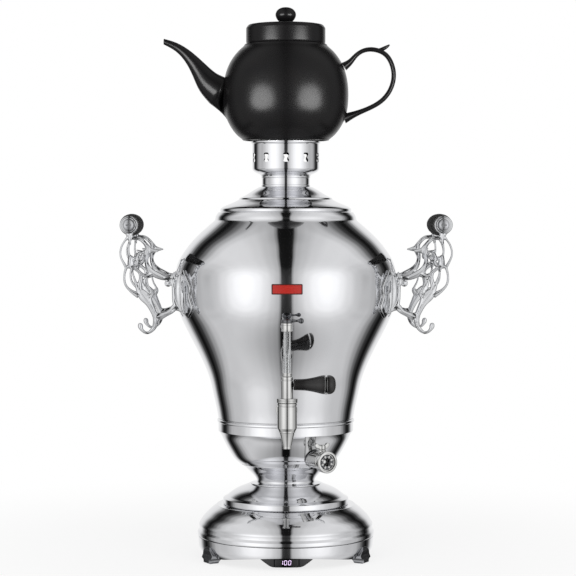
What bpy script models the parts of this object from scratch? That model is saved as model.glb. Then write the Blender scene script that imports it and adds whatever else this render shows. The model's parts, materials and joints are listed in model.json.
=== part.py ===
"""Electric samovar with a teapot on its crown.

Metres, +Z up, the front towards -Y. The floor is at z = 0 and every turned
piece stands on one column axis, which is set back so that the tap and the
back of the vessel reach equally far from the origin.
"""

import math

import bmesh
import bpy
from mathutils import Matrix, Vector
from mathutils.geometry import tessellate_polygon

# Fits and facets
FIT = 0.0003
OVERRUN = 0.002
MERGE = 0.00001
TURN_FIT = 0.0004
RING_STEPS = 24
POT_STEPS = 20
MIDDLE_STEPS = 16
ROUND_STEPS = 12
SMALL_STEPS = 8
HEX_STEPS = 6
HALF_TURN = math.pi
QUARTER_TURN = math.pi / 2

# Stack of turned pieces, floor to crown
STEEL_WALL = 0.0010
SKIRT_CLEARANCE = 0.0070
SKIRT_HEIGHT = 0.0215
SKIRT_RADIUS = 0.1170
DISH_HEIGHT = 0.0412
DISH_LIP = 0.0007
DISH_LEDGE = 0.0088
CAP_HEIGHT = 0.0267
CAP_RADIUS = 0.0836
CAP_LEDGE = 0.0022
NECK_HEIGHT = 0.0272
NECK_WAIST_RADIUS = 0.0389
NECK_INSET = 0.0010
BOWL_HEIGHT = 0.0602
BOWL_FOOT_RADIUS = 0.0620
BOWL_RADIUS = 0.0898
VESSEL_HEIGHT = 0.2733
VESSEL_RADIUS = 0.1463
RIM_LEDGE = 0.0028
LID_HEIGHT = 0.0331
LID_RADIUS = 0.0870
LID_SPIGOT_INSET = 0.0090
LID_SPIGOT_DEPTH = 0.0085
LID_LEDGE = 0.0022
STEAM_NECK_HEIGHT = 0.0140
STEAM_NECK_RADIUS = 0.0326
STEAM_NECK_STEP = 0.0029
STEAM_SPIGOT_DEPTH = 0.0050
CROWN_HEIGHT = 0.0467
CROWN_RADIUS = 0.0445
CROWN_SPIGOT_DEPTH = 0.0070

# Profiles, outer side bottom to top: shares of the way from a near to a far radius, and of the height
SKIRT_SHARES = [(0.955, 0.0), (0.983, 0.22), (0.995, 0.55), (1.0, 1.0)]
DISH_SHARES = [(0.981, 0.0), (1.0, 0.10), (0.930, 0.20), (0.926, 0.36), (0.744, 0.58), (0.442, 0.77),
               (0.0, 1.0)]
CAP_SHARES = [(1.0, 0.0), (0.995, 0.28), (0.892, 0.38), (0.663, 0.58), (0.362, 0.80), (0.0, 1.0)]
NECK_SHARES = [(0.352, 0.0), (0.075, 0.07), (0.0, 0.17), (0.144, 0.37), (0.462, 0.67), (1.0, 1.0)]
BOWL_SHARES = [(0.0, 0.0), (0.176, 0.08), (0.419, 0.24), (0.629, 0.41), (0.855, 0.60), (1.0, 0.76),
               (1.0, 0.90)]
BOWL_BEAD_SHARES = [(1.052, 0.93), (1.052, 0.97), (1.0, 1.0)]
BELLY_SHARES = [(0.0, 0.0), (0.068, 0.075), (0.187, 0.182), (0.329, 0.260), (0.552, 0.357), (0.801, 0.456),
                (0.943, 0.540), (1.0, 0.665)]
SHOULDER_SHARES = [(0.964, 0.747), (0.814, 0.804), (0.601, 0.862), (0.304, 0.921), (0.081, 0.961), (0.0, 1.0)]
LID_SHARES = [(1.0, 0.0), (0.992, 0.16), (0.800, 0.31), (0.522, 0.49), (0.377, 0.64), (0.233, 0.79),
              (0.0, 1.0)]

# Feet
FOOT_ANGLES = {"foot_left": -60.0, "foot_right": 60.0, "foot_rear": 180.0}
FOOT_STANDOFF = 0.0040
FOOT_LENGTH = 0.0290
FOOT_WIDTH = 0.0270
FOOT_PAD_TOP = 0.0215
FOOT_SIDE_SHARES = [(0.0, 0.45), (0.0, 1.0), (0.90, 1.0), (0.97, 0.82), (0.93, 0.50), (1.0, 0.26),
                    (1.0, 0.08), (0.96, 0.0), (0.50, 0.0), (0.40, 0.20), (0.18, 0.34)]
FOOT_FRONT_SHARES = [(0.0, 1.0), (0.36, 0.94), (0.66, 0.78), (0.86, 0.60), (1.0, 0.42), (0.92, 0.30),
                     (0.62, 0.26), (0.56, 0.12), (0.60, 0.0)]
FOOT_ARCH_RISE = 0.0085
FOOT_ARCH_HALF_ANGLE = 46.0

# Underside of the base
COVER_LEVEL = 0.0158
COVER_THICKNESS = 0.0012
COVER_HOLE_RADIUS = 0.0030
COVER_HOLE_COUNT = 4
COVER_HOLE_RING = 0.0550

# Control panel below the front arch
PANEL_DEPTH = 0.0042
PANEL_TOP_WIDTH = 0.0710
PANEL_FOOT_LEVEL = 0.0030
PANEL_SHARES = [(1.0, 1.0), (0.97, 0.86), (0.66, 0.21), (0.55, 0.04), (0.46, 0.0)]
WINDOW_WIDTH = 0.0300
WINDOW_HEIGHT = 0.0088
WINDOW_DEPTH = 0.0012
WINDOW_LEVEL = 0.0092
BOARD_LENGTH = 0.0620
BOARD_WIDTH = 0.0340
BOARD_THICKNESS = 0.0016
BOARD_POST_HEIGHT = 0.0042
BOARD_POST_RADIUS = 0.0030
BOARD_SETBACK = 0.0500
RELAY_SIZE = 0.0120

# Cable gland through the back of the skirt, beside the rear foot
CABLE_ANGLE = 148.0
CABLE_LEVEL = 0.0224
CABLE_BORE = 0.0036
CABLE_GLAND_RADIUS = 0.0044
CABLE_FLANGE_RADIUS = 0.0060
CABLE_FLANGE = 0.0016
CABLE_GLAND_DEPTH = 0.0050

# Clamp tube and heater
CLAMP_RADIUS = 0.0150
CLAMP_WALL = 0.0020
CLAMP_NUT_RADIUS = 0.0230
CLAMP_NUT_HEIGHT = 0.0060
CLAMP_TAIL = 0.0100
HEATER_FLANGE_RADIUS = 0.0300
HEATER_FLANGE_THICKNESS = 0.0040
HEATER_TUBE_RADIUS = 0.0040
HEATER_LOOP_RADIUS = 0.0480
HEATER_LOOP_RISE = 0.0300
HEATER_LEG_SPACING = 0.0090
HEATER_LEG_TAIL = 0.0120
HEATER_LOOP_POINTS = 14
LEAD_RADIUS = 0.0022
PROBE_RADIUS = 0.0020
PROBE_HEIGHT = 0.0300
SEAL_THICKNESS = 0.0020

# Badge on the shoulder of the vessel
BADGE_WIDTH = 0.0393
BADGE_HEIGHT = 0.0133
BADGE_THICKNESS = 0.0010
BADGE_RISE = 0.1764

# Handle castings and grips
CASTING_SPACING = 0.1240
CASTING_THICKNESS = 0.0064
CASTING_SINK = 0.0163
CASTING_REACH = 0.0865
CASTING_LIFT = 0.1157
CASTING_RISE = 0.1410
EYE_SHARE = 0.86
EYE_RADIUS = 0.0120
BOSS_THICKNESS = 0.0105
GRIP_RADIUS = 0.0145
GRIP_END_SHARE = 0.80
GRIP_TURNING_SHARES = [(0.86, -0.88), (0.76, -0.84), (0.90, -0.79), (1.0, 0.0), (0.90, 0.79), (0.76, 0.84),
                       (0.86, 0.88)]
GRIP_BORE_RADIUS = 0.0033
TIE_RADIUS = 0.0030
TIE_HEAD_RADIUS = 0.0070
TIE_HEAD_HEIGHT = 0.0030
FLANGE_WIDTH = 0.0370
FLANGE_HEIGHT = 0.0760
FLANGE_RISE = 0.1747
FLANGE_THICKNESS = 0.0030

# Casting outline, across from the vessel and up from the hook, as shares of reach and rise
OUTLINE_SHARES = [(-0.08, 0.440), (0.10, 0.465), (0.33, 0.535), (0.45, 0.615), (0.525, 0.680),
                  (0.545, 0.722), (0.435, 0.760), (0.560, 0.800), (0.665, 0.850), (0.755, 0.890),
                  (0.770, 1.0), (0.860, 1.080), (0.985, 1.0), (0.930, 0.900), (0.990, 0.795), (0.985, 0.690),
                  (0.915, 0.610), (0.945, 0.540), (0.900, 0.445), (0.795, 0.375), (0.640, 0.290),
                  (0.540, 0.225), (0.500, 0.160), (0.525, 0.085), (0.600, 0.048), (0.665, 0.075),
                  (0.690, 0.125), (0.755, 0.120), (0.760, 0.050), (0.700, -0.010), (0.600, -0.030),
                  (0.500, 0.000), (0.425, 0.080), (0.395, 0.150), (0.300, 0.165), (0.10, 0.185),
                  (-0.08, 0.215)]
WINDOW_SHARES = [(0.22, 0.300), (0.400, 0.250), (0.500, 0.305), (0.610, 0.365), (0.575, 0.440),
                 (0.460, 0.475), (0.330, 0.440), (0.22, 0.390)]
SCROLL_HOLE_SHARES = [
    [(0.880, 0.855), (0.830, 0.790), (0.850, 0.700), (0.905, 0.655), (0.935, 0.740)],
    [(0.800, 0.840), (0.720, 0.835), (0.635, 0.775), (0.690, 0.730), (0.770, 0.745)],
    [(0.640, 0.640), (0.720, 0.620), (0.745, 0.560), (0.660, 0.545), (0.595, 0.590)],
    [(0.870, 0.590), (0.800, 0.580), (0.800, 0.500), (0.850, 0.440), (0.895, 0.510)],
    [(0.735, 0.480), (0.670, 0.460), (0.665, 0.400), (0.725, 0.375), (0.775, 0.420)],
]
LEAF_SHARES = [(0.0, 0.5), (0.28, 0.28), (0.5, 0.10), (0.40, -0.10), (0.5, -0.26), (0.0, -0.5)]

# Crown holes, hourglass shaped
CROWN_HOLE_COUNT = 10
CROWN_HOLE_WIDTH = 0.0080
CROWN_HOLE_WAIST = 0.0048
CROWN_HOLE_HEIGHT = 0.0122
CROWN_HOLE_LEVEL = 0.0241
CROWN_SHARES = [(0.01, 0.0), (0.869, 0.125), (1.0, 0.185), (1.0, 0.90), (1.134, 0.945), (1.134, 1.0)]

# Teapot
POT_RADIUS = 0.0830
POT_HEIGHT = 0.1272
POT_WALL = 0.0036
POT_LEDGE = 0.00145
POT_BELLY_SHARES = [(0.687, 0.0), (0.771, 0.045), (0.910, 0.170), (0.980, 0.320), (1.0, 0.470)]
POT_SHOULDER_SHARES = [(0.957, 0.610), (0.829, 0.740), (0.543, 0.860), (0.0, 1.0)]
SPOUT_REACH = 0.1610
SPOUT_RISE = 0.1325
SPOUT_WALL = 0.0026
SPOUT_WALL_SHARE = 0.30
SPOUT_ROOT_RADIUS = 0.0250
SPOUT_ROOT_SHARE = 0.834
SPOUT_SHARES = [(-0.10, 0.400, 1.0), (0.105, 0.425, 1.0), (0.281, 0.510, 0.86), (0.412, 0.620, 0.62),
                (0.535, 0.730, 0.43), (0.667, 0.845, 0.280), (0.798, 0.930, 0.220), (1.0, 0.985, 0.155)]
LOOP_REACH = 0.1430
LOOP_RISE = 0.1235
LOOP_WIDTH = 0.0120
LOOP_THICKNESS = 0.0066
LOOP_ROOT_SHARE = 0.917
LOOP_SHARES = [(0.0, 0.775), (0.122, 0.848), (0.231, 0.925), (0.412, 0.985), (0.637, 1.0), (0.840, 0.955),
               (0.968, 0.840), (1.0, 0.710), (0.936, 0.560), (0.754, 0.425), (0.487, 0.340), (0.231, 0.287),
               (0.0, 0.240)]
POT_LID_RADIUS = 0.0525
POT_LID_HEIGHT = 0.0262
POT_LID_WALL = 0.0034
POT_LID_SPIGOT_INSET = 0.0065
POT_LID_SPIGOT_DEPTH = 0.0120
POT_LID_SHARES = [(0.98, 0.0), (1.0, 0.12), (1.0, 0.80), (0.965, 0.92), (0.880, 0.985), (0.13, 1.0)]
KNOB_RADIUS = 0.0138
KNOB_HEIGHT = 0.0225
KNOB_SHARES = [(0.42, 0.05), (0.78, 0.18), (1.0, 0.45), (0.86, 0.77), (0.0, 1.0)]

# Tap and level gauge in front of the vessel
TAP_STANDOFF = 0.0067
TAP_DROP = 0.0023
TAP_BARREL_HEIGHT = 0.0362
TAP_BARREL_RADIUS = 0.0125
TAP_BARREL_FOOT_SHARE = 0.88
TAP_COLLAR_RADIUS = 0.0135
TAP_COLLAR_HEIGHT = 0.0055
TAP_NOZZLE_LENGTH = 0.0220
TAP_NOZZLE_RADIUS = 0.0098
TAP_NOZZLE_TIP_RADIUS = 0.0052
TAP_NOZZLE_BORE = 0.0034
TAP_PORT_RISE = 0.0220
TAP_SHANK_RADIUS = 0.0085
TAP_SHANK_BORE = 0.0038
TAP_SHANK_FLANGE_RADIUS = 0.0140
TAP_SHANK_FLANGE = 0.0030
TAP_SHANK_TAIL = 0.0160
TAP_NUT_RADIUS = 0.0130
TAP_NUT_HEIGHT = 0.0060
PLUG_RADIUS = 0.0088
PLUG_FOOT_SHARE = 0.86
PLUG_HEAD_RADIUS = 0.0076
PLUG_HEAD_HEIGHT = 0.0270
PLUG_FLOOR = 0.0030
LEVER_LEVEL_SHARE = 0.62
LEVER_ROD_RADIUS = 0.0028
LEVER_ROD_START = 0.0048
LEVER_REACH = 0.0615
LEVER_GRIP_RADIUS = 0.0122
LEVER_GRIP_START = 0.0120
LEVER_RING_PLACE = 0.0475
LEVER_RING_WIDTH = 0.0030
GRIP_SHARES = [(0.574, 0.0), (0.60, 0.22), (0.70, 0.45), (0.86, 0.72), (1.0, 0.93), (1.0, 1.0)]
LEVER_END_SHARES = [(1.0, 0.0), (0.95, 0.35), (0.78, 0.68), (0.50, 0.90), (0.0, 1.0)]
GLASS_RADIUS = 0.0046
GLASS_BORE = 0.0030
GLASS_HEIGHT = 0.0560
GLAND_RADIUS = 0.0066
GLAND_HEIGHT = 0.0045
GLASS_SEAT = 0.0030
HEAD_RADIUS = 0.0073
HEAD_HEIGHT = 0.0110
COCK_HEIGHT = 0.0050
COCK_LEVER_LENGTH = 0.0210
COCK_LEVER_WIDTH = 0.0043
COCK_BULB_RADIUS = 0.0035
COCK_STEM_RADIUS = 0.0028
COCK_STEM_DEPTH = 0.0060
GAUGE_SHANK_RADIUS = 0.0048
GAUGE_NUT_RADIUS = 0.0085
GAUGE_NUT_HEIGHT = 0.0050
GAUGE_SHANK_TAIL = 0.0130

# Drain valve on the bowl, turned to the right of the front
DRAIN_ANGLE = 28.0
DRAIN_RISE = 0.0122
DRAIN_STANDOFF = 0.0232
DRAIN_STEM_STANDOFF = 0.0077
DRAIN_BODY_RADIUS = 0.0110
DRAIN_END_RADIUS = 0.0143
DRAIN_END_LENGTH = 0.0100
DRAIN_BORE = 0.0040
DRAIN_CHAMBER_RADIUS = 0.0090
DRAIN_BALL_RADIUS = 0.0085
DRAIN_RETAINER_RADIUS = 0.0112
DRAIN_RETAINER_HOLE = 0.0050
DRAIN_RETAINER_THICKNESS = 0.0046
DRAIN_RECESS = 0.0022
DRAIN_PETAL_COUNT = 6
DRAIN_PETAL_RADIUS = 0.0011
DRAIN_STEM_RADIUS = 0.0028
DRAIN_NECK_RADIUS = 0.0052
DRAIN_NECK_HEIGHT = 0.0040
DRAIN_WING_WIDTH = 0.0214
DRAIN_WING_HEIGHT = 0.0085
DRAIN_WING_THICKNESS = 0.0040
DRAIN_WING_HUB_RADIUS = 0.0048
DRAIN_SHANK_RADIUS = 0.0065
DRAIN_SHANK_TAIL = 0.0180
DRAIN_SEAL_RADIUS = 0.0098
DRAIN_NUT_RADIUS = 0.0103
DRAIN_NUT_HEIGHT = 0.0140
WING_SHARES = [(-0.20, 0.0), (-0.42, 0.28), (-0.5, 0.72), (-0.42, 1.0), (-0.26, 0.90), (-0.16, 0.58),
               (0.16, 0.58), (0.26, 0.90), (0.42, 1.0), (0.5, 0.72), (0.42, 0.28), (0.20, 0.0)]

# Levels and places that follow from the sizes above
NECK_RADIUS = BOWL_FOOT_RADIUS - NECK_INSET
NECK_FOOT_RADIUS = NECK_WAIST_RADIUS + NECK_SHARES[0][0] * (NECK_RADIUS - NECK_WAIST_RADIUS)
RIM_RADIUS = LID_RADIUS + RIM_LEDGE
MOUTH_RADIUS = LID_RADIUS - LID_SPIGOT_INSET
STEAM_BORE_RADIUS = STEAM_NECK_RADIUS - STEAM_NECK_STEP
POT_MOUTH_RADIUS = POT_LID_RADIUS - POT_LID_SPIGOT_INSET
FOOT_REACH = SKIRT_RADIUS + FOOT_STANDOFF
CASTING_ROOT = VESSEL_RADIUS - CASTING_SINK
TAP_REACH = VESSEL_RADIUS + TAP_STANDOFF
DRAIN_REACH = BOWL_RADIUS + DRAIN_STANDOFF
DRAIN_STEM_PLACE = BOWL_RADIUS + DRAIN_STEM_STANDOFF
AXIS_Y = (TAP_REACH + TAP_COLLAR_RADIUS - VESSEL_RADIUS) / 2
COVER_TOP = COVER_LEVEL + COVER_THICKNESS
PANEL_RADIUS = SKIRT_RADIUS * SKIRT_SHARES[0][0] - STEEL_WALL - 2 * FIT
SKIRT_TOP = SKIRT_CLEARANCE + SKIRT_HEIGHT
DISH_FOOT = SKIRT_TOP + FIT
DISH_TOP = DISH_FOOT + DISH_HEIGHT
CAP_FOOT = DISH_TOP + FIT
CAP_TOP = CAP_FOOT + CAP_HEIGHT
NECK_FOOT = CAP_TOP + FIT
NECK_TOP = NECK_FOOT + NECK_HEIGHT
BOWL_FOOT = NECK_TOP + FIT
BOWL_TOP = BOWL_FOOT + BOWL_HEIGHT
HEATER_FLANGE_FOOT = BOWL_FOOT + STEEL_WALL + SEAL_THICKNESS + 2 * FIT
HEATER_FLANGE_TOP = HEATER_FLANGE_FOOT + HEATER_FLANGE_THICKNESS
VESSEL_FOOT = BOWL_TOP + FIT
VESSEL_TOP = VESSEL_FOOT + VESSEL_HEIGHT
LID_FOOT = VESSEL_TOP + FIT
LID_TOP = LID_FOOT + LID_HEIGHT
STEAM_FOOT = LID_TOP + FIT
STEAM_TOP = STEAM_FOOT + STEAM_NECK_HEIGHT
CROWN_FOOT = STEAM_TOP + FIT
CROWN_TOP = CROWN_FOOT + CROWN_HEIGHT
POT_FOOT = CROWN_TOP + FIT
POT_TOP = POT_FOOT + POT_HEIGHT
POT_LID_FOOT = POT_TOP + FIT
POT_LID_TOP = POT_LID_FOOT + POT_LID_HEIGHT
TAP_BARREL_FOOT = VESSEL_FOOT - TAP_DROP
TAP_PORT_LEVEL = TAP_BARREL_FOOT + TAP_PORT_RISE
BARREL_TOP = TAP_BARREL_FOOT + TAP_BARREL_HEIGHT
COLLAR_FOOT = BARREL_TOP + FIT
COLLAR_TOP = COLLAR_FOOT + TAP_COLLAR_HEIGHT
PLUG_HEAD_FOOT = COLLAR_TOP + FIT
PLUG_HEAD_TOP = PLUG_HEAD_FOOT + PLUG_HEAD_HEIGHT
LEVER_LEVEL = PLUG_HEAD_FOOT + LEVER_LEVEL_SHARE * PLUG_HEAD_HEIGHT
GLAND_FOOT = PLUG_HEAD_TOP + FIT
HEAD_FOOT = GLAND_FOOT + GLASS_HEIGHT
HEAD_TOP = HEAD_FOOT + HEAD_HEIGHT
GAUGE_LEVEL = HEAD_FOOT + HEAD_HEIGHT / 2
COCK_FOOT = HEAD_TOP + FIT
DRAIN_LEVEL = BOWL_FOOT + DRAIN_RISE
BALL_TOP = DRAIN_LEVEL + DRAIN_BODY_RADIUS + DRAIN_NECK_HEIGHT
BADGE_LEVEL = VESSEL_FOOT + BADGE_RISE
FLANGE_LEVEL = VESSEL_FOOT + FLANGE_RISE
CASTING_LEVEL = VESSEL_FOOT + CASTING_LIFT
CASTING_PLACE = CASTING_SPACING / 2
EYE_PLACE = CASTING_ROOT + EYE_SHARE * CASTING_REACH
EYE_LEVEL = CASTING_LEVEL + CASTING_RISE


def share_points(shares, radius, foot, height, near=0.0):
    """Return (radius, level) points from a table of shares of the way from a near radius."""
    return [(near + share * (radius - near), foot + rise * height) for share, rise in shares]


def smooth(points):
    """Return points on a Catmull-Rom curve through the given ones, two per span."""
    last = len(points) - 1
    result = []
    for index in range(last):
        around = [points[min(max(index + place, 0), last)] for place in (-1, 0, 1, 2)]
        before, start, end, after = [Vector(point) for point in around]
        result.append(tuple(start))
        result.append(tuple((start + end) * 9 / 16 - (before + after) / 16))
    result.append(tuple(points[-1]))
    return result


def offset(points, distance):
    """Move each point of an upward profile outwards by distance, square to its neighbours."""
    moved = []
    for index, point in enumerate(points):
        normals = []
        for first, second in ((index - 1, index), (index, index + 1)):
            if first < 0 or second >= len(points):
                continue
            along = Vector(points[second]) - Vector(points[first])
            normals.append(Vector((along.y, -along.x)).normalized())
        normal = sum(normals, Vector((0.0, 0.0))).normalized()
        reach = distance / max(normal.dot(normals[0]), 0.5)
        moved.append((point[0] + normal.x * reach, point[1] + normal.y * reach))
    return moved


def level_radius(points, level):
    """Return the radius of an upward profile at a level."""
    for (r_low, z_low), (r_high, z_high) in zip(points, points[1:]):
        if z_low <= level <= z_high:
            return r_low + (r_high - r_low) * (level - z_low) / max(z_high - z_low, MERGE)
    return points[-1][0]


def drop_low(points, level):
    """Keep the part of an upward profile above a level, with a point at that level."""
    return [(level_radius(points, level), level)] + [point for point in points if point[1] > level + FIT]


def drop_high(points, level):
    """Keep the part of an upward profile below a level, with a point at that level."""
    return [point for point in points if point[1] < level - FIT] + [(level_radius(points, level), level)]


def mesh_object(name, mesh_data):
    """Close, orient and link a bmesh as a smooth-shaded object."""
    bmesh.ops.remove_doubles(mesh_data, verts=mesh_data.verts, dist=MERGE)
    bmesh.ops.recalc_face_normals(mesh_data, faces=mesh_data.faces)
    mesh = bpy.data.meshes.new(name)
    mesh_data.to_mesh(mesh)
    mesh_data.free()
    mesh.shade_smooth()
    mesh.set_sharp_from_angle(angle=math.radians(30))
    piece = bpy.data.objects.new(name, mesh)
    bpy.context.collection.objects.link(piece)
    return piece


def turned(name, loop, steps=RING_STEPS):
    """Spin a closed loop of (radius, level) points about Z."""
    data = bmesh.new()
    verts = [data.verts.new((radius, 0.0, level)) for radius, level in loop]
    edges = [data.edges.new((verts[index - 1], verts[index])) for index in range(len(verts))
             if loop[index - 1][0] > MERGE or loop[index][0] > MERGE]
    bmesh.ops.spin(data, geom=verts + edges, cent=(0, 0, 0), axis=(0, 0, 1), angle=2 * HALF_TURN,
                   steps=steps, use_merge=True)
    return mesh_object(name, data)


def shell_loop(outer, wall):
    """Close an upward profile into a wall of even thickness."""
    return outer + list(reversed(offset(outer, -wall)))


def plate(name, loops, thickness):
    """Extrude nested outlines in the XZ plane along Y, half to each side."""
    triangles = tessellate_polygon([[Vector((x, z, 0.0)) for x, z in loop] for loop in loops])
    data = bmesh.new()
    flat = [point for loop in loops for point in loop]
    front = [data.verts.new((x, -thickness / 2, z)) for x, z in flat]
    back = [data.verts.new((x, thickness / 2, z)) for x, z in flat]
    for side in (front, back):
        for triangle in triangles:
            data.faces.new([side[index] for index in triangle])
    start = 0
    for loop in loops:
        for index in range(len(loop)):
            here = start + index
            following = start + (index + 1) % len(loop)
            data.faces.new((front[here], front[following], back[following], back[here]))
        start += len(loop)
    return mesh_object(name, data)


def swept(name, path, sections):
    """Loft elliptic sections (half width across Y, half height in the XZ plane) along an XZ path."""
    data = bmesh.new()
    rings = []
    for index, (x, z) in enumerate(path):
        ahead = Vector(path[min(index + 1, len(path) - 1)])
        behind = Vector(path[max(index - 1, 0)])
        along = (ahead - behind).normalized()
        wide, high = sections[index]
        ring = []
        for step in range(SMALL_STEPS):
            angle = 2 * HALF_TURN * step / SMALL_STEPS
            rise = high * math.cos(angle)
            ring.append(data.verts.new((x - along.y * rise, wide * math.sin(angle), z + along.x * rise)))
        rings.append(ring)
    for first, second in zip(rings, rings[1:]):
        for step in range(SMALL_STEPS):
            following = (step + 1) % SMALL_STEPS
            data.faces.new((first[step], first[following], second[following], second[step]))
    data.faces.new(rings[0])
    data.faces.new(rings[-1])
    return mesh_object(name, data)


def block(name, width, depth, height, place=(0.0, 0.0, 0.0)):
    """Make a box centred across X and Y on place, and standing on it."""
    data = bmesh.new()
    bmesh.ops.create_cube(data, size=1.0)
    bmesh.ops.scale(data, vec=(width, depth, height), verts=data.verts)
    bmesh.ops.translate(data, vec=(place[0], place[1], place[2] + height / 2), verts=data.verts)
    return mesh_object(name, data)


def rod(name, radius, foot, top, steps=SMALL_STEPS):
    """Make a plain round rod about Z."""
    return turned(name, [(0.0, foot), (radius, foot), (radius, top), (0.0, top)], steps)


def shift(piece, turn=None, move=(0.0, 0.0, 0.0)):
    """Turn a piece's mesh about its origin, then move it."""
    matrix = Matrix.Translation(move)
    if turn is not None:
        matrix = matrix @ turn
    piece.data.transform(matrix)
    return piece


def towards_front(radians_right=0.0):
    """Return the turn that lays the Z axis towards the front, then swings it to the right."""
    return Matrix.Rotation(radians_right, 4, "Z") @ Matrix.Rotation(QUARTER_TURN, 4, "X")


def combine(piece, other, operation):
    """Cut, join or keep the overlap with another closed shape, and leave only the result."""
    step = piece.modifiers.new(other.name, "BOOLEAN")
    step.operation = operation
    step.solver = "EXACT"
    step.object = other
    result = bpy.data.meshes.new_from_object(piece.evaluated_get(bpy.context.evaluated_depsgraph_get()))
    data = bmesh.new()
    data.from_mesh(result)
    bmesh.ops.remove_doubles(data, verts=data.verts, dist=MERGE / 10)
    bmesh.ops.dissolve_degenerate(data, edges=data.edges, dist=MERGE / 10)
    bmesh.ops.triangulate(data, faces=[face for face in data.faces if len(face.verts) > 4])
    data.to_mesh(result)
    data.free()
    piece.modifiers.clear()
    piece.data = result
    bpy.data.objects.remove(other)
    return piece


def cut(piece, *others):
    """Take closed shapes out of a piece."""
    for other in others:
        combine(piece, other, "DIFFERENCE")
    return piece


def join(piece, *others):
    """Unite closed shapes with a piece."""
    for other in others:
        combine(piece, other, "UNION")
    return piece


def vessel_outline(distance=0.0):
    """Return the vessel's outer profile, moved outwards by a distance."""
    outer = share_points(BELLY_SHARES, VESSEL_RADIUS, VESSEL_FOOT, VESSEL_HEIGHT, BOWL_RADIUS)
    outer += share_points(SHOULDER_SHARES, VESSEL_RADIUS, VESSEL_FOOT, VESSEL_HEIGHT, RIM_RADIUS)
    return offset(outer, distance) if distance else outer


def vessel_solid(name, distance):
    """Make the solid form of the vessel, grown by a distance, to trim what lies on it."""
    outer = vessel_outline(distance)
    return turned(name, [(0.0, outer[0][1])] + outer + [(0.0, outer[-1][1])])


def skin_patch(prism, thickness):
    """Keep the part of a prism that lies on the vessel as a plate of even thickness."""
    combine(prism, vessel_solid("patch_outside", FIT + thickness), "INTERSECT")
    return prism


# Base


def foot_ring():
    """Make the ring of clearance that a foot keeps round the skirt's lower edge."""
    outer = share_points(SKIRT_SHARES, SKIRT_RADIUS, SKIRT_CLEARANCE, SKIRT_HEIGHT)
    outside = offset(outer, FIT)
    inside = offset(outer, -STEEL_WALL - FIT)
    low = SKIRT_CLEARANCE - FIT
    loop = [(outside[0][0], low)] + outside + list(reversed(inside)) + [(inside[0][0], low)]
    return turned("foot_ring", loop)


def cover_room():
    """Make the space inside the skirt, above the underside of the cover."""
    outer = share_points(SKIRT_SHARES, SKIRT_RADIUS, SKIRT_CLEARANCE, SKIRT_HEIGHT)
    inner = drop_low(offset(outer, -STEEL_WALL / 2), COVER_LEVEL - FIT)
    return turned("cover_room", [(0.0, COVER_LEVEL - FIT)] + inner + [(0.0, inner[-1][1])])


def base_skirt():
    """Spin the lower band of the base and cut its three shallow arches."""
    outer = share_points(SKIRT_SHARES, SKIRT_RADIUS, SKIRT_CLEARANCE, SKIRT_HEIGHT)
    piece = turned("base_skirt", shell_loop(outer, STEEL_WALL))
    half = SKIRT_RADIUS * math.sin(math.radians(FOOT_ARCH_HALF_ANGLE))
    radius = (half * half + FOOT_ARCH_RISE * FOOT_ARCH_RISE) / (2 * FOOT_ARCH_RISE)
    swing = math.asin(half / radius)
    arc = []
    for index in range(ROUND_STEPS + 1):
        angle = swing * (2 * index / ROUND_STEPS - 1)
        sagitta = radius * (math.cos(angle) - math.cos(swing))
        arc.append((radius * math.sin(angle), SKIRT_CLEARANCE + sagitta))
    arc += [(half, -OVERRUN), (-half, -OVERRUN)]
    cut(piece, on_cable(rod("cable_hole", CABLE_GLAND_RADIUS + FIT, SKIRT_RADIUS / 2, 2 * SKIRT_RADIUS)))
    for index in range(len(FOOT_ANGLES)):
        arch = shift(plate("arch", [arc], SKIRT_RADIUS), move=(0.0, -SKIRT_RADIUS, 0.0))
        turn = Matrix.Rotation(2 * HALF_TURN * index / len(FOOT_ANGLES), 4, "Z")
        cut(piece, shift(arch, turn))
    return piece


def foot(name, degrees):
    """Cast one foot that hooks round the skirt's lower edge and stands on the floor."""
    root = FOOT_REACH - FOOT_LENGTH
    side = [(root + share * FOOT_LENGTH, rise * FOOT_PAD_TOP) for share, rise in FOOT_SIDE_SHARES]
    piece = plate(name, [side], FOOT_WIDTH)
    front = [(share * FOOT_WIDTH / 2, rise * FOOT_PAD_TOP) for share, rise in FOOT_FRONT_SHARES]
    front += [(-x, z) for x, z in reversed(front) if x > MERGE]
    leaf = plate("leaf", [front], 2 * FOOT_REACH)
    combine(piece, shift(leaf, Matrix.Rotation(QUARTER_TURN, 4, "Z")), "INTERSECT")
    shift(piece, Matrix.Rotation(math.radians(degrees) - QUARTER_TURN, 4, "Z"))
    return cut(piece, cover_room(), foot_ring())


def base_dish():
    """Spin the lower dish of the base, with its flat top that the clamp tube draws down."""
    top = CAP_RADIUS + DISH_LEDGE
    outer = share_points(DISH_SHARES, SKIRT_RADIUS + DISH_LIP, DISH_FOOT, DISH_HEIGHT, top)
    hole = CLAMP_RADIUS + FIT
    inner = drop_high(offset(outer, -STEEL_WALL), DISH_TOP - STEEL_WALL)
    loop = outer + [(hole, DISH_TOP), (hole, DISH_TOP - STEEL_WALL)] + list(reversed(inner))
    return turned("base_dish", loop)


def pedestal_cap():
    """Spin the stepped cap that stands on the dish."""
    outer = share_points(CAP_SHARES, CAP_RADIUS, CAP_FOOT, CAP_HEIGHT, NECK_FOOT_RADIUS + CAP_LEDGE)
    hole = NECK_WAIST_RADIUS
    inner = drop_high(offset(outer, -STEEL_WALL), CAP_TOP - STEEL_WALL)
    loop = outer + [(hole, CAP_TOP), (hole, CAP_TOP - STEEL_WALL)] + list(reversed(inner))
    return turned("pedestal_cap", loop, MIDDLE_STEPS)


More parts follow.
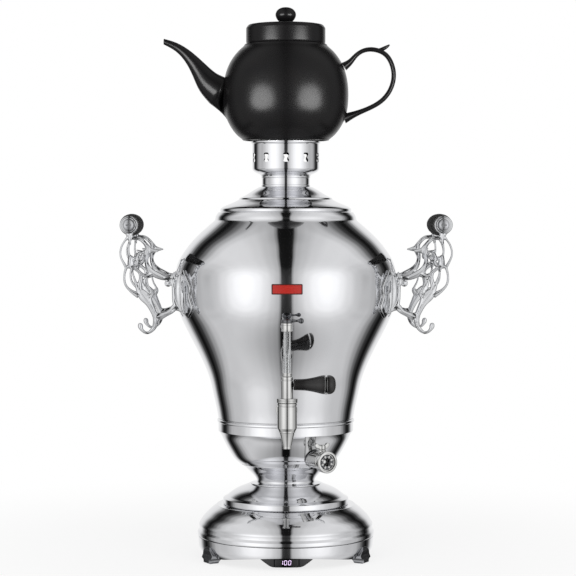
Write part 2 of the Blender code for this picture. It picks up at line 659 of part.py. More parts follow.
def neck_cone():
    """Spin the waisted neck between the base and the bowl."""
    outer = share_points(NECK_SHARES, NECK_RADIUS, NECK_FOOT, NECK_HEIGHT, NECK_WAIST_RADIUS)
    inner = drop_high(drop_low(offset(outer, -STEEL_WALL), NECK_FOOT), NECK_TOP)
    return turned("neck_cone", outer + list(reversed(inner)), MIDDLE_STEPS)


# Vessel


def bowl_outline():
    """Return the bowl's outer profile below its bead."""
    return share_points(BOWL_SHARES, BOWL_RADIUS, BOWL_FOOT, BOWL_HEIGHT, BOWL_FOOT_RADIUS)


def vessel_bowl():
    """Spin the bottom of the tank, with its floor, seam bead and heater hole."""
    plain = bowl_outline()
    outer = plain + share_points(BOWL_BEAD_SHARES, BOWL_RADIUS, BOWL_FOOT, BOWL_HEIGHT, BOWL_FOOT_RADIUS)
    inner = offset(plain + [(BOWL_RADIUS, BOWL_TOP)], -STEEL_WALL)
    inner = drop_low(inner, BOWL_FOOT + STEEL_WALL)
    hole = CLAMP_RADIUS + FIT
    loop = [(hole, BOWL_FOOT)] + outer + list(reversed(inner)) + [(hole, BOWL_FOOT + STEEL_WALL)]
    piece = turned("vessel_bowl", loop)
    bore = rod("bore", DRAIN_SHANK_RADIUS + FIT, BOWL_RADIUS / 2, BOWL_RADIUS + OVERRUN)
    return cut(piece, place_on_drain(bore))


def vessel_body():
    """Spin the pear-shaped wall of the tank, with its mouth and its two tap holes."""
    outer = vessel_outline()
    inner = drop_high(offset(outer, -STEEL_WALL), VESSEL_TOP - STEEL_WALL)
    loop = outer + [(MOUTH_RADIUS, VESSEL_TOP), (MOUTH_RADIUS, VESSEL_TOP - STEEL_WALL)]
    piece = turned("vessel_body", loop + list(reversed(inner)))
    for radius, level in ((TAP_SHANK_RADIUS, TAP_PORT_LEVEL), (GAUGE_SHANK_RADIUS, GAUGE_LEVEL)):
        bore = rod("bore", radius + FIT, MOUTH_RADIUS, TAP_REACH)
        cut(piece, shift(bore, towards_front(), (0.0, 0.0, level)))
    return piece


def badge_plate():
    """Bend the bare badge plate to the front of the vessel."""
    prism = block("badge_plate", BADGE_WIDTH, VESSEL_RADIUS, BADGE_HEIGHT,
                  (0.0, -VESSEL_RADIUS, BADGE_LEVEL - BADGE_HEIGHT / 2))
    return cut(skin_patch(prism, BADGE_THICKNESS), vessel_solid("patch_inside", FIT))


def lid():
    """Spin the stepped lid with the spigot that centres it in the mouth."""
    outer = share_points(LID_SHARES, LID_RADIUS, LID_FOOT, LID_HEIGHT, STEAM_NECK_RADIUS + LID_LEDGE)
    hole = STEAM_BORE_RADIUS + STEEL_WALL + FIT
    inner = drop_high(offset(outer, -STEEL_WALL), LID_TOP - STEEL_WALL)
    inner = drop_low(inner, LID_FOOT + STEEL_WALL)
    spigot = MOUTH_RADIUS - FIT
    foot_level = LID_FOOT - LID_SPIGOT_DEPTH
    loop = outer + [(hole, LID_TOP), (hole, LID_TOP - STEEL_WALL)] + list(reversed(inner))
    loop += [(spigot - STEEL_WALL, LID_FOOT + STEEL_WALL), (spigot - STEEL_WALL, foot_level),
             (spigot, foot_level), (spigot, LID_FOOT)]
    return turned("lid", loop)


def steam_neck():
    """Turn the collar that is pressed into the lid and carries the crown."""
    spigot = STEAM_BORE_RADIUS + STEEL_WALL
    low = STEAM_FOOT - STEAM_SPIGOT_DEPTH
    loop = [(spigot, low), (spigot, STEAM_FOOT), (STEAM_NECK_RADIUS, STEAM_FOOT),
            (STEAM_NECK_RADIUS, STEAM_TOP), (STEAM_BORE_RADIUS, STEAM_TOP), (STEAM_BORE_RADIUS, low)]
    return turned("steam_neck", loop, POT_STEPS)


def crown():
    """Spin the crown and pierce its ring of hourglass holes."""
    outer = share_points(CROWN_SHARES, CROWN_RADIUS, CROWN_FOOT, CROWN_HEIGHT, STEAM_NECK_RADIUS)
    spigot = STEAM_BORE_RADIUS - FIT
    low = CROWN_FOOT - CROWN_SPIGOT_DEPTH
    inner = drop_low(offset(outer, -STEEL_WALL), CROWN_FOOT + STEEL_WALL)
    inner[-1] = (inner[-1][0], CROWN_TOP)
    loop = [(spigot, low), (spigot, CROWN_FOOT)] + outer + list(reversed(inner))
    loop += [(spigot - STEEL_WALL, CROWN_FOOT + STEEL_WALL), (spigot - STEEL_WALL, low)]
    piece = turned("crown", loop, POT_STEPS)
    wide = CROWN_HOLE_WIDTH / 2
    waist = CROWN_HOLE_WAIST / 2
    tall = CROWN_HOLE_HEIGHT / 2
    half = [(wide / 2, -tall), (wide, -tall * 2 / 3), (waist, 0.0), (wide, tall * 2 / 3), (wide / 2, tall)]
    outline = half + [(-x, z) for x, z in reversed(half)]
    for index in range(CROWN_HOLE_COUNT // 2):
        hole = plate("hole", [outline], 3 * CROWN_RADIUS)
        turn = Matrix.Rotation(2 * HALF_TURN * index / CROWN_HOLE_COUNT, 4, "Z")
        cut(piece, shift(hole, turn, (0.0, 0.0, CROWN_FOOT + CROWN_HOLE_LEVEL)))
    return piece


# Teapot


def pot_outline():
    """Return the teapot's outer profile."""
    outer = share_points(POT_BELLY_SHARES, POT_RADIUS, POT_FOOT, POT_HEIGHT)
    rim = POT_LID_RADIUS + POT_LEDGE
    return outer + share_points(POT_SHOULDER_SHARES, POT_RADIUS, POT_FOOT, POT_HEIGHT, rim)


def spout_sweep(name, wall=0.0):
    """Sweep the spout's form, or its bore when a wall is given, which opens past the tip."""
    root = POT_RADIUS * SPOUT_ROOT_SHARE
    reach = SPOUT_REACH - root
    path = [(-root - across * reach, POT_FOOT + rise * SPOUT_RISE) for across, rise, _ in SPOUT_SHARES]
    radii = [share * SPOUT_ROOT_RADIUS for _, _, share in SPOUT_SHARES]
    if wall:
        radii = [radius - min(wall, radius * SPOUT_WALL_SHARE) for radius in radii]
        tip = Vector(path[-1])
        path[-1] = tuple(tip + (tip - Vector(path[-2])).normalized() * OVERRUN)
    return swept(name, path, [(radius, radius) for radius in radii])


def teapot_body():
    """Throw the round pot, pull its strap handle and pierce its wall for the spout."""
    outer = pot_outline()
    piece = turned("teapot_body", [(0.0, POT_FOOT)] + outer + [(0.0, POT_TOP)], POT_STEPS)
    root = POT_RADIUS * LOOP_ROOT_SHARE
    reach = LOOP_REACH - root
    loop = [(root + across * reach, POT_FOOT + rise * LOOP_RISE) for across, rise in LOOP_SHARES]
    join(piece, swept("loop", loop, [(LOOP_WIDTH / 2, LOOP_THICKNESS / 2)] * len(loop)))
    low = POT_FOOT + 2 * POT_WALL
    high = POT_TOP - POT_WALL
    inner = [point for point in offset(outer, -POT_WALL) if low < point[1] < high]
    inner = [(inner[0][0] - POT_WALL, POT_FOOT + POT_WALL)] + inner
    mouth = [(POT_MOUTH_RADIUS, high), (POT_MOUTH_RADIUS, POT_TOP + OVERRUN)]
    hollow = [(0.0, POT_FOOT + POT_WALL)] + inner + mouth + [(0.0, POT_TOP + OVERRUN)]
    cut(piece, turned("hollow", hollow, POT_STEPS))
    return cut(piece, spout_sweep("spout_hole", SPOUT_WALL))


def teapot_spout():
    """Cast the swept spout, hollow from the pot's wall to its tip."""
    outer = offset(pot_outline(), FIT)
    room = turned("pot_room", [(0.0, outer[0][1])] + outer + [(0.0, outer[-1][1])], POT_STEPS)
    return cut(spout_sweep("teapot_spout"), room, spout_sweep("bore", SPOUT_WALL))


def teapot_lid():
    """Throw the drum-shaped lid with its ball knob and the spigot inside the mouth."""
    outer = share_points(POT_LID_SHARES, POT_LID_RADIUS, POT_LID_FOOT, POT_LID_HEIGHT)
    knob = share_points(KNOB_SHARES, KNOB_RADIUS, POT_LID_TOP, KNOB_HEIGHT)
    spigot = POT_MOUTH_RADIUS - FIT
    low = POT_LID_FOOT - POT_LID_SPIGOT_DEPTH
    top = POT_LID_TOP - POT_LID_WALL
    loop = [(spigot, low), (spigot, POT_LID_FOOT)] + outer + knob
    loop += [(0.0, top), (spigot - POT_LID_WALL, top), (spigot - POT_LID_WALL, low)]
    return turned("teapot_lid", loop, POT_STEPS)


# Handles


def casting_plate(name, side):
    """Outline one openwork scroll casting, lying in the XZ plane, pointing to its side."""
    loops = [[(side * (CASTING_ROOT + across * CASTING_REACH), CASTING_LEVEL + rise * CASTING_RISE)
              for across, rise in shares] for shares in [OUTLINE_SHARES, WINDOW_SHARES] + SCROLL_HOLE_SHARES]
    return plate(name, loops, CASTING_THICKNESS)


def handle_casting(name, side, row):
    """Cast one scroll with its leaf flange on the vessel and the eye that holds the grip."""
    place = row * CASTING_PLACE
    piece = shift(casting_plate(name, side), move=(0.0, place, 0.0))
    eye = rod("eye", EYE_RADIUS, -BOSS_THICKNESS / 2, BOSS_THICKNESS / 2, MIDDLE_STEPS)
    join(piece, shift(eye, towards_front(), (side * EYE_PLACE, place, EYE_LEVEL)))
    leaf = [(share * FLANGE_WIDTH, FLANGE_LEVEL + rise * FLANGE_HEIGHT) for share, rise in LEAF_SHARES]
    leaf += [(-x, z) for x, z in reversed(leaf[1:-1])]
    flange = shift(plate("flange", [leaf], VESSEL_RADIUS), Matrix.Rotation(QUARTER_TURN, 4, "Z"),
                   (side * VESSEL_RADIUS, place, 0.0))
    join(piece, skin_patch(flange, FLANGE_THICKNESS))
    cut(piece, vessel_solid("vessel_room", FIT))
    bore = rod("bore", GRIP_BORE_RADIUS, -BOSS_THICKNESS, BOSS_THICKNESS)
    return cut(piece, shift(bore, towards_front(), (side * EYE_PLACE, place, EYE_LEVEL)))


def grip_half_length():
    """Return half the length between the two bosses, less the gap at each."""
    return CASTING_PLACE - BOSS_THICKNESS / 2 - FIT


def grip(name, side):
    """Turn one barrel grip with a groove near each end."""
    half = grip_half_length()
    end = GRIP_RADIUS * GRIP_END_SHARE
    outline = [(GRIP_BORE_RADIUS, -half), (end, -half)]
    outline += [(share * GRIP_RADIUS, place * half) for share, place in GRIP_TURNING_SHARES]
    outline += [(end, half), (GRIP_BORE_RADIUS, half)]
    piece = turned(name, outline, ROUND_STEPS)
    return shift(piece, towards_front(), (side * EYE_PLACE, 0.0, EYE_LEVEL))


def grip_tie(name, side):
    """Turn the headed rod that draws both castings against the grip."""
    outside = CASTING_PLACE + BOSS_THICKNESS / 2 + FIT
    end = outside + TIE_HEAD_HEIGHT
    edge = TIE_HEAD_RADIUS - TIE_HEAD_HEIGHT / 3
    loop = [(0.0, -end), (edge, -end), (TIE_HEAD_RADIUS, -outside), (TIE_RADIUS, -outside),
            (TIE_RADIUS, outside), (TIE_HEAD_RADIUS, outside), (edge, end), (0.0, end)]
    piece = turned(name, loop, SMALL_STEPS)
    return shift(piece, towards_front(), (side * EYE_PLACE, 0.0, EYE_LEVEL))


# Tap and level gauge


def on_tap(piece, level=0.0):
    """Move a piece turned about Z onto the tap's vertical axis."""
    return shift(piece, move=(0.0, -TAP_REACH, level))


def hex_nut(name, radius, bore, foot, top):
    """Make a six-sided nut about Z."""
    hole = rod("bore", bore + FIT, foot - OVERRUN, top + OVERRUN, ROUND_STEPS)
    return cut(rod(name, radius, foot, top, HEX_STEPS), hole)


def vessel_seal(name, radius, bore, level):
    """Mould a washer that lies on the vessel round a fitting's hole."""
    ring = cut(rod(name, radius, MOUTH_RADIUS, TAP_REACH), rod("bore", bore + FIT, 0.0, 2 * TAP_REACH))
    shift(ring, towards_front(), (0.0, 0.0, level))
    return cut(skin_patch(ring, SEAL_THICKNESS), vessel_solid("vessel_room", FIT))


def vessel_nut(name, radius, bore, height, level):
    """Make a nut inside the vessel whose face follows the wall."""
    wall = level_radius(vessel_outline(), level)
    nut = hex_nut(name, radius, bore, wall - STEEL_WALL - height, TAP_REACH)
    shift(nut, towards_front(), (0.0, 0.0, level))
    return combine(nut, vessel_solid("vessel_room", -STEEL_WALL - FIT), "INTERSECT")


def tap_body():
    """Turn the tap's barrel and nozzle and join the shank that passes through the wall."""
    foot_radius = TAP_BARREL_RADIUS * TAP_BARREL_FOOT_SHARE
    nozzle_foot = TAP_BARREL_FOOT - TAP_NOZZLE_LENGTH
    seat_level = TAP_BARREL_FOOT + PLUG_FLOOR
    step = TAP_BARREL_RADIUS - foot_radius
    outside = [(0.0, nozzle_foot), (TAP_NOZZLE_TIP_RADIUS, nozzle_foot), (TAP_NOZZLE_RADIUS, TAP_BARREL_FOOT),
               (foot_radius, TAP_BARREL_FOOT + step), (TAP_BARREL_RADIUS, BARREL_TOP - step),
               (TAP_BARREL_RADIUS, BARREL_TOP), (0.0, BARREL_TOP)]
    piece = on_tap(turned("tap_body", outside, ROUND_STEPS))
    wall = level_radius(vessel_outline(), TAP_PORT_LEVEL)
    flange_face = wall + SEAL_THICKNESS + TAP_SHANK_FLANGE + TAP_SHANK_FLANGE_RADIUS / 4
    shank = rod("shank", TAP_SHANK_RADIUS, MOUTH_RADIUS, TAP_REACH, ROUND_STEPS)
    flange = rod("flange", TAP_SHANK_FLANGE_RADIUS, MOUTH_RADIUS - OVERRUN, flange_face, ROUND_STEPS)
    join(shank, flange)
    shift(shank, towards_front(), (0.0, 0.0, TAP_PORT_LEVEL))
    cut(shank, vessel_solid("vessel_room", SEAL_THICKNESS + 2 * FIT))
    join(piece, shank)
    tail = rod("tail", TAP_SHANK_RADIUS - FIT, wall - TAP_SHANK_TAIL, flange_face)
    join(piece, shift(tail, towards_front(), (0.0, 0.0, TAP_PORT_LEVEL)))
    low = nozzle_foot - OVERRUN
    hollow = [(0.0, low), (TAP_NOZZLE_BORE, low), (TAP_NOZZLE_BORE, seat_level),
              (PLUG_RADIUS * PLUG_FOOT_SHARE + TURN_FIT, seat_level), (PLUG_RADIUS + TURN_FIT, BARREL_TOP),
              (PLUG_RADIUS + TURN_FIT, BARREL_TOP + OVERRUN), (0.0, BARREL_TOP + OVERRUN)]
    cut(piece, on_tap(turned("hollow", hollow, ROUND_STEPS)))
    bore = rod("bore", TAP_SHANK_BORE, 0.0, TAP_REACH)
    return cut(piece, shift(bore, towards_front(), (0.0, 0.0, TAP_PORT_LEVEL)))


def tap_bonnet():
    """Turn the collar that keeps the plug in the barrel."""
    bore = PLUG_HEAD_RADIUS + TURN_FIT
    loop = [(bore, COLLAR_FOOT), (TAP_COLLAR_RADIUS, COLLAR_FOOT), (TAP_COLLAR_RADIUS, COLLAR_TOP),
            (bore, COLLAR_TOP)]
    return on_tap(turned("tap_bonnet", loop, ROUND_STEPS))


def tap_plug():
    """Turn the tapered plug with its axial and side ports; the side port lies shut at rest."""
    seat = TAP_BARREL_FOOT + PLUG_FLOOR + FIT
    loop = [(TAP_NOZZLE_BORE, seat), (PLUG_RADIUS * PLUG_FOOT_SHARE, seat), (PLUG_RADIUS, BARREL_TOP),
            (PLUG_HEAD_RADIUS, BARREL_TOP), (PLUG_HEAD_RADIUS, PLUG_HEAD_TOP),
            (TAP_NOZZLE_BORE, PLUG_HEAD_TOP)]
    piece = on_tap(turned("tap_plug", loop, ROUND_STEPS))
    port = rod("port", TAP_SHANK_BORE, 0.0, 2 * PLUG_RADIUS)
    cut(piece, shift(port, Matrix.Rotation(-QUARTER_TURN, 4, "Y"), (0.0, -TAP_REACH, TAP_PORT_LEVEL)))
    screw_hole = rod("screw_hole", LEVER_ROD_RADIUS + FIT, LEVER_ROD_START - FIT, 2 * PLUG_RADIUS)
    return cut(piece, on_lever(screw_hole))


def on_lever(piece):
    """Lay a piece turned about Z along the lever, which points to the right at rest."""
    return shift(piece, Matrix.Rotation(QUARTER_TURN, 4, "Y"), (0.0, -TAP_REACH, LEVER_LEVEL))


def lever_rod():
    """Turn the rod that screws into the plug and carries the lever's grip."""
    return on_lever(rod("lever_rod", LEVER_ROD_RADIUS, LEVER_ROD_START, LEVER_REACH - LEVER_ROD_RADIUS * 2))


def lever_grip():
    """Turn the flared grip of the tap lever."""
    bore = LEVER_ROD_RADIUS + FIT
    length = LEVER_RING_PLACE - FIT - LEVER_GRIP_START
    outer = share_points(GRIP_SHARES, LEVER_GRIP_RADIUS, LEVER_GRIP_START, length)
    return on_lever(turned("lever_grip", [(bore, outer[0][1])] + outer + [(bore, outer[-1][1])], ROUND_STEPS))


def lever_ring():
    """Turn the metal ring between the grip and its end."""
    bore = LEVER_ROD_RADIUS + FIT
    outside = LEVER_GRIP_RADIUS + FIT
    far = LEVER_RING_PLACE + LEVER_RING_WIDTH
    loop = [(bore, LEVER_RING_PLACE), (outside, LEVER_RING_PLACE), (outside, far), (bore, far)]
    return on_lever(turned("lever_ring", loop, ROUND_STEPS))


def lever_end():
    """Turn the rounded end of the lever, screwed over the rod."""
    foot = LEVER_RING_PLACE + LEVER_RING_WIDTH + FIT
    outer = share_points(LEVER_END_SHARES, LEVER_GRIP_RADIUS, foot, LEVER_REACH - foot)
    piece = on_lever(turned("lever_end", [(0.0, foot)] + outer, ROUND_STEPS))
    socket = rod("socket", LEVER_ROD_RADIUS + FIT, 0.0, LEVER_REACH - LEVER_ROD_RADIUS * 2 + FIT)
    return cut(piece, on_lever(socket))


def gauge_gland():
    """Turn the gland that holds the foot of the gauge glass."""
    top = GLAND_FOOT + GLAND_HEIGHT
    seat_level = GLAND_FOOT + STEEL_WALL
    loop = [(TAP_NOZZLE_BORE, GLAND_FOOT), (GLAND_RADIUS, GLAND_FOOT), (GLAND_RADIUS, top),
            (GLASS_RADIUS + FIT, top), (GLASS_RADIUS + FIT, seat_level), (TAP_NOZZLE_BORE, seat_level)]
    return on_tap(turned("gauge_gland", loop, SMALL_STEPS))


def gauge_glass():
    """Make the glass tube between the gland and the head."""
    foot = GLAND_FOOT + STEEL_WALL + FIT
    top = HEAD_FOOT + GLASS_SEAT
    loop = [(GLASS_BORE, foot), (GLASS_RADIUS, foot), (GLASS_RADIUS, top), (GLASS_BORE, top)]
    return on_tap(turned("gauge_glass", loop, SMALL_STEPS))


def gauge_head():
    """Turn the gauge's head with its short shank to the vessel and the cock's socket."""
    deep = HEAD_FOOT + GLASS_SEAT + FIT
    shoulder = HEAD_TOP - COCK_STEM_DEPTH - FIT
    loop = [(GLASS_RADIUS + FIT, HEAD_FOOT), (HEAD_RADIUS, HEAD_FOOT), (HEAD_RADIUS, HEAD_TOP),
            (COCK_STEM_RADIUS + FIT, HEAD_TOP), (COCK_STEM_RADIUS + FIT, shoulder),
            (COCK_STEM_RADIUS / 2, shoulder), (COCK_STEM_RADIUS / 2, deep), (GLASS_RADIUS + FIT, deep)]
    piece = on_tap(turned("gauge_head", loop, ROUND_STEPS))
    wall = level_radius(vessel_outline(), GAUGE_LEVEL)
    shank = rod("shank", GAUGE_SHANK_RADIUS, wall - GAUGE_SHANK_TAIL, TAP_REACH - GLASS_RADIUS - OVERRUN)
    join(piece, shift(shank, towards_front(), (0.0, 0.0, GAUGE_LEVEL)))
    bore = rod("bore", COCK_STEM_RADIUS / 2, 0.0, TAP_REACH)
    return cut(piece, shift(bore, towards_front(), (0.0, 0.0, GAUGE_LEVEL)))


def gauge_cock():
    """Make the small cock with its stem, cap and bulb-ended lever."""
    top = COCK_FOOT + COCK_HEIGHT
    foot = HEAD_TOP - COCK_STEM_DEPTH
    loop = [(0.0, foot), (COCK_STEM_RADIUS, foot), (COCK_STEM_RADIUS, COCK_FOOT), (HEAD_RADIUS, COCK_FOOT),
            (HEAD_RADIUS, top - COCK_HEIGHT / 4), (HEAD_RADIUS * 3 / 4, top), (0.0, top)]
    piece = on_tap(turned("gauge_cock", loop, ROUND_STEPS))
    radius = COCK_LEVER_WIDTH / 2
    reach = COCK_LEVER_LENGTH
    arm = [(0.0, HEAD_RADIUS / 2), (radius, HEAD_RADIUS / 2), (radius * 3 / 4, reach - 2 * COCK_BULB_RADIUS),
           (COCK_BULB_RADIUS, reach - COCK_BULB_RADIUS), (COCK_BULB_RADIUS / 2, reach), (0.0, reach)]
    lever = turned("arm", arm, SMALL_STEPS)
    level = COCK_FOOT + COCK_HEIGHT / 2
    return join(piece, shift(lever, Matrix.Rotation(QUARTER_TURN, 4, "Y"), (0.0, -TAP_REACH, level)))


# Drain valve


def place_on_drain(piece):
    """Lay a piece turned about Z along the drain valve, away from the column axis."""
    return shift(piece, towards_front(math.radians(DRAIN_ANGLE)), (0.0, 0.0, DRAIN_LEVEL))


def drain_point(level=DRAIN_LEVEL):
    """Return the place of the drain's stem axis at a level."""
    angle = math.radians(DRAIN_ANGLE)
    return Vector((DRAIN_STEM_PLACE * math.sin(angle), -DRAIN_STEM_PLACE * math.cos(angle), level))


def bowl_solid(name, distance):
    """Make the solid form of the bowl, grown by a distance, to trim what lies on it."""
    outer = bowl_outline()
    if distance:
        outer = offset(outer, distance)
    return turned(name, [(0.0, outer[0][1])] + outer + [(0.0, outer[-1][1])])


def drain_seal():
    """Mould the washer between the drain valve and the bowl."""
    ring = cut(rod("drain_seal", DRAIN_SEAL_RADIUS, BOWL_RADIUS / 2, DRAIN_REACH),
               rod("bore", DRAIN_SHANK_RADIUS + FIT, 0.0, 2 * DRAIN_REACH))
    combine(place_on_drain(ring), bowl_solid("outside", FIT + SEAL_THICKNESS), "INTERSECT")
    return cut(ring, bowl_solid("bowl_room", FIT))


def drain_nut():
    """Make the nut inside the bowl whose face follows the wall."""
    wall = level_radius(bowl_outline(), DRAIN_LEVEL)
    nut = hex_nut("drain_nut", DRAIN_NUT_RADIUS, DRAIN_SHANK_RADIUS, wall - DRAIN_NUT_HEIGHT, DRAIN_REACH)
    return combine(place_on_drain(nut), bowl_solid("bowl_room", -STEEL_WALL - FIT), "INTERSECT")


def drain_body():
    """Turn the drain valve's body, bored for its ball, and join the boss for its stem."""
    wall = level_radius(bowl_outline(), DRAIN_LEVEL)
    shoulder = DRAIN_REACH - DRAIN_END_LENGTH
    mouth_floor = DRAIN_REACH - DRAIN_RECESS - DRAIN_RETAINER_THICKNESS - FIT
    chamber_floor = DRAIN_STEM_PLACE - DRAIN_CHAMBER_RADIUS
    body = [(0.0, BOWL_RADIUS / 2), (DRAIN_BODY_RADIUS, BOWL_RADIUS / 2),
            (DRAIN_BODY_RADIUS, shoulder - DRAIN_END_LENGTH / 4), (DRAIN_END_RADIUS, shoulder),
            (DRAIN_END_RADIUS, DRAIN_REACH), (0.0, DRAIN_REACH)]
    piece = place_on_drain(turned("drain_body", body, ROUND_STEPS))
    neck = rod("neck", DRAIN_NECK_RADIUS, DRAIN_LEVEL, BALL_TOP)
    place = drain_point(0.0)
    join(piece, shift(neck, move=place))
    cut(piece, bowl_solid("bowl_room", SEAL_THICKNESS + 2 * FIT))
    shank = rod("shank", DRAIN_SHANK_RADIUS, wall - DRAIN_SHANK_TAIL, DRAIN_STEM_PLACE - DRAIN_BALL_RADIUS)
    join(piece, place_on_drain(shank))
    bore = [(0.0, 0.0), (DRAIN_BORE, 0.0), (DRAIN_BORE, chamber_floor), (DRAIN_CHAMBER_RADIUS, chamber_floor),
            (DRAIN_CHAMBER_RADIUS, mouth_floor), (DRAIN_RETAINER_RADIUS + FIT, mouth_floor),
            (DRAIN_RETAINER_RADIUS + FIT, 2 * DRAIN_REACH), (0.0, 2 * DRAIN_REACH)]
    cut(piece, place_on_drain(turned("bore", bore, ROUND_STEPS)))
    stem_hole = rod("stem_hole", DRAIN_STEM_RADIUS + TURN_FIT, DRAIN_LEVEL, BALL_TOP + OVERRUN)
    return cut(piece, shift(stem_hole, move=place))


def ball(name, radius):
    """Turn a ball about the origin."""
    turns = [HALF_TURN * index / SMALL_STEPS for index in range(1, SMALL_STEPS)]
    dome = [(radius * math.sin(turn), -radius * math.cos(turn)) for turn in turns]
    return turned(name, [(0.0, -radius)] + dome + [(0.0, radius)], ROUND_STEPS)


def drain_retainer():
    """Turn the ring that keeps the ball in, with petals round its hole."""
    far = DRAIN_REACH - DRAIN_RECESS
    near = far - DRAIN_RETAINER_THICKNESS
    loop = [(DRAIN_RETAINER_HOLE, near), (DRAIN_RETAINER_RADIUS, near), (DRAIN_RETAINER_RADIUS, far),
            (DRAIN_RETAINER_HOLE, far)]
    piece = turned("drain_retainer", loop, ROUND_STEPS)
    cut(piece, shift(ball("ball_room", DRAIN_BALL_RADIUS + FIT), move=(0.0, 0.0, DRAIN_STEM_PLACE)))
    ring = (DRAIN_RETAINER_HOLE + DRAIN_RETAINER_RADIUS) / 2
    for index in range(DRAIN_PETAL_COUNT):
        angle = 2 * HALF_TURN * index / DRAIN_PETAL_COUNT
        groove = rod("groove", DRAIN_PETAL_RADIUS, far - DRAIN_RECESS / 2, far + OVERRUN, HEX_STEPS)
        cut(piece, shift(groove, move=(ring * math.cos(angle), ring * math.sin(angle), 0.0)))
    return place_on_drain(piece)


def drain_ball():
    """Turn the ball with its stem and bore; the bore lies across the flow at rest."""
    piece = shift(ball("drain_ball", DRAIN_BALL_RADIUS), move=drain_point())
    top = BALL_TOP + FIT + DRAIN_WING_HEIGHT / 2
    join(piece, shift(rod("stem", DRAIN_STEM_RADIUS, DRAIN_LEVEL, top), move=drain_point(0.0)))
    bore = rod("bore", DRAIN_BORE, -DRAIN_REACH, DRAIN_REACH)
    across = Matrix.Rotation(math.radians(DRAIN_ANGLE), 4, "Z") @ Matrix.Rotation(QUARTER_TURN, 4, "Y")
    return cut(piece, shift(bore, across, drain_point()))


def drain_handle():
    """Press the butterfly wing that turns the drain's stem."""
    foot = BALL_TOP + FIT
    outline = [(across * DRAIN_WING_WIDTH, rise * DRAIN_WING_HEIGHT) for across, rise in WING_SHARES]
    piece = plate("drain_handle", [outline], DRAIN_WING_THICKNESS)
    join(piece, rod("hub", DRAIN_WING_HUB_RADIUS, 0.0, DRAIN_WING_HEIGHT * 3 / 4, ROUND_STEPS))
    cut(piece, rod("bore", DRAIN_STEM_RADIUS + FIT, -OVERRUN, DRAIN_WING_HEIGHT / 2 + FIT))
    return shift(piece, Matrix.Rotation(math.radians(DRAIN_ANGLE), 4, "Z"), drain_point(foot))


# Inside the base and the tank


def tube_along(name, radius, points):
    """Make a closed round tube along a smooth line through the points."""
    line = bpy.data.curves.new(name, "CURVE")
    line.dimensions = "3D"
    line.bevel_depth = radius
    line.bevel_resolution = 1
    line.use_fill_caps = True
    spline = line.splines.new("POLY")
    spline.points.add(len(points) - 1)
    for target, point in zip(spline.points, points):
        target.co = (*point, 1.0)
    guide = bpy.data.objects.new(name, line)
    bpy.context.collection.objects.link(guide)
    solid = bpy.data.meshes.new_from_object(guide.evaluated_get(bpy.context.evaluated_depsgraph_get()))
    data = bmesh.new()
    data.from_mesh(solid)
    bpy.data.objects.remove(guide)
    bpy.data.meshes.remove(solid)
    return mesh_object(name, data)


def bottom_cover():
    """Press the flat cover that closes the skirt, with its ring of vents."""
    outer = share_points(SKIRT_SHARES, SKIRT_RADIUS, SKIRT_CLEARANCE, SKIRT_HEIGHT)
    edge = level_radius(outer, COVER_LEVEL) - STEEL_WALL - 2 * FIT
    piece = rod("bottom_cover", edge, COVER_LEVEL, COVER_TOP, RING_STEPS)
    for index in range(COVER_HOLE_COUNT):
        angle = 2 * HALF_TURN * (index + 0.5) / COVER_HOLE_COUNT
        hole = rod("hole", COVER_HOLE_RADIUS, COVER_LEVEL - OVERRUN, COVER_TOP + OVERRUN)
        place = (COVER_HOLE_RING * math.cos(angle), COVER_HOLE_RING * math.sin(angle), 0.0)
        cut(piece, shift(hole, move=place))
    return piece


def panel_ring(name, outside, depth):
    """Make the upright ring from which the panel and its window are cut."""
    high = COVER_LEVEL - FIT
    loop = [(outside - depth, 0.0), (outside, 0.0), (outside, high), (outside - depth, high)]
    return turned(name, loop, 2 * RING_STEPS)


def window_block(name, grow):
    """Make the block that bounds the display window, grown on each side."""
    wide = WINDOW_WIDTH + 2 * grow
    tall = WINDOW_HEIGHT + 2 * grow
    level = WINDOW_LEVEL - tall / 2
    return block(name, wide, SKIRT_RADIUS, tall, (0.0, -SKIRT_RADIUS, level))


def control_panel():
    """Mould the panel that hangs below the front arch, recessed for its window."""
    high = COVER_LEVEL - FIT - PANEL_FOOT_LEVEL
    half = [(across * PANEL_TOP_WIDTH / 2, PANEL_FOOT_LEVEL + rise * high) for across, rise in PANEL_SHARES]
    outline = half + [(-x, z) for x, z in reversed(half)]
    prism = shift(plate("prism", [outline], SKIRT_RADIUS), move=(0.0, -SKIRT_RADIUS, 0.0))
    piece = combine(panel_ring("control_panel", PANEL_RADIUS, PANEL_DEPTH), prism, "INTERSECT")
    recess = combine(panel_ring("recess", PANEL_RADIUS + OVERRUN, OVERRUN + WINDOW_DEPTH + FIT),
                     window_block("window_room", FIT), "INTERSECT")
    return cut(piece, recess)


def display_window():
    """Mould the smoked window of the display."""
    ring = panel_ring("display_window", PANEL_RADIUS, WINDOW_DEPTH)
    return combine(ring, window_block("window", 0.0), "INTERSECT")


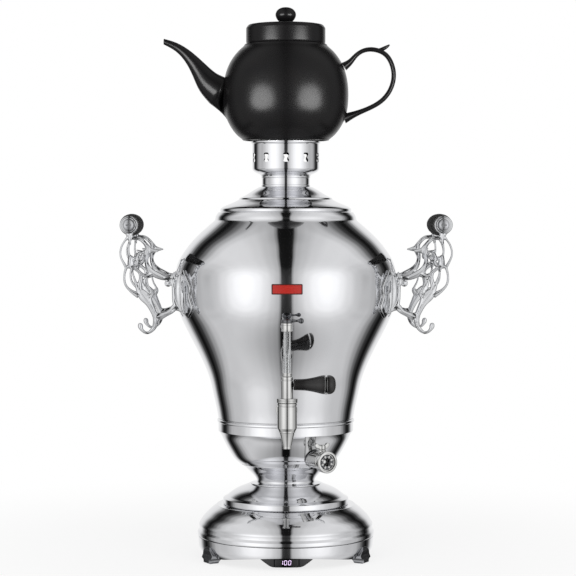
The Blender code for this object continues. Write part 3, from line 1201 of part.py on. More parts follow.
def control_board():
    """Make the control board with its posts and relay, standing on the cover."""
    slab_level = COVER_TOP + FIT + BOARD_POST_HEIGHT
    place = (0.0, -BOARD_SETBACK, slab_level)
    piece = block("control_board", BOARD_LENGTH, BOARD_WIDTH, BOARD_THICKNESS, place)
    for side in (-1, 1):
        for row in (-1, 1):
            post = rod("post", BOARD_POST_RADIUS, COVER_TOP + FIT, slab_level + BOARD_THICKNESS / 2)
            x = side * (BOARD_LENGTH / 2 - 2 * BOARD_POST_RADIUS)
            y = row * (BOARD_WIDTH / 2 - 2 * BOARD_POST_RADIUS) - BOARD_SETBACK
            join(piece, shift(post, move=(x, y, 0.0)))
    relay = block("relay", RELAY_SIZE, RELAY_SIZE, RELAY_SIZE + BOARD_THICKNESS / 2,
                  (BOARD_LENGTH / 4, -BOARD_SETBACK, slab_level + BOARD_THICKNESS / 2))
    return join(piece, relay)


def cable_gland():
    """Turn the grommet through the back of the skirt, where the supply cable would enter."""
    outer = share_points(SKIRT_SHARES, SKIRT_RADIUS, SKIRT_CLEARANCE, SKIRT_HEIGHT)
    wall = level_radius(outer, CABLE_LEVEL)
    outside = SKIRT_RADIUS + FIT
    loop = [(CABLE_BORE, wall - CABLE_GLAND_DEPTH), (CABLE_GLAND_RADIUS, wall - CABLE_GLAND_DEPTH),
            (CABLE_GLAND_RADIUS, outside), (CABLE_FLANGE_RADIUS, outside),
            (CABLE_FLANGE_RADIUS, outside + CABLE_FLANGE / 2), (CABLE_GLAND_RADIUS, outside + CABLE_FLANGE),
            (CABLE_BORE, outside + CABLE_FLANGE)]
    return on_cable(turned("cable_gland", loop, SMALL_STEPS))


def on_cable(piece):
    """Lay a piece turned about Z along the cable gland, away from the column axis."""
    return shift(piece, towards_front(math.radians(CABLE_ANGLE)), (0.0, 0.0, CABLE_LEVEL))


def clamp_nut():
    """Make the nut that draws the dish, cap and neck up against the bowl."""
    top = DISH_TOP - STEEL_WALL - FIT
    return hex_nut("clamp_nut", CLAMP_NUT_RADIUS, CLAMP_RADIUS, top - CLAMP_NUT_HEIGHT, top)


def heater_seal():
    """Mould the washer between the heater flange and the bowl's floor."""
    foot = BOWL_FOOT + STEEL_WALL + FIT
    edge = HEATER_FLANGE_RADIUS - STEEL_WALL
    loop = [(CLAMP_RADIUS + FIT, foot), (edge, foot), (edge, foot + SEAL_THICKNESS),
            (CLAMP_RADIUS + FIT, foot + SEAL_THICKNESS)]
    return turned("heater_seal", loop, ROUND_STEPS)


def heater_flange():
    """Turn the heater's flange with the hollow clamp tube below it."""
    low = DISH_TOP - STEEL_WALL - FIT - CLAMP_NUT_HEIGHT - CLAMP_TAIL
    inside = CLAMP_RADIUS - CLAMP_WALL
    loop = [(inside, low), (CLAMP_RADIUS, low), (CLAMP_RADIUS, HEATER_FLANGE_FOOT),
            (HEATER_FLANGE_RADIUS, HEATER_FLANGE_FOOT), (HEATER_FLANGE_RADIUS, HEATER_FLANGE_TOP),
            (0.0, HEATER_FLANGE_TOP), (0.0, HEATER_FLANGE_FOOT), (inside, HEATER_FLANGE_FOOT)]
    piece = turned("heater_flange", loop, ROUND_STEPS)
    below = HEATER_FLANGE_FOOT - OVERRUN
    above = HEATER_FLANGE_TOP + OVERRUN
    for side in (-1, 1):
        hole = rod("hole", HEATER_TUBE_RADIUS + FIT, below, above)
        cut(piece, shift(hole, move=(side * HEATER_LEG_SPACING, 0.0, 0.0)))
    hole = rod("hole", PROBE_RADIUS + FIT, below, above)
    return cut(piece, shift(hole, move=(0.0, HEATER_LEG_SPACING, 0.0)))


def heater_element():
    """Bend the heating tube into one loop above the bowl's floor."""
    level = BOWL_FOOT + HEATER_LOOP_RISE
    low = HEATER_FLANGE_FOOT - HEATER_LEG_TAIL
    gap = HEATER_LEG_SPACING
    leg = [(-gap, 0.0, low), (-gap, 0.0, HEATER_FLANGE_TOP), (-gap, 0.0, level - gap),
           (-gap, -gap, level), (-gap, -3 * gap, level)]
    start = math.asin(gap / HEATER_LOOP_RADIUS) * 2
    ring = []
    for index in range(HEATER_LOOP_POINTS):
        angle = -QUARTER_TURN - start - (2 * HALF_TURN - 2 * start) * index / (HEATER_LOOP_POINTS - 1)
        ring.append((HEATER_LOOP_RADIUS * math.cos(angle), HEATER_LOOP_RADIUS * math.sin(angle), level))
    back = [(-x, y, z) for x, y, z in reversed(leg)]
    return tube_along("heater_element", HEATER_TUBE_RADIUS, leg + ring + back)


def temperature_probe():
    """Make the probe that stands beside the heater's legs."""
    piece = rod("temperature_probe", PROBE_RADIUS, HEATER_FLANGE_FOOT - HEATER_LEG_TAIL,
                HEATER_FLANGE_TOP + PROBE_HEIGHT, ROUND_STEPS)
    return shift(piece, move=(0.0, HEATER_LEG_SPACING, 0.0))


def heater_leads():
    """Lay the sleeved leads from the heater down the clamp tube to the board."""
    top = HEATER_FLANGE_FOOT - FIT
    board = COVER_TOP + FIT + BOARD_POST_HEIGHT + BOARD_THICKNESS + FIT + LEAD_RADIUS
    low = DISH_TOP - STEEL_WALL - CLAMP_NUT_HEIGHT - 2 * CLAMP_TAIL
    points = [(0.0, 0.0, top), (0.0, 0.0, (top + low) / 2), (0.0, 0.0, low),
              (0.0, -BOARD_SETBACK / 4, (low + board) / 2), (0.0, -BOARD_SETBACK * 2 / 3, board),
              (0.0, -BOARD_SETBACK, board)]
    return tube_along("heater_leads", LEAD_RADIUS, smooth(points))


# Finishes


def principled(name, color, roughness, metallic=0.0, transmission=0.0):
    """Return a named Principled material."""
    material = bpy.data.materials.new(name)
    material.use_nodes = True
    shader = material.node_tree.nodes["Principled BSDF"]
    shader.inputs["Base Color"].default_value = (*color, 1.0)
    shader.inputs["Roughness"].default_value = roughness
    shader.inputs["Metallic"].default_value = metallic
    shader.inputs["Transmission Weight"].default_value = transmission
    material.diffuse_color = (*color, 1.0)
    return material


def mirror_steel(name):
    """Polished stainless steel."""
    return principled(name, (0.80, 0.80, 0.81), 0.05, 1.0)


def plain_steel(name):
    """Brushed steel of hidden fittings."""
    return principled(name, (0.55, 0.55, 0.56), 0.35, 1.0)


def cast_chrome(name):
    """Chromed casting."""
    return principled(name, (0.74, 0.74, 0.75), 0.10, 1.0)


def nickel_brass(name):
    """Nickel-plated brass."""
    return principled(name, (0.70, 0.69, 0.66), 0.15, 1.0)


def black_glaze(name):
    """Glossy black glazed stoneware."""
    return principled(name, (0.012, 0.012, 0.013), 0.08)


def black_phenolic(name):
    """Turned black phenolic grip."""
    return principled(name, (0.015, 0.014, 0.014), 0.25)


def black_plastic(name):
    """Glossy black moulded plastic."""
    return principled(name, (0.010, 0.010, 0.012), 0.12)


def clear_glass(name):
    """Clear gauge glass."""
    return principled(name, (0.90, 0.93, 0.92), 0.02, 0.0, 1.0)


def silicone(name):
    """Grey silicone washer."""
    return principled(name, (0.30, 0.30, 0.31), 0.6)


def red_enamel(name):
    """Red enamelled plate."""
    return principled(name, (0.42, 0.03, 0.02), 0.3)


def green_board(name):
    """Green circuit board."""
    return principled(name, (0.03, 0.16, 0.07), 0.5)


# Assembly


def empty(name, parent=None, place=(0.0, 0.0, 0.0)):
    """Make an empty at a place under its parent."""
    point = bpy.data.objects.new(name, None)
    point.empty_display_size = GRIP_RADIUS
    bpy.context.collection.objects.link(point)
    point.parent = parent
    point.location = place
    return point


def seat(finish, pivot, *pieces):
    """Give pieces their own finish and hang them on a pivot, which stands where they turn."""
    place = Vector((0.0, 0.0, 0.0))
    step = pivot
    while step.parent is not None:
        place += step.location
        step = step.parent
    for piece in pieces:
        piece.data.materials.clear()
        piece.data.materials.append(finish(piece.name + "_finish"))
        piece.data.shade_smooth()
        piece.data.set_sharp_from_angle(angle=math.radians(30))
        piece.data.transform(Matrix.Translation(-place))
        piece.parent = pivot


def build_fixed(column):
    """Build what stands still: the base, the tank, the handles and the fixed fittings."""
    seat(mirror_steel, column, base_skirt(), base_dish(), pedestal_cap(), neck_cone(), vessel_bowl())
    seat(mirror_steel, column, vessel_body())
    seat(cast_chrome, column, *[foot(name, degrees) for name, degrees in FOOT_ANGLES.items()])
    seat(plain_steel, column, bottom_cover(), clamp_nut(), heater_flange(), heater_element())
    seat(plain_steel, column, temperature_probe())
    seat(silicone, column, heater_seal(), drain_seal(),
         vessel_seal("tap_seal", TAP_SHANK_FLANGE_RADIUS, TAP_SHANK_RADIUS, TAP_PORT_LEVEL),
         vessel_seal("gauge_seal", GAUGE_NUT_RADIUS, GAUGE_SHANK_RADIUS, GAUGE_LEVEL), heater_leads())
    seat(black_plastic, column, control_panel(), display_window(), cable_gland())
    seat(green_board, column, control_board())
    seat(red_enamel, column, badge_plate())
    for side, word in ((-1, "left"), (1, "right")):
        for row, place in ((-1, "front"), (1, "rear")):
            seat(cast_chrome, column, handle_casting("handle_casting_" + place + "_" + word, side, row))
        seat(black_phenolic, column, grip("grip_" + word, side))
        seat(plain_steel, column, grip_tie("grip_tie_" + word, side))
    seat(mirror_steel, column, tap_body(), tap_bonnet(), gauge_gland(), gauge_head())
    seat(clear_glass, column, gauge_glass())
    seat(nickel_brass, column, drain_body(), drain_retainer(), drain_nut(),
         vessel_nut("tap_nut", TAP_NUT_RADIUS, TAP_SHANK_RADIUS, TAP_NUT_HEIGHT, TAP_PORT_LEVEL),
         vessel_nut("gauge_nut", GAUGE_NUT_RADIUS, GAUGE_SHANK_RADIUS, GAUGE_NUT_HEIGHT, GAUGE_LEVEL))


def build_moving(column):
    """Build what lifts off or turns, each on an empty on its own joint axis."""
    lid_point = empty("lid_lift_axis", column, (0.0, 0.0, LID_FOOT))
    seat(mirror_steel, lid_point, lid(), steam_neck())
    crown_point = empty("crown_lift_axis", lid_point, (0.0, 0.0, CROWN_FOOT - LID_FOOT))
    seat(mirror_steel, crown_point, crown())
    pot_point = empty("teapot_lift_axis", crown_point, (0.0, 0.0, POT_FOOT - CROWN_FOOT))
    seat(black_glaze, pot_point, teapot_body(), teapot_spout())
    pot_lid_point = empty("teapot_lid_lift_axis", pot_point, (0.0, 0.0, POT_LID_FOOT - POT_FOOT))
    seat(black_glaze, pot_lid_point, teapot_lid())
    tap_point = empty("tap_turn_axis", column, (0.0, -TAP_REACH, LEVER_LEVEL))
    seat(nickel_brass, tap_point, tap_plug(), lever_rod(), lever_ring())
    seat(black_phenolic, tap_point, lever_grip(), lever_end())
    cock_point = empty("gauge_cock_axis", column, (0.0, -TAP_REACH, COCK_FOOT))
    seat(nickel_brass, cock_point, gauge_cock())
    drain_axis = empty("drain_turn_axis", column, drain_point())
    seat(nickel_brass, drain_axis, drain_ball(), drain_handle())


def main():
    """Clear the scene and build the samovar."""
    for leftover in list(bpy.data.objects):
        bpy.data.objects.remove(leftover)
    column = empty("column_axis", None, (0.0, AXIS_Y, 0.0))
    build_fixed(column)
    build_moving(column)


main()
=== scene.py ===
"""Looks of an electric samovar with its teapot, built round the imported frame.

Metres, +Z up, the front towards -Y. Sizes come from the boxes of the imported
solids, so each piece stands where the solid that it replaces stands.
"""

import json
import logging
import math
from dataclasses import dataclass, field
from enum import Enum
from typing import Callable, Dict, List, Optional, Sequence, Tuple, Union

import bpy
from mathutils import Matrix, Vector

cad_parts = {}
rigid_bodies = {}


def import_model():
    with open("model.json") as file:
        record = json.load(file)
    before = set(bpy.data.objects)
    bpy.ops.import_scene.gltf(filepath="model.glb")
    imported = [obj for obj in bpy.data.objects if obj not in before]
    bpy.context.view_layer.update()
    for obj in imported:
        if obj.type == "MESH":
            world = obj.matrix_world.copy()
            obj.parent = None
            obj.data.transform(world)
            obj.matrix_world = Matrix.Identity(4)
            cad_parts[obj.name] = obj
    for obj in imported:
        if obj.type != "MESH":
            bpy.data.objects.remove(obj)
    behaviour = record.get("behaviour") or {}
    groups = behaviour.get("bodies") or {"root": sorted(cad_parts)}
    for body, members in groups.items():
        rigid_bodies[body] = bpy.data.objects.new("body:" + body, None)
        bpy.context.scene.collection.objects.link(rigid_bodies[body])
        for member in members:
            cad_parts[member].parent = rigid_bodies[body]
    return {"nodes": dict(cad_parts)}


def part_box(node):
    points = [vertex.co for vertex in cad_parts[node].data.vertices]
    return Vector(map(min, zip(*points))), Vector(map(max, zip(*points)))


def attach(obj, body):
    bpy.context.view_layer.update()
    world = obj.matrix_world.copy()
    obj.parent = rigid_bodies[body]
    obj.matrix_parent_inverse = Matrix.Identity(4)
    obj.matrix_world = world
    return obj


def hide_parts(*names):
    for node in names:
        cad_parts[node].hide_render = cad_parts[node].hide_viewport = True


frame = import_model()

LOG = logging.getLogger("samovar")
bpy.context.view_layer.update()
MM = 0.001
TINY = 1e-6
FULL_TURN = 2 * math.pi
RIGHT = Vector((1.0, 0.0, 0.0)).freeze()
BACK = Vector((0.0, 1.0, 0.0)).freeze()
FRONT = Vector((0.0, -1.0, 0.0)).freeze()
UP = Vector((0.0, 0.0, 1.0)).freeze()
Flat = Tuple[float, float]
Corner = Tuple[float, float, float]


class Steps(Enum):
    """How many sides a turned piece gets, by its size."""

    LARGE = 160
    MIDDLE = 96
    SMALL = 48


# Shaping


def deselect() -> None:
    """Deselect every object."""
    bpy.ops.object.select_all(action="DESELECT")


def take(piece: bpy.types.Object) -> bpy.types.Object:
    """Make a piece the only selected and the active one.

    Args:
        piece: The object to work on.
    Returns:
        The same object.
    """
    deselect()
    piece.select_set(True)
    bpy.context.view_layer.objects.active = piece
    return piece


def settle(piece: bpy.types.Object) -> bpy.types.Object:
    """Move a piece's place into its mesh, so that its object sits at the origin.

    Args:
        piece: The object to settle.
    Returns:
        The same object.
    """
    take(piece)
    bpy.ops.object.transform_apply(location=True, rotation=True, scale=True)
    return piece


def apply_modifier(piece: bpy.types.Object, kind: str, **settings: object) -> bpy.types.Object:
    """Add a modifier with its settings and apply it.

    Args:
        piece: The object to change.
        kind: The modifier's type.
        settings: Values for the modifier's properties.
    Returns:
        The same object.
    """
    take(piece)
    step = piece.modifiers.new(kind, kind)
    for key, value in settings.items():
        setattr(step, key, value)
    bpy.ops.object.modifier_apply(modifier=step.name)
    return piece


def combine(piece: bpy.types.Object, others: Sequence[bpy.types.Object], operation: str) -> bpy.types.Object:
    """Cut or join closed shapes, then delete them.

    Args:
        piece: The object to change.
        others: The shapes to work with.
        operation: DIFFERENCE, UNION or INTERSECT.
    Returns:
        The same object.
    """
    for other in others:
        apply_modifier(piece, "BOOLEAN", object=other, operation=operation, solver="EXACT")
        bpy.data.objects.remove(other)
    return piece


def clean(piece: bpy.types.Object) -> bpy.types.Object:
    """Merge doubled points and turn all faces outwards.

    Args:
        piece: The object to clean.
    Returns:
        The same object.
    """
    take(piece)
    bpy.ops.object.mode_set(mode="EDIT")
    bpy.ops.mesh.select_all(action="SELECT")
    bpy.ops.mesh.remove_doubles(threshold=TINY)
    bpy.ops.mesh.normals_make_consistent(inside=False)
    bpy.ops.object.mode_set(mode="OBJECT")
    return piece


def soften(piece: bpy.types.Object, degrees: float = 32.0) -> bpy.types.Object:
    """Shade a piece smooth, but for edges sharper than an angle.

    Args:
        piece: The object to shade.
        degrees: The angle past which an edge stays sharp.
    Returns:
        The same object.
    """
    take(piece)
    bpy.ops.object.shade_smooth_by_angle(angle=math.radians(degrees))
    return piece


def fair(points: Sequence[Tuple[float, ...]], per_span: int = 8) -> List[Tuple[float, ...]]:
    """Draw a curve of even curvature change through points, as a natural cubic spline.

    Args:
        points: The points that the curve passes.
        per_span: How many steps each span gets.
    Returns:
        The points of the curve.
    """
    count = len(points)
    knots = [0.0]
    for first, second in zip(points, points[1:]):
        knots.append(knots[-1] + math.dist(first, second))
    columns = []
    for axis in range(len(points[0])):
        values = [point[axis] for point in points]
        slopes = [0.0] * count
        shares = [0.0] * count
        for i in range(1, count - 1):
            low, high = knots[i] - knots[i - 1], knots[i + 1] - knots[i]
            pull = 6 * ((values[i + 1] - values[i]) / high - (values[i] - values[i - 1]) / low)
            weight = 2 * (low + high) - low * shares[i - 1]
            shares[i] = high / weight
            slopes[i] = (pull - low * slopes[i - 1]) / weight
        for i in range(count - 2, 0, -1):
            slopes[i] -= shares[i] * slopes[i + 1]
        columns.append((values, slopes))
    result = []
    for i in range(count - 1):
        span = knots[i + 1] - knots[i]
        for step in range(per_span + (i == count - 2)):
            b = step / per_span
            a = 1 - b
            result.append(tuple(
                a * values[i] + b * values[i + 1]
                + ((a ** 3 - a) * bend[i] + (b ** 3 - b) * bend[i + 1]) * span * span / 6
                for values, bend in columns))
    return result


def rounded(corners: Sequence[Corner], closed: bool = False, steps: int = 5) -> List[Flat]:
    """Round the corners of an outline with arcs.

    Args:
        corners: Points as (across, along, radius), a radius of 0 for a sharp one.
        closed: Whether the last point joins the first.
        steps: How many steps each arc gets.
    Returns:
        The points of the rounded outline.
    """
    result: List[Flat] = []
    count = len(corners)
    for i, (x, y, radius) in enumerate(corners):
        here = Vector((x, y))
        if radius <= 0 or (not closed and i in (0, count - 1)):
            result.append((x, y))
            continue
        back = Vector(corners[i - 1][:2]) - here
        ahead = Vector(corners[(i + 1) % count][:2]) - here
        turn = back.angle(ahead)
        if turn < 0.02 or turn > math.pi - 0.02:
            result.append((x, y))
            continue
        reach = min(radius / math.tan(turn / 2), back.length * 0.49, ahead.length * 0.49)
        radius = reach * math.tan(turn / 2)
        middle = here + (back.normalized() + ahead.normalized()).normalized() * (radius / math.sin(turn / 2))
        start = here + back.normalized() * reach - middle
        end = here + ahead.normalized() * reach - middle
        swing = start.angle_signed(end)
        for step in range(steps + 1):
            angle = -swing * step / steps
            spot = middle + Matrix.Rotation(angle, 2) @ start
            result.append((spot.x, spot.y))
    return result


def offset(points: Sequence[Flat], distance: float) -> List[Flat]:
    """Move an upward outline sideways, outwards for a positive distance.

    Args:
        points: The outline's points.
        distance: How far to move.
    Returns:
        The moved points.
    """
    moved = []
    for i, point in enumerate(points):
        ahead = Vector(points[min(i + 1, len(points) - 1)])
        behind = Vector(points[max(i - 1, 0)])
        along = (ahead - behind).normalized()
        moved.append((point[0] + along.y * distance, point[1] - along.x * distance))
    return moved


def scaled(shares: Sequence[Flat], radius: float, foot: float, height: float) -> List[Flat]:
    """Turn shares of a radius and a height into (radius, level) points."""
    return [(across * radius, foot + rise * height) for across, rise in shares]


@dataclass(frozen=True)
class Axis:
    """A line to turn a piece about.

    Args:
        place: A point on the line.
        along: The line's direction.
        across: The direction of the outline's first coordinate.
    """

    place: Vector
    along: Vector = UP
    across: Vector = RIGHT

    def around(self, move: Matrix) -> Matrix:
        """Return a turn or a mirroring about the place."""
        return Matrix.Translation(self.place) @ move @ Matrix.Translation(-self.place)

    def spot(self, point: Flat) -> Vector:
        """Return the place of an (across, along) point."""
        return self.place + self.across * point[0] + self.along * point[1]


def turned(name: str, outline: Sequence[Flat], axis: Axis, steps: Steps = Steps.MIDDLE,
           closed: bool = True, smooth_degrees: float = 32.0) -> bpy.types.Object:
    """Draw an outline by extruding one point, then spin it about an axis.

    Args:
        name: The piece's name.
        outline: (across, along) points, the upward side outside.
        axis: The line to spin about.
        steps: How many sides the piece gets.
        closed: Whether the outline's last point joins its first.
        smooth_degrees: The angle past which an edge stays sharp.
    Returns:
        The finished piece.
    """
    spots = [axis.spot(point) for point in outline]
    if closed:
        spots.append(spots[0])
    deselect()
    bpy.ops.mesh.primitive_plane_add(size=MM, location=spots[0])
    piece = bpy.context.object
    piece.name = name
    settle(piece)
    bpy.ops.object.mode_set(mode="EDIT")
    bpy.ops.mesh.select_all(action="SELECT")
    bpy.ops.mesh.merge(type="CENTER")
    for before, after in zip(spots, spots[1:]):
        bpy.ops.mesh.extrude_region_move(TRANSFORM_OT_translate={"value": after - before})
    bpy.ops.mesh.select_all(action="SELECT")
    bpy.ops.mesh.spin(steps=steps.value, angle=FULL_TURN, center=axis.place, axis=axis.along)
    bpy.ops.object.mode_set(mode="OBJECT")
    return soften(clean(piece), smooth_degrees)


def rod(name: str, axis: Axis, radius: float, near: float, far: float, steps: Steps = Steps.SMALL
        ) -> bpy.types.Object:
    """Turn a plain round rod, mostly to bore with.

    Args:
        name: The object's name.
        axis: Its axis.
        radius: Its radius.
        near: Where it starts along the axis.
        far: Where it ends.
        steps: How many sides it gets.
    Returns:
        The closed rod.
    """
    return turned(name, [(0.0, near), (radius, near), (radius, far), (0.0, far)], axis, steps)


def ring_loft(name: str, rings: Sequence[Sequence[Vector]], capped: bool = True) -> bpy.types.Object:
    """Bridge rings of points into a closed skin.

    Args:
        name: The piece's name.
        rings: Rings with the same number of points.
        capped: Whether the end rings are filled.
    Returns:
        The finished piece.
    """
    count = len(rings[0])
    spots = [tuple(spot) for ring in rings for spot in ring]
    faces: List[Tuple[int, ...]] = []
    for row in range(len(rings) - 1):
        for i in range(count):
            j = (i + 1) % count
            faces.append((row * count + i, row * count + j, (row + 1) * count + j, (row + 1) * count + i))
    if capped:
        faces.append(tuple(reversed(range(count))))
        faces.append(tuple(range((len(rings) - 1) * count, len(rings) * count)))
    mesh = bpy.data.meshes.new(name)
    mesh.from_pydata(spots, [], faces)
    piece = bpy.data.objects.new(name, mesh)
    bpy.context.scene.collection.objects.link(piece)
    return clean(piece)


def slab(name: str, outline: Sequence[Flat], axis: Axis, low: float, high: float) -> bpy.types.Object:
    """Fill a flat outline and extrude it along an axis.

    Args:
        name: The piece's name.
        outline: (across, up) points; up is square to both of the axis's directions.
        axis: Gives the place, the direction to extrude along and the across direction.
        low: Where the slab starts along the axis.
        high: Where it ends.
    Returns:
        The closed slab.
    """
    up = axis.across.cross(axis.along) * -1
    rings = [[axis.place + axis.across * x + up * y + axis.along * level for x, y in outline]
             for level in (low, high)]
    return ring_loft(name, rings)


def ring(middle: Vector, along: Vector, side: Vector, half_wide: float, half_high: float,
         sides: int) -> List[Vector]:
    """Return an ellipse of points square to a direction.

    Args:
        middle: The ellipse's middle.
        along: The direction that it faces.
        side: The direction of its width, square to along.
        half_wide: Half its width.
        half_high: Half its height.
        sides: How many points it has.
    Returns:
        The points.
    """
    rise = along.cross(side).normalized()
    turns = [FULL_TURN * i / sides for i in range(sides)]
    return [middle + rise * (half_high * math.cos(turn)) + side * (half_wide * math.sin(turn)) for turn in turns]


def directions(spots: Sequence[Vector]) -> List[Vector]:
    """Return the direction of a line at each of its points."""
    last = len(spots) - 1
    return [(spots[min(i + 1, last)] - spots[max(i - 1, 0)]).normalized() for i in range(last + 1)]


def joined(name: str, pieces: Sequence[bpy.types.Object]) -> bpy.types.Object:
    """Join separate pieces into one object.

    Args:
        name: The result's name.
        pieces: The objects to join.
    Returns:
        The joined object.
    """
    deselect()
    for piece in pieces:
        piece.select_set(True)
    bpy.context.view_layer.objects.active = pieces[0]
    bpy.ops.object.join()
    pieces[0].name = name
    return pieces[0]


def copied(piece: bpy.types.Object, name: str, move: Matrix) -> bpy.types.Object:
    """Copy a piece, with a mesh of its own that is moved.

    Args:
        piece: The piece to copy.
        name: The copy's name.
        move: How its mesh is moved.
    Returns:
        The copy.
    """
    take(piece)
    bpy.ops.object.duplicate()
    copy = bpy.context.object
    copy.name = name
    copy.data.transform(move)
    return copy


def fit(piece: bpy.types.Object, body: str, slot: str, *nodes: str) -> bpy.types.Object:
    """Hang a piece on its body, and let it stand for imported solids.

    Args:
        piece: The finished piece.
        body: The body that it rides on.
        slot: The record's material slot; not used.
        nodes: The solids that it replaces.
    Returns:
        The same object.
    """
    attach(piece, body)
    if nodes:
        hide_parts(*nodes)
    LOG.info("%s rides on %s", piece.name, body)
    return piece


# Finishes


def from_hex(code: str) -> Tuple[float, float, float, float]:
    """Turn an sRGB hex colour to linear RGBA.

    Args:
        code: Six hex digits.
    Returns:
        Linear red, green, blue and 1.
    """
    parts = [int(code[i:i + 2], 16) / 255 for i in (0, 2, 4)]
    linear = [c / 12.92 if c <= 0.04045 else ((c + 0.055) / 1.055) ** 2.4 for c in parts]
    return (linear[0], linear[1], linear[2], 1.0)


def add(tree: bpy.types.NodeTree, kind: str, settings: Optional[Dict[Union[str, int], object]] = None,
        links: Optional[Dict[Union[str, int], bpy.types.NodeSocket]] = None) -> bpy.types.Node:
    """Add a node with its settings and its links.

    Args:
        tree: The node tree.
        kind: The node's type.
        settings: Property values by name, or input values by socket name or number.
        links: Outputs to link in, by input socket name or number.
    Returns:
        The new node.
    """
    node = tree.nodes.new(kind)
    for key, value in (settings or {}).items():
        if isinstance(key, int) or key in node.inputs:
            node.inputs[key].default_value = value
        else:
            setattr(node, key, value)
    for key, socket in (links or {}).items():
        tree.links.new(socket, node.inputs[key])
    return node


def start(name: str) -> Tuple[bpy.types.Material, bpy.types.NodeTree, bpy.types.Node]:
    """Make a material and return it with its tree and shader."""
    material = bpy.data.materials.new(name)
    material.use_nodes = True
    return material, material.node_tree, material.node_tree.nodes["Principled BSDF"]


def mottle(tree: bpy.types.NodeTree, pattern: bpy.types.NodeSocket, colours: Sequence[str],
           *targets: bpy.types.NodeSocket) -> None:
    """Colour a surface in two shades that a pattern blends.

    Args:
        tree: The material's nodes.
        pattern: The pattern's socket.
        colours: The two shades as sRGB hex.
        targets: The sockets that take the colour.
    """
    first, second = (from_hex(code) for code in colours)
    blend = add(tree, "ShaderNodeMix", {"data_type": "RGBA", 6: first, 7: second}, {0: pattern})
    for target in targets:
        tree.links.new(blend.outputs[2], target)


@dataclass(frozen=True)
class BuffedSteel:
    """Stainless steel sheet, spun on a lathe and buffed to a mirror.

    The buffing leaves fine rings about the axis and cloudy patches that are a
    little less sharp; the rings are drawn coarser than real so that they show.
    """

    colour: str = "E3E3E5"
    cloudy: str = "D9DADD"
    roughness: float = 0.035
    cloud_roughness: float = 0.075
    ring_spacing: float = 1.2 * MM
    ring_depth: float = 0.002 * MM
    cloud_size: float = 60 * MM

    def make(self, name: str) -> bpy.types.Material:
        """Return the material."""
        material, tree, shader = start(name)
        spot = add(tree, "ShaderNodeTexCoord").outputs["Object"]
        cloud = add(tree, "ShaderNodeTexNoise", {"Scale": 1 / self.cloud_size, "Detail": 5.0, "Roughness": 0.6},
                    {"Vector": spot}).outputs["Fac"]
        mottle(tree, cloud, (self.colour, self.cloudy), shader.inputs["Base Color"])
        rough = add(tree, "ShaderNodeMapRange", {"From Min": 0.35, "From Max": 0.75, "To Min": self.roughness,
                                                 "To Max": self.cloud_roughness}, {"Value": cloud})
        tree.links.new(rough.outputs["Result"], shader.inputs["Roughness"])
        lines = add(tree, "ShaderNodeMapping", {"Scale": (2.0, 2.0, 1 / self.ring_spacing)}, {"Vector": spot})
        rings = add(tree, "ShaderNodeTexNoise", {"Scale": 1.0, "Detail": 2.0}, {"Vector": lines.outputs["Vector"]})
        bump = add(tree, "ShaderNodeBump", {"Strength": 0.6, "Distance": self.ring_depth},
                   {"Height": rings.outputs["Fac"]})
        tree.links.new(bump.outputs["Normal"], shader.inputs["Normal"])
        shader.inputs["Metallic"].default_value = 1.0
        return material


@dataclass(frozen=True)
class CastMetal:
    """Zinc casting, tumbled and chromed, or turned brass under nickel.

    The skin keeps a soft orange peel from the casting, and wide random patches are a shade darker.
    """

    colour: str = "DEDFE1"
    hollow: str = "85868A"
    roughness: float = 0.1
    peel_size: float = 3.0 * MM
    peel_depth: float = 0.015 * MM

    def make(self, name: str) -> bpy.types.Material:
        """Return the material."""
        material, tree, shader = start(name)
        spot = add(tree, "ShaderNodeTexCoord").outputs["Object"]
        peel = add(tree, "ShaderNodeTexNoise", {"Scale": 1 / self.peel_size, "Detail": 3.0},
                   {"Vector": spot}).outputs["Fac"]
        wide = add(tree, "ShaderNodeTexNoise", {"Scale": 1 / (8 * self.peel_size), "Detail": 4.0},
                   {"Vector": spot}).outputs["Fac"]
        worn = add(tree, "ShaderNodeMapRange", {"From Min": 0.3, "From Max": 0.75, "To Min": 0.0, "To Max": 0.35},
                   {"Value": wide})
        mottle(tree, worn.outputs["Result"], (self.colour, self.hollow), shader.inputs["Base Color"])
        rough = add(tree, "ShaderNodeMapRange", {"From Min": 0.3, "From Max": 0.8, "To Min": self.roughness,
                                                 "To Max": self.roughness * 1.8}, {"Value": wide})
        tree.links.new(rough.outputs["Result"], shader.inputs["Roughness"])
        bump = add(tree, "ShaderNodeBump", {"Strength": 0.5, "Distance": self.peel_depth}, {"Height": peel})
        tree.links.new(bump.outputs["Normal"], shader.inputs["Normal"])
        shader.inputs["Metallic"].default_value = 1.0
        return material


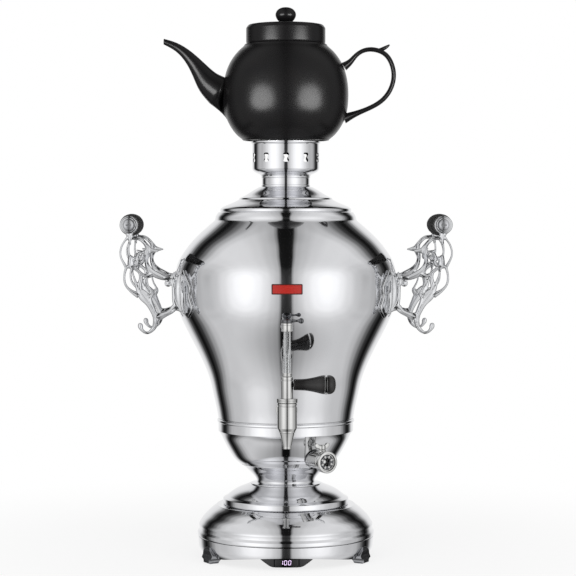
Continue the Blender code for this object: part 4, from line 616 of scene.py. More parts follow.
@dataclass(frozen=True)
class Glaze:
    """Black glaze fired on stoneware: deep and glossy, with a faint waviness and rare pinholes."""

    colour: str = "060607"
    warm: str = "0B0A0A"
    roughness: float = 0.22
    gloss: float = 0.13
    wave_size: float = 22 * MM
    wave_depth: float = 0.12 * MM
    speck_size: float = 1.6 * MM

    def make(self, name: str) -> bpy.types.Material:
        """Return the material."""
        material, tree, shader = start(name)
        spot = add(tree, "ShaderNodeTexCoord").outputs["Object"]
        wave = add(tree, "ShaderNodeTexNoise", {"Scale": 1 / self.wave_size, "Detail": 2.0},
                   {"Vector": spot}).outputs["Fac"]
        speck = add(tree, "ShaderNodeTexNoise", {"Scale": 1 / self.speck_size, "Detail": 2.0},
                    {"Vector": spot}).outputs["Fac"]
        mottle(tree, wave, (self.colour, self.warm), shader.inputs["Base Color"])
        rough = add(tree, "ShaderNodeMapRange", {"From Min": 0.3, "From Max": 0.9, "To Min": self.roughness,
                                                 "To Max": self.roughness * 1.6}, {"Value": speck})
        tree.links.new(rough.outputs["Result"], shader.inputs["Roughness"])
        bump = add(tree, "ShaderNodeBump", {"Strength": 0.4, "Distance": self.wave_depth}, {"Height": wave})
        tree.links.new(bump.outputs["Normal"], shader.inputs["Normal"])
        shader.inputs["IOR"].default_value = 1.52
        shader.inputs["Specular IOR Level"].default_value = self.gloss
        return material


@dataclass(frozen=True)
class Moulding:
    """Pressed or moulded polymer: phenolic grips, glossy panel, silicone washers, board laminate.

    Its skin has the fine grain of the mould and light rubbing where it is handled.
    """

    colour: str
    rubbed: str
    roughness: float
    grain: float = 0.5 * MM
    grain_depth: float = 0.01 * MM
    ior: float = 1.5

    def make(self, name: str) -> bpy.types.Material:
        """Return the material."""
        material, tree, shader = start(name)
        spot = add(tree, "ShaderNodeTexCoord").outputs["Object"]
        grain = add(tree, "ShaderNodeTexNoise", {"Scale": 1 / self.grain, "Detail": 2.0},
                    {"Vector": spot}).outputs["Fac"]
        wear = add(tree, "ShaderNodeTexNoise", {"Scale": 1 / (40 * self.grain), "Detail": 5.0},
                   {"Vector": spot}).outputs["Fac"]
        mottle(tree, wear, (self.colour, self.rubbed), shader.inputs["Base Color"])
        rough = add(tree, "ShaderNodeMapRange", {"From Min": 0.3, "From Max": 0.75, "To Min": self.roughness * 0.85,
                                                 "To Max": self.roughness * 1.2}, {"Value": wear})
        tree.links.new(rough.outputs["Result"], shader.inputs["Roughness"])
        bump = add(tree, "ShaderNodeBump", {"Strength": 0.4, "Distance": self.grain_depth}, {"Height": grain})
        tree.links.new(bump.outputs["Normal"], shader.inputs["Normal"])
        shader.inputs["IOR"].default_value = self.ior
        return material


@dataclass(frozen=True)
class TubeGlass:
    """Drawn borosilicate tube, clear, with a trace of scale where water stands in it."""

    colour: str = "FAFBFB"
    scale_colour: str = "F0F1F1"
    roughness: float = 0.0
    ripple_size: float = 5 * MM

    def make(self, name: str) -> bpy.types.Material:
        """Return the material."""
        material, tree, shader = start(name)
        spot = add(tree, "ShaderNodeTexCoord").outputs["Object"]
        ripple = add(tree, "ShaderNodeTexNoise", {"Scale": 1 / self.ripple_size, "Detail": 2.0},
                     {"Vector": spot}).outputs["Fac"]
        mottle(tree, ripple, (self.colour, self.scale_colour), shader.inputs["Base Color"])
        shader.inputs["Roughness"].default_value = self.roughness
        shader.inputs["Transmission Weight"].default_value = 1.0
        shader.inputs["IOR"].default_value = 1.47
        return material


@dataclass(frozen=True)
class LitDigit:
    """Segments of a light-emitting display seen through a smoked window."""

    colour: str = "E9D9F0"
    edge: str = "C9A6DE"
    strength: float = 1.3
    grain: float = 1.5 * MM

    def make(self, name: str) -> bpy.types.Material:
        """Return the material."""
        material, tree, shader = start(name)
        spot = add(tree, "ShaderNodeTexCoord").outputs["Object"]
        glow = add(tree, "ShaderNodeTexNoise", {"Scale": 1 / self.grain, "Detail": 1.0},
                   {"Vector": spot}).outputs["Fac"]
        mottle(tree, glow, (self.colour, self.edge), shader.inputs["Base Color"], shader.inputs["Emission Color"])
        shader.inputs["Emission Strength"].default_value = self.strength
        shader.inputs["Roughness"].default_value = 0.4
        return material


MIRROR = BuffedSteel()
CASTING = CastMetal()
NICKEL = CastMetal(colour="D0D0CF", hollow="7C7C7B", roughness=0.07, peel_size=6 * MM, peel_depth=0.01 * MM)
FOOT_METAL = CastMetal(colour="9C9DA0", hollow="3E3F42", roughness=0.16)
PLAIN_STEEL = CastMetal(colour="B4B5B8", hollow="808185", roughness=0.32, peel_size=1.5 * MM)
# A darker, duller steel, laid inside the crown as painted shade.
SHADED_STEEL = CastMetal(colour="5A5A5C", hollow="2C2C2D", roughness=0.42)
# A darker copy of the nickel, which paints shade on the drain outlet's recessed ground and on the gauge cock.
SHADED_NICKEL = CastMetal(colour="6C6D70", hollow="2E2F31", roughness=0.16, peel_size=6 * MM, peel_depth=0.01 * MM)
TIE_METAL = CastMetal(colour="BFC0C3", hollow="77787B", roughness=0.22)
POT_GLAZE = Glaze()
PHENOLIC = Moulding("121112", "1D1B1B", 0.24)
DULL_PHENOLIC = Moulding("0C0B0C", "151414", 0.62)
PANEL_BLACK = Moulding("0B0B0D", "121215", 0.1, grain_depth=0.003 * MM)
SILICONE = Moulding("8D8D8F", "A2A2A4", 0.6)
LAMINATE = Moulding("1F6B3C", "2B7B49", 0.45)
ENAMEL = Moulding("A81C14", "B5281D", 0.22, grain=2 * MM, grain_depth=0.01 * MM)
ENAMEL_FRAME = Moulding("3A0E0B", "4A1511", 0.3)


Finish = Union[BuffedSteel, CastMetal, Glaze, Moulding, TubeGlass, LitDigit]


# Outlines


@dataclass(frozen=True)
class Space:
    """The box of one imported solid.

    Args:
        low: Its lowest corner.
        high: Its highest corner.
    """

    low: Vector
    high: Vector

    @classmethod
    def of(cls, node: str) -> "Space":
        """Return the box of a solid."""
        low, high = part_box(node)
        return cls(low, high)

    @property
    def middle(self) -> Vector:
        """Return the box's middle."""
        return (self.low + self.high) / 2

    @property
    def size(self) -> Vector:
        """Return the box's sizes."""
        return self.high - self.low

    @property
    def radius(self) -> float:
        """Return half the width."""
        return self.size.x / 2


@dataclass
class Outline:
    """An upward outline, drawn stretch by stretch in shares of a radius and a height.

    Args:
        radius: The radius that a share of 1 stands for.
        foot: The level of share 0.
        height: The height that a share of 1 adds.
        points: The points drawn up to now.
    """

    radius: float
    foot: float
    height: float
    points: List[Flat] = field(default_factory=list)

    @classmethod
    def of(cls, space: Space) -> "Outline":
        """Start an outline in a solid's box."""
        return cls(space.radius, space.low.z, space.size.z)

    def extend(self, points: Sequence[Flat]) -> "Outline":
        """Add points, but for ones that are there already."""
        for point in points:
            if not self.points or math.dist(point, self.points[-1]) > 10 * TINY:
                self.points.append(tuple(point))
        return self

    def curve(self, *shares: Flat) -> "Outline":
        """Add a fair curve through points."""
        return self.extend(fair(scaled(shares, self.radius, self.foot, self.height)))

    def line(self, *corners: Corner) -> "Outline":
        """Add straight stretches whose corners are rounded by a radius in metres."""
        spots = [(x * self.radius, self.foot + y * self.height, r) for x, y, r in corners]
        return self.extend(rounded(spots))

    def inner(self, wall: float) -> List[Flat]:
        """Return the points of the sheet's inner side, upwards.

        Args:
            wall: The sheet's thickness.
        Returns:
            The offset points that keep the full thickness.
        """
        kept = []
        for spot in offset(self.points, -wall):
            near = min(math.dist(spot, point) for point in self.points)
            if near > 0.93 * wall and (not kept or spot[1] > kept[-1][1] - wall):
                kept.append(spot)
        return kept


def sheet(outer: List[Flat], inner: List[Flat], edge: float) -> List[Flat]:
    """Close an outer and an inner side into one loop with softened edges.

    Args:
        outer: The outer side, upwards.
        inner: The inner side, upwards.
        edge: How much each edge of the sheet is broken.
    Returns:
        The closed loop.
    """
    loop = [(x, y, 0.0) for x, y in outer] + [(x, y, 0.0) for x, y in reversed(inner)]
    for i in (0, len(outer) - 1, len(outer), len(loop) - 1):
        loop[i] = (loop[i][0], loop[i][1], edge)
    return rounded(loop, closed=True, steps=2)


# Sub-assemblies


@dataclass
class Base:
    """The base: skirt, dish, cap and neck spun from sheet, on three cast feet.

    Args:
        axis: The column's axis.
        wall: The sheet's thickness.
        edge: How much the sheet's edges are broken.
        fold: The radius of a sharp spun fold.
        arch_rise: The height of the skirt's arches.
        arch_half_angle: Half the angle that an arch spans, in degrees.
        foot_names: Each foot's solid.
        gap: The clearance round a foot.
    """

    axis: Axis
    wall: float = 1.0 * MM
    edge: float = 0.35 * MM
    fold: float = 1.2 * MM
    arch_rise: float = 8.5 * MM
    arch_half_angle: float = 46.0
    foot_names: Tuple[str, ...] = ("foot_left", "foot_right", "foot_rear")
    gap: float = 0.4 * MM
    shiny: List[bpy.types.Object] = field(default_factory=list)
    feet: List[bpy.types.Object] = field(default_factory=list)

    def build(self) -> None:
        """Build the four spun rings and the feet."""
        self.build_skirt()
        self.build_dish()
        self.build_cap()
        self.build_neck()
        self.build_feet()

    def skirt_outline(self) -> Outline:
        """Return the skirt's outer side."""
        space = Space.of("base_skirt")
        return Outline.of(space).curve((0.955, 0.0), (0.983, 0.24), (0.9955, 0.6), (1.0, 1.0))

    def build_skirt(self) -> None:
        """Spin the skirt and cut its three shallow arches."""
        space = Space.of("base_skirt")
        outline = self.skirt_outline()
        piece = turned("skirt", sheet(outline.points, outline.inner(self.wall), self.edge), self.axis, Steps.LARGE)
        half = space.radius * math.sin(math.radians(self.arch_half_angle))
        bend = (half * half + self.arch_rise * self.arch_rise) / (2 * self.arch_rise)
        swing = math.asin(half / bend)
        steps = 48
        arc = [(bend * math.sin(swing * (2 * i / steps - 1)),
                space.low.z + bend * (math.cos(swing * (2 * i / steps - 1)) - math.cos(swing)))
               for i in range(steps + 1)]
        arc += [(half, space.low.z - self.arch_rise), (-half, space.low.z - self.arch_rise)]
        for i in range(len(self.foot_names)):
            turn = Matrix.Rotation(FULL_TURN * i / len(self.foot_names), 3, "Z")
            outwards = Axis(self.axis.place, turn @ FRONT, turn @ RIGHT)
            combine(piece, [slab("arch", arc, outwards, space.radius / 2, 2 * space.radius)], "DIFFERENCE")
        self.shiny.append(fit(soften(clean(piece)), "root", "mirror_steel", "base_skirt"))

    def spin(self, name: str, node: str, outline: Outline) -> None:
        """Spin a ring of sheet.

        Args:
            name: The piece's name.
            node: The solid that it replaces.
            outline: Its outer side.
        """
        loop = sheet(outline.points, outline.inner(self.wall), self.edge)
        self.shiny.append(fit(turned(name, loop, self.axis, Steps.LARGE), "root", "mirror_steel", node))

    def build_dish(self) -> None:
        """Spin the dish with its rolled rim, upright band, dome and flat top."""
        outline = Outline.of(Space.of("base_dish"))
        outline.line((0.993, 0.0, 0.0), (1.0, 0.035, 2 * MM), (1.0, 0.14, 1.6 * MM), (0.981, 0.215, 1.2 * MM),
                     (0.981, 0.3, 0.0))
        outline.curve((0.981, 0.3), (0.983, 0.37), (0.966, 0.475), (0.9365, 0.6), (0.893, 0.73), (0.844, 0.86),
                      (0.79, 0.975))
        outline.line((0.79, 0.975, 0.0), (0.779, 1.0, self.fold), (0.16, 1.0, 0.0))
        self.spin("dish", "base_dish", outline)

    def build_cap(self) -> None:
        """Spin the stepped cap."""
        outline = Outline.of(Space.of("pedestal_cap"))
        outline.line((0.99, 0.0, 0.0), (1.0, 0.05, 1.0 * MM), (0.999, 0.3, 1.4 * MM), (0.95, 0.385, 0.9 * MM),
                     (0.935, 0.41, 0.0))
        outline.curve((0.935, 0.41), (0.865, 0.585), (0.75, 0.79), (0.64, 0.925), (0.592, 0.985))
        outline.line((0.592, 0.985, 0.0), (0.585, 1.0, 0.4 * MM), (0.47, 1.0, 0.0))
        self.spin("cap", "pedestal_cap", outline)

    def build_neck(self) -> None:
        """Spin the waisted neck."""
        outline = Outline.of(Space.of("neck_cone"))
        outline.line((0.765, 0.0, 0.0), (0.76, 0.035, 0.6 * MM), (0.69, 0.055, 0.0))
        outline.curve((0.69, 0.055), (0.65, 0.1), (0.638, 0.18), (0.655, 0.28), (0.72, 0.46), (0.815, 0.68),
                      (0.915, 0.88), (0.985, 0.985))
        outline.line((0.985, 0.985, 0.0), (1.0, 1.0, 0.0))
        self.spin("neck", "neck_cone", outline)

    def build_feet(self) -> None:
        """Cast one foot, then copy it round the column."""
        space = Space.of("foot_rear")
        size = space.size
        out = space.high.y - self.axis.place.y
        root = out - size.y
        side = rounded([
            (root, 0.47 * size.z, 1.0 * MM), (root, size.z, 1.0 * MM), (root + 0.9 * size.y, size.z, 3.0 * MM),
            (root + 0.975 * size.y, 0.8 * size.z, 3.0 * MM), (root + 0.925 * size.y, 0.5 * size.z, 2.4 * MM),
            (root + size.y, 0.28 * size.z, 2.6 * MM), (root + size.y, 0.05 * size.z, 1.8 * MM),
            (root + 0.95 * size.y, 0.0, 0.8 * MM), (root + 0.52 * size.y, 0.0, 1.2 * MM),
            (root + 0.4 * size.y, 0.2 * size.z, 3.0 * MM), (root + 0.18 * size.y, 0.34 * size.z, 3.0 * MM)],
            closed=True, steps=4)
        half = size.x / 2
        front = fair([(half * x, size.z * z) for x, z in (
            (0.0, 1.0), (0.3, 0.965), (0.62, 0.82), (0.86, 0.63), (0.985, 0.44), (0.93, 0.3), (0.66, 0.24),
            (0.56, 0.12), (0.62, 0.0))], 4)
        front += [(-x, z) for x, z in reversed(front[1:])]
        outwards = Axis(self.axis.place, RIGHT, BACK)
        piece = slab("foot", [(x, z) for x, z in side], outwards, -half, half)
        forwards = Axis(self.axis.place, BACK, Vector((-1.0, 0.0, 0.0)))
        combine(piece, [slab("leaf", front, forwards, 0.0, 2 * out)], "INTERSECT")
        apply_modifier(piece, "BEVEL", width=1.1 * MM, segments=3, limit_method="ANGLE",
                       angle_limit=math.radians(40))
        clean(piece)
        apply_modifier(piece, "REMESH", mode="VOXEL", voxel_size=0.35 * MM)
        apply_modifier(piece, "SMOOTH", factor=0.5, iterations=4)
        self.cut_room(piece)
        soften(clean(piece), 50)
        for name in self.foot_names:
            place = Space.of(name).middle - self.axis.place
            angle = math.atan2(place.y, place.x) - math.pi / 2
            move = self.axis.around(Matrix.Rotation(angle, 4, "Z"))
            self.feet.append(fit(copied(piece, name, move), "root", "foot_metal", name))
        bpy.data.objects.remove(piece)

    def cut_room(self, piece: bpy.types.Object) -> None:
        """Cut a foot clear of the skirt and of the cover above it."""
        points = self.skirt_outline().points
        outer = offset(points, self.gap)
        inner = offset(points, -self.wall - self.gap)
        low = Space.of("base_skirt").low.z - self.gap
        ring = [(outer[0][0], low)] + outer + list(reversed(inner)) + [(inner[0][0], low)]
        cover = Space.of("bottom_cover")
        top = points[-1][1]
        room = [(0.0, cover.low.z - self.gap), (inner[0][0] + 2 * self.wall, cover.low.z - self.gap),
                (inner[-1][0] + self.wall / 2, top), (0.0, top)]
        combine(piece, [turned("skirt_room", ring, self.axis), turned("cover_room", room, self.axis)], "DIFFERENCE")

    def dress(self) -> None:
        """Give the rings and the feet their finishes."""
        coat(self.shiny, MIRROR, "mirror")
        coat(self.feet, FOOT_METAL, "metal")


def paint(piece: bpy.types.Object, *materials: bpy.types.Material) -> bpy.types.Object:
    """Give a piece its materials."""
    piece.data.materials.clear()
    for material in materials:
        piece.data.materials.append(material)
    return piece


def coat(pieces: Sequence[bpy.types.Object], finish: "Finish", label: str) -> None:
    """Give each piece its own material of a finish.

    Args:
        pieces: The pieces.
        finish: Their finish.
        label: What the material's name adds to the piece's name.
    """
    for piece in pieces:
        paint(piece, finish.make(piece.name + " " + label))


def line_with(piece: bpy.types.Object, lining: bpy.types.Material,
              chosen: Callable[[Vector, Vector], bool]) -> bpy.types.Object:
    """Give some faces of a painted piece a second material.

    Args:
        piece: The piece, painted with one material.
        lining: The second material.
        chosen: Says from a face's middle and normal whether it gets the second.
    Returns:
        The piece.
    """
    piece.data.materials.append(lining)
    for face in piece.data.polygons:
        if chosen(face.center, face.normal):
            face.material_index = 1
    return piece


def drain_line(axis: Axis) -> Axis:
    """Return the drain valve's line, from the column's axis outwards."""
    place = Space.of("drain_retainer").middle
    outwards = Vector((place.x, place.y - axis.place.y, 0.0)).normalized()
    return Axis(axis.place + Vector((0.0, 0.0, place.z)), outwards, UP)


@dataclass
class Tank:
    """The tank: the bowl with its bead, the pear-shaped body and the bare badge.

    Args:
        axis: The column's axis.
        wall: The sheet's thickness.
        edge: How much the sheet's edges are broken.
        frame_width: The width of the badge's raised frame.
        frame_rise: How far the frame stands out.
        heater_hole: The radius of the hole in the bowl's floor.
        drain_bore: The radius of the hole for the drain's shank.
        tap_bore: The radius of the hole for the tap's shank.
        gauge_bore: The radius of the hole for the gauge's shank.
        badge_depth: How far the badge's frame reaches from the body.
        badge_corner: How much the badge's corners are rounded.
    """

    axis: Axis
    wall: float = 1.0 * MM
    edge: float = 0.35 * MM
    frame_width: float = 1.3 * MM
    frame_rise: float = 0.45 * MM
    heater_hole: float = 15.3 * MM
    drain_bore: float = 6.8 * MM
    tap_bore: float = 8.8 * MM
    gauge_bore: float = 5.1 * MM
    badge_depth: float = 0.9 * MM
    badge_corner: float = 1.2 * MM
    shiny: List[bpy.types.Object] = field(default_factory=list)
    badge: Optional[bpy.types.Object] = None
    badge_frame: Optional[bpy.types.Object] = None

    def build(self) -> None:
        """Build the two shells and the badge."""
        self.build_bowl()
        self.build_body()
        self.build_badge()

    def bowl_side(self) -> Outline:
        """Return the bowl's outer side, from the hole in its floor up to its bead."""
        space = Space.of("vessel_bowl")
        outline = Outline.of(space)
        outline.line((self.heater_hole / space.radius, 0.0, 0.0), (0.672, 0.0, 1.6 * MM), (0.69, 0.025, 0.0))
        outline.curve((0.69, 0.025), (0.735, 0.085), (0.806, 0.235), (0.866, 0.395), (0.915, 0.545), (0.95, 0.655),
                      (0.97, 0.7))
        outline.line((0.97, 0.7, 0.0), (0.984, 0.725, 1.0 * MM), (0.984, 0.915, 0.5 * MM),
                     (1.0, 0.928, 0.9 * MM), (1.0, 0.975, 0.9 * MM), (0.984, 0.988, 0.4 * MM), (0.984, 1.0, 0.0))
        return outline

    def bowl_outline(self) -> List[Flat]:
        """Return the points of the bowl's outer side above its floor."""
        return [point for point in self.bowl_side().points if point[0] > 1.5 * self.heater_hole]

    def build_bowl(self) -> None:
        """Spin the bowl with its floor, band and seam bead, and pierce it for the drain."""
        outline = self.bowl_side()
        loop = sheet(outline.points, outline.inner(self.wall), self.edge / 2)
        piece = turned("bowl", loop, self.axis, Steps.LARGE)
        combine(piece, [rod("bore", drain_line(self.axis), self.drain_bore, 40 * MM, 110 * MM)], "DIFFERENCE")
        self.shiny.append(fit(soften(clean(piece)), "root", "mirror_steel", "vessel_bowl"))

    def body_outline(self) -> Outline:
        """Return the body's outer side up to the mouth."""
        space = Space.of("vessel_body")
        outline = Outline.of(space)
        outline.curve((0.614, 0.0), (0.625, 0.035), (0.6405, 0.075), (0.661, 0.125), (0.686, 0.182),
                      (0.741, 0.262), (0.827, 0.357), (0.9235, 0.458), (0.967, 0.515), (0.991, 0.59), (0.999, 0.662),
                      (0.9855, 0.745), (0.9275, 0.804), (0.846, 0.861), (0.738, 0.9175), (0.652, 0.957))
        outline.line((0.652, 0.957, 0.0), (0.6445, 0.961, 0.5 * MM), (0.6395, 0.968, 0.0))
        outline.curve((0.6395, 0.968), (0.633, 0.982), (0.621, 0.993))
        outline.line((0.621, 0.993, 0.0), (0.612, 1.0, 0.5 * MM), (0.533, 1.0, 0.0))
        return outline

    def build_body(self) -> None:
        """Spin the pear-shaped body and pierce it for the tap and the gauge."""
        outline = self.body_outline()
        loop = sheet(outline.points, outline.inner(self.wall), self.edge / 2)
        piece = turned("body", loop, self.axis, Steps.LARGE)
        for seal, bore in (("tap_seal", self.tap_bore), ("gauge_seal", self.gauge_bore)):
            level = Space.of(seal).middle.z
            forwards = Axis(self.axis.place + UP * level, FRONT)
            combine(piece, [rod("bore", forwards, bore, 80 * MM, 150 * MM)], "DIFFERENCE")
        self.shiny.append(fit(soften(clean(piece)), "root", "mirror_steel", "vessel_body"))

    def skin(self, name: str, distance: float) -> bpy.types.Object:
        """Make the solid form of the body, grown by a distance."""
        outer = offset(self.body_outline().points[:-3], distance)
        return turned(name, [(0.0, outer[0][1])] + outer + [(0.0, outer[-1][1])], self.axis, Steps.LARGE)

    def build_badge(self) -> None:
        """Bend the bare badge plate and its raised frame to the body."""
        space = Space.of("badge_plate")
        half, tall = space.size.x / 2, space.size.z / 2
        level = space.middle.z
        thick, corner = self.badge_depth, self.badge_corner
        forwards = Axis(self.axis.place, FRONT)

        def patch(name: str, wide: float, high: float, rise: float) -> bpy.types.Object:
            """Bend a plate of half a width and half a height, which stands off the body by rise."""
            outline = rounded([(-wide, level - high, corner), (wide, level - high, corner),
                               (wide, level + high, corner), (-wide, level + high, corner)], closed=True)
            piece = slab(name, outline, forwards, 100 * MM, 160 * MM)
            combine(piece, [self.skin("outside", rise)], "INTERSECT")
            return combine(piece, [self.skin("inside", 0.3 * MM)], "DIFFERENCE")

        self.badge = patch("badge", half - self.frame_width, tall - self.frame_width, thick - self.frame_rise)
        ring = patch("badge_frame", half, tall, thick)
        combine(ring, [patch("opening", half - self.frame_width, tall - self.frame_width, 3 * thick)], "DIFFERENCE")
        self.badge_frame = soften(clean(ring))
        fit(soften(clean(self.badge)), "root", "red_enamel", "badge_plate")
        fit(self.badge_frame, "root", "red_enamel", "badge_plate")

    def dress(self) -> None:
        """Give the shells and the badge their finishes."""
        coat(self.shiny, MIRROR, "mirror")
        paint(self.badge, ENAMEL.make("badge enamel"))
        paint(self.badge_frame, ENAMEL_FRAME.make("badge frame enamel"))


@dataclass
class Lid:
    """The stepped lid and the steam collar that is pressed into it.

    Args:
        axis: The column's axis.
        wall: The sheet's thickness.
        edge: How much the edges are broken.
        spigot_radius: The radius of the ring that centres the lid.
        collar_bore: The radius of the steam collar's bore.
    """

    axis: Axis
    wall: float = 1.0 * MM
    edge: float = 0.35 * MM
    spigot_radius: float = 77.6 * MM
    collar_bore: float = 29.7 * MM
    shiny: List[bpy.types.Object] = field(default_factory=list)

    def build(self) -> None:
        """Build the lid and the collar."""
        self.build_lid()
        self.build_collar()

    def build_lid(self) -> None:
        """Spin the lid with its rolled rim, its steps and its spigot."""
        space = Space.of("lid")
        rim = Space.of("vessel_body").high.z + 0.3 * MM
        outline = Outline(space.radius, rim, space.high.z - rim)
        outline.line((0.992, 0.0, 0.0), (1.0, 0.03, 0.8 * MM), (0.998, 0.13, 1.6 * MM), (0.96, 0.205, 0.0))
        outline.curve((0.96, 0.205), (0.9, 0.275), (0.84, 0.34), (0.775, 0.415), (0.735, 0.47))
        outline.line((0.735, 0.47, 0.0), (0.716, 0.495, 0.8 * MM), (0.706, 0.56, 0.8 * MM), (0.67, 0.6, 0.0))
        outline.curve((0.67, 0.6), (0.62, 0.665), (0.56, 0.76), (0.5, 0.86), (0.44, 0.95))
        outline.line((0.44, 0.95, 0.0), (0.405, 1.0, 1.0 * MM), (0.357, 1.0, 0.0))
        inner = [point for point in outline.inner(self.wall) if point[1] > rim + self.wall]
        low = space.low.z
        spigot = self.spigot_radius
        ring = [(spigot, low), (spigot, rim), (outline.points[0][0] - self.wall, rim)]
        inside = [(spigot - self.wall, low), (spigot - self.wall, rim + self.wall)] + inner
        loop = ring + outline.points + list(reversed(inside))
        self.shiny.append(fit(turned("lid_shell", loop, self.axis, Steps.LARGE), "lid", "mirror_steel", "lid"))

    def build_collar(self) -> None:
        """Turn the steam collar with its broken edges."""
        space = Space.of("steam_neck")
        foot = Space.of("lid").high.z + 0.3 * MM
        radius, bore, step = space.radius, self.collar_bore, 1.0 * MM
        loop = rounded([(bore + step, space.low.z, 0.0), (bore + step, foot, 0.0), (radius, foot, self.edge),
                        (radius, foot + 2 * step, 0.5 * MM), (radius - 0.7 * step, foot + 2.6 * step, 0.5 * MM),
                        (radius - 0.7 * step, space.high.z - 2.6 * step, 0.5 * MM),
                        (radius, space.high.z - 2 * step, 0.5 * MM), (radius, space.high.z, self.edge),
                        (bore, space.high.z, self.edge), (bore, space.low.z, 0.0)], closed=True, steps=3)
        self.shiny.append(fit(turned("steam_collar", loop, self.axis), "lid", "mirror_steel", "steam_neck"))

    def dress(self) -> None:
        """Give both pieces the mirror finish."""
        coat(self.shiny, MIRROR, "mirror")


@dataclass
class Crown:
    """The crown that carries the teapot, pierced with hourglass holes.

    Args:
        axis: The column's axis.
        wall: The sheet's thickness.
        hole_count: How many holes ring it.
        hole_width: The holes' greatest width.
        hole_waist: Their least width.
        hole_height: Their height.
        hole_rise: The level of their middle above the crown's foot.
        spigot_radius: The radius of the spigot in the steam collar.
    """

    axis: Axis
    wall: float = 1.0 * MM
    hole_count: int = 10
    hole_width: float = 8.0 * MM
    hole_waist: float = 4.6 * MM
    hole_height: float = 12.2 * MM
    hole_rise: float = 24.1 * MM
    spigot_radius: float = 29.4 * MM
    piece: Optional[bpy.types.Object] = None

    def build(self) -> None:
        """Spin the crown and cut its holes in pairs."""
        space = Space.of("crown")
        foot = Space.of("steam_neck").high.z + 0.3 * MM
        outline = Outline(space.radius, foot, space.high.z - foot)
        outline.line((0.71, 0.0, 0.0), (0.728, 0.03, 0.5 * MM), (0.745, 0.045, 0.0))
        outline.curve((0.745, 0.045), (0.84, 0.085), (0.915, 0.13), (0.956, 0.182), (0.964, 0.24))
        outline.line((0.964, 0.24, 0.0), (0.964, 0.885, 0.8 * MM), (0.975, 0.915, 0.4 * MM),
                     (1.0, 0.935, 0.7 * MM), (1.0, 1.0, 0.5 * MM), (0.978, 1.0, 0.0))
        inner = [point for point in outline.inner(self.wall) if point[1] > foot + self.wall]
        spigot = self.spigot_radius
        loop = [(spigot, space.low.z), (spigot, foot)] + outline.points + list(reversed(inner))
        loop += [(spigot - self.wall, foot + self.wall), (spigot - self.wall, space.low.z)]
        piece = turned("crown_shell", loop, self.axis, Steps.LARGE)
        wide, waist, tall = self.hole_width / 2, self.hole_waist / 2, self.hole_height / 2
        level = foot + self.hole_rise
        half = fair([(waist, 0.0), (0.62 * wide, 0.22 * tall), (0.97 * wide, 0.58 * tall), (0.86 * wide, 0.86 * tall),
                     (0.36 * wide, 0.995 * tall), (0.0, tall)], 4)
        ring = [(x, z) for x, z in half] + [(-x, z) for x, z in reversed(half[:-1])]
        ring += [(-x, -z) for x, z in half[1:]] + [(x, -z) for x, z in reversed(half[1:-1])]
        outline_ring = [(x, level + z) for x, z in ring]
        for i in range(self.hole_count // 2):
            turn = Matrix.Rotation(FULL_TURN * i / self.hole_count, 3, "Z")
            outwards = Axis(self.axis.place, turn @ FRONT, turn @ RIGHT)
            reach = 2 * space.radius
            combine(piece, [slab("hole", outline_ring, outwards, -reach, reach)], "DIFFERENCE")
        self.piece = fit(soften(clean(piece)), "crown", "mirror_steel", "crown")

    def dress(self) -> None:
        """Give the crown the mirror finish, and its inside a darker, duller steel whose dark colour is painted shade.
        """
        paint(self.piece, MIRROR.make("crown mirror"))
        # The crown's inward faces get dark steel as painted shade.
        line_with(self.piece, SHADED_STEEL.make("crown inside painted shade"),
                  lambda middle, normal: (middle - self.axis.place).xy.dot(normal.xy) < -0.2 * self.spigot_radius)


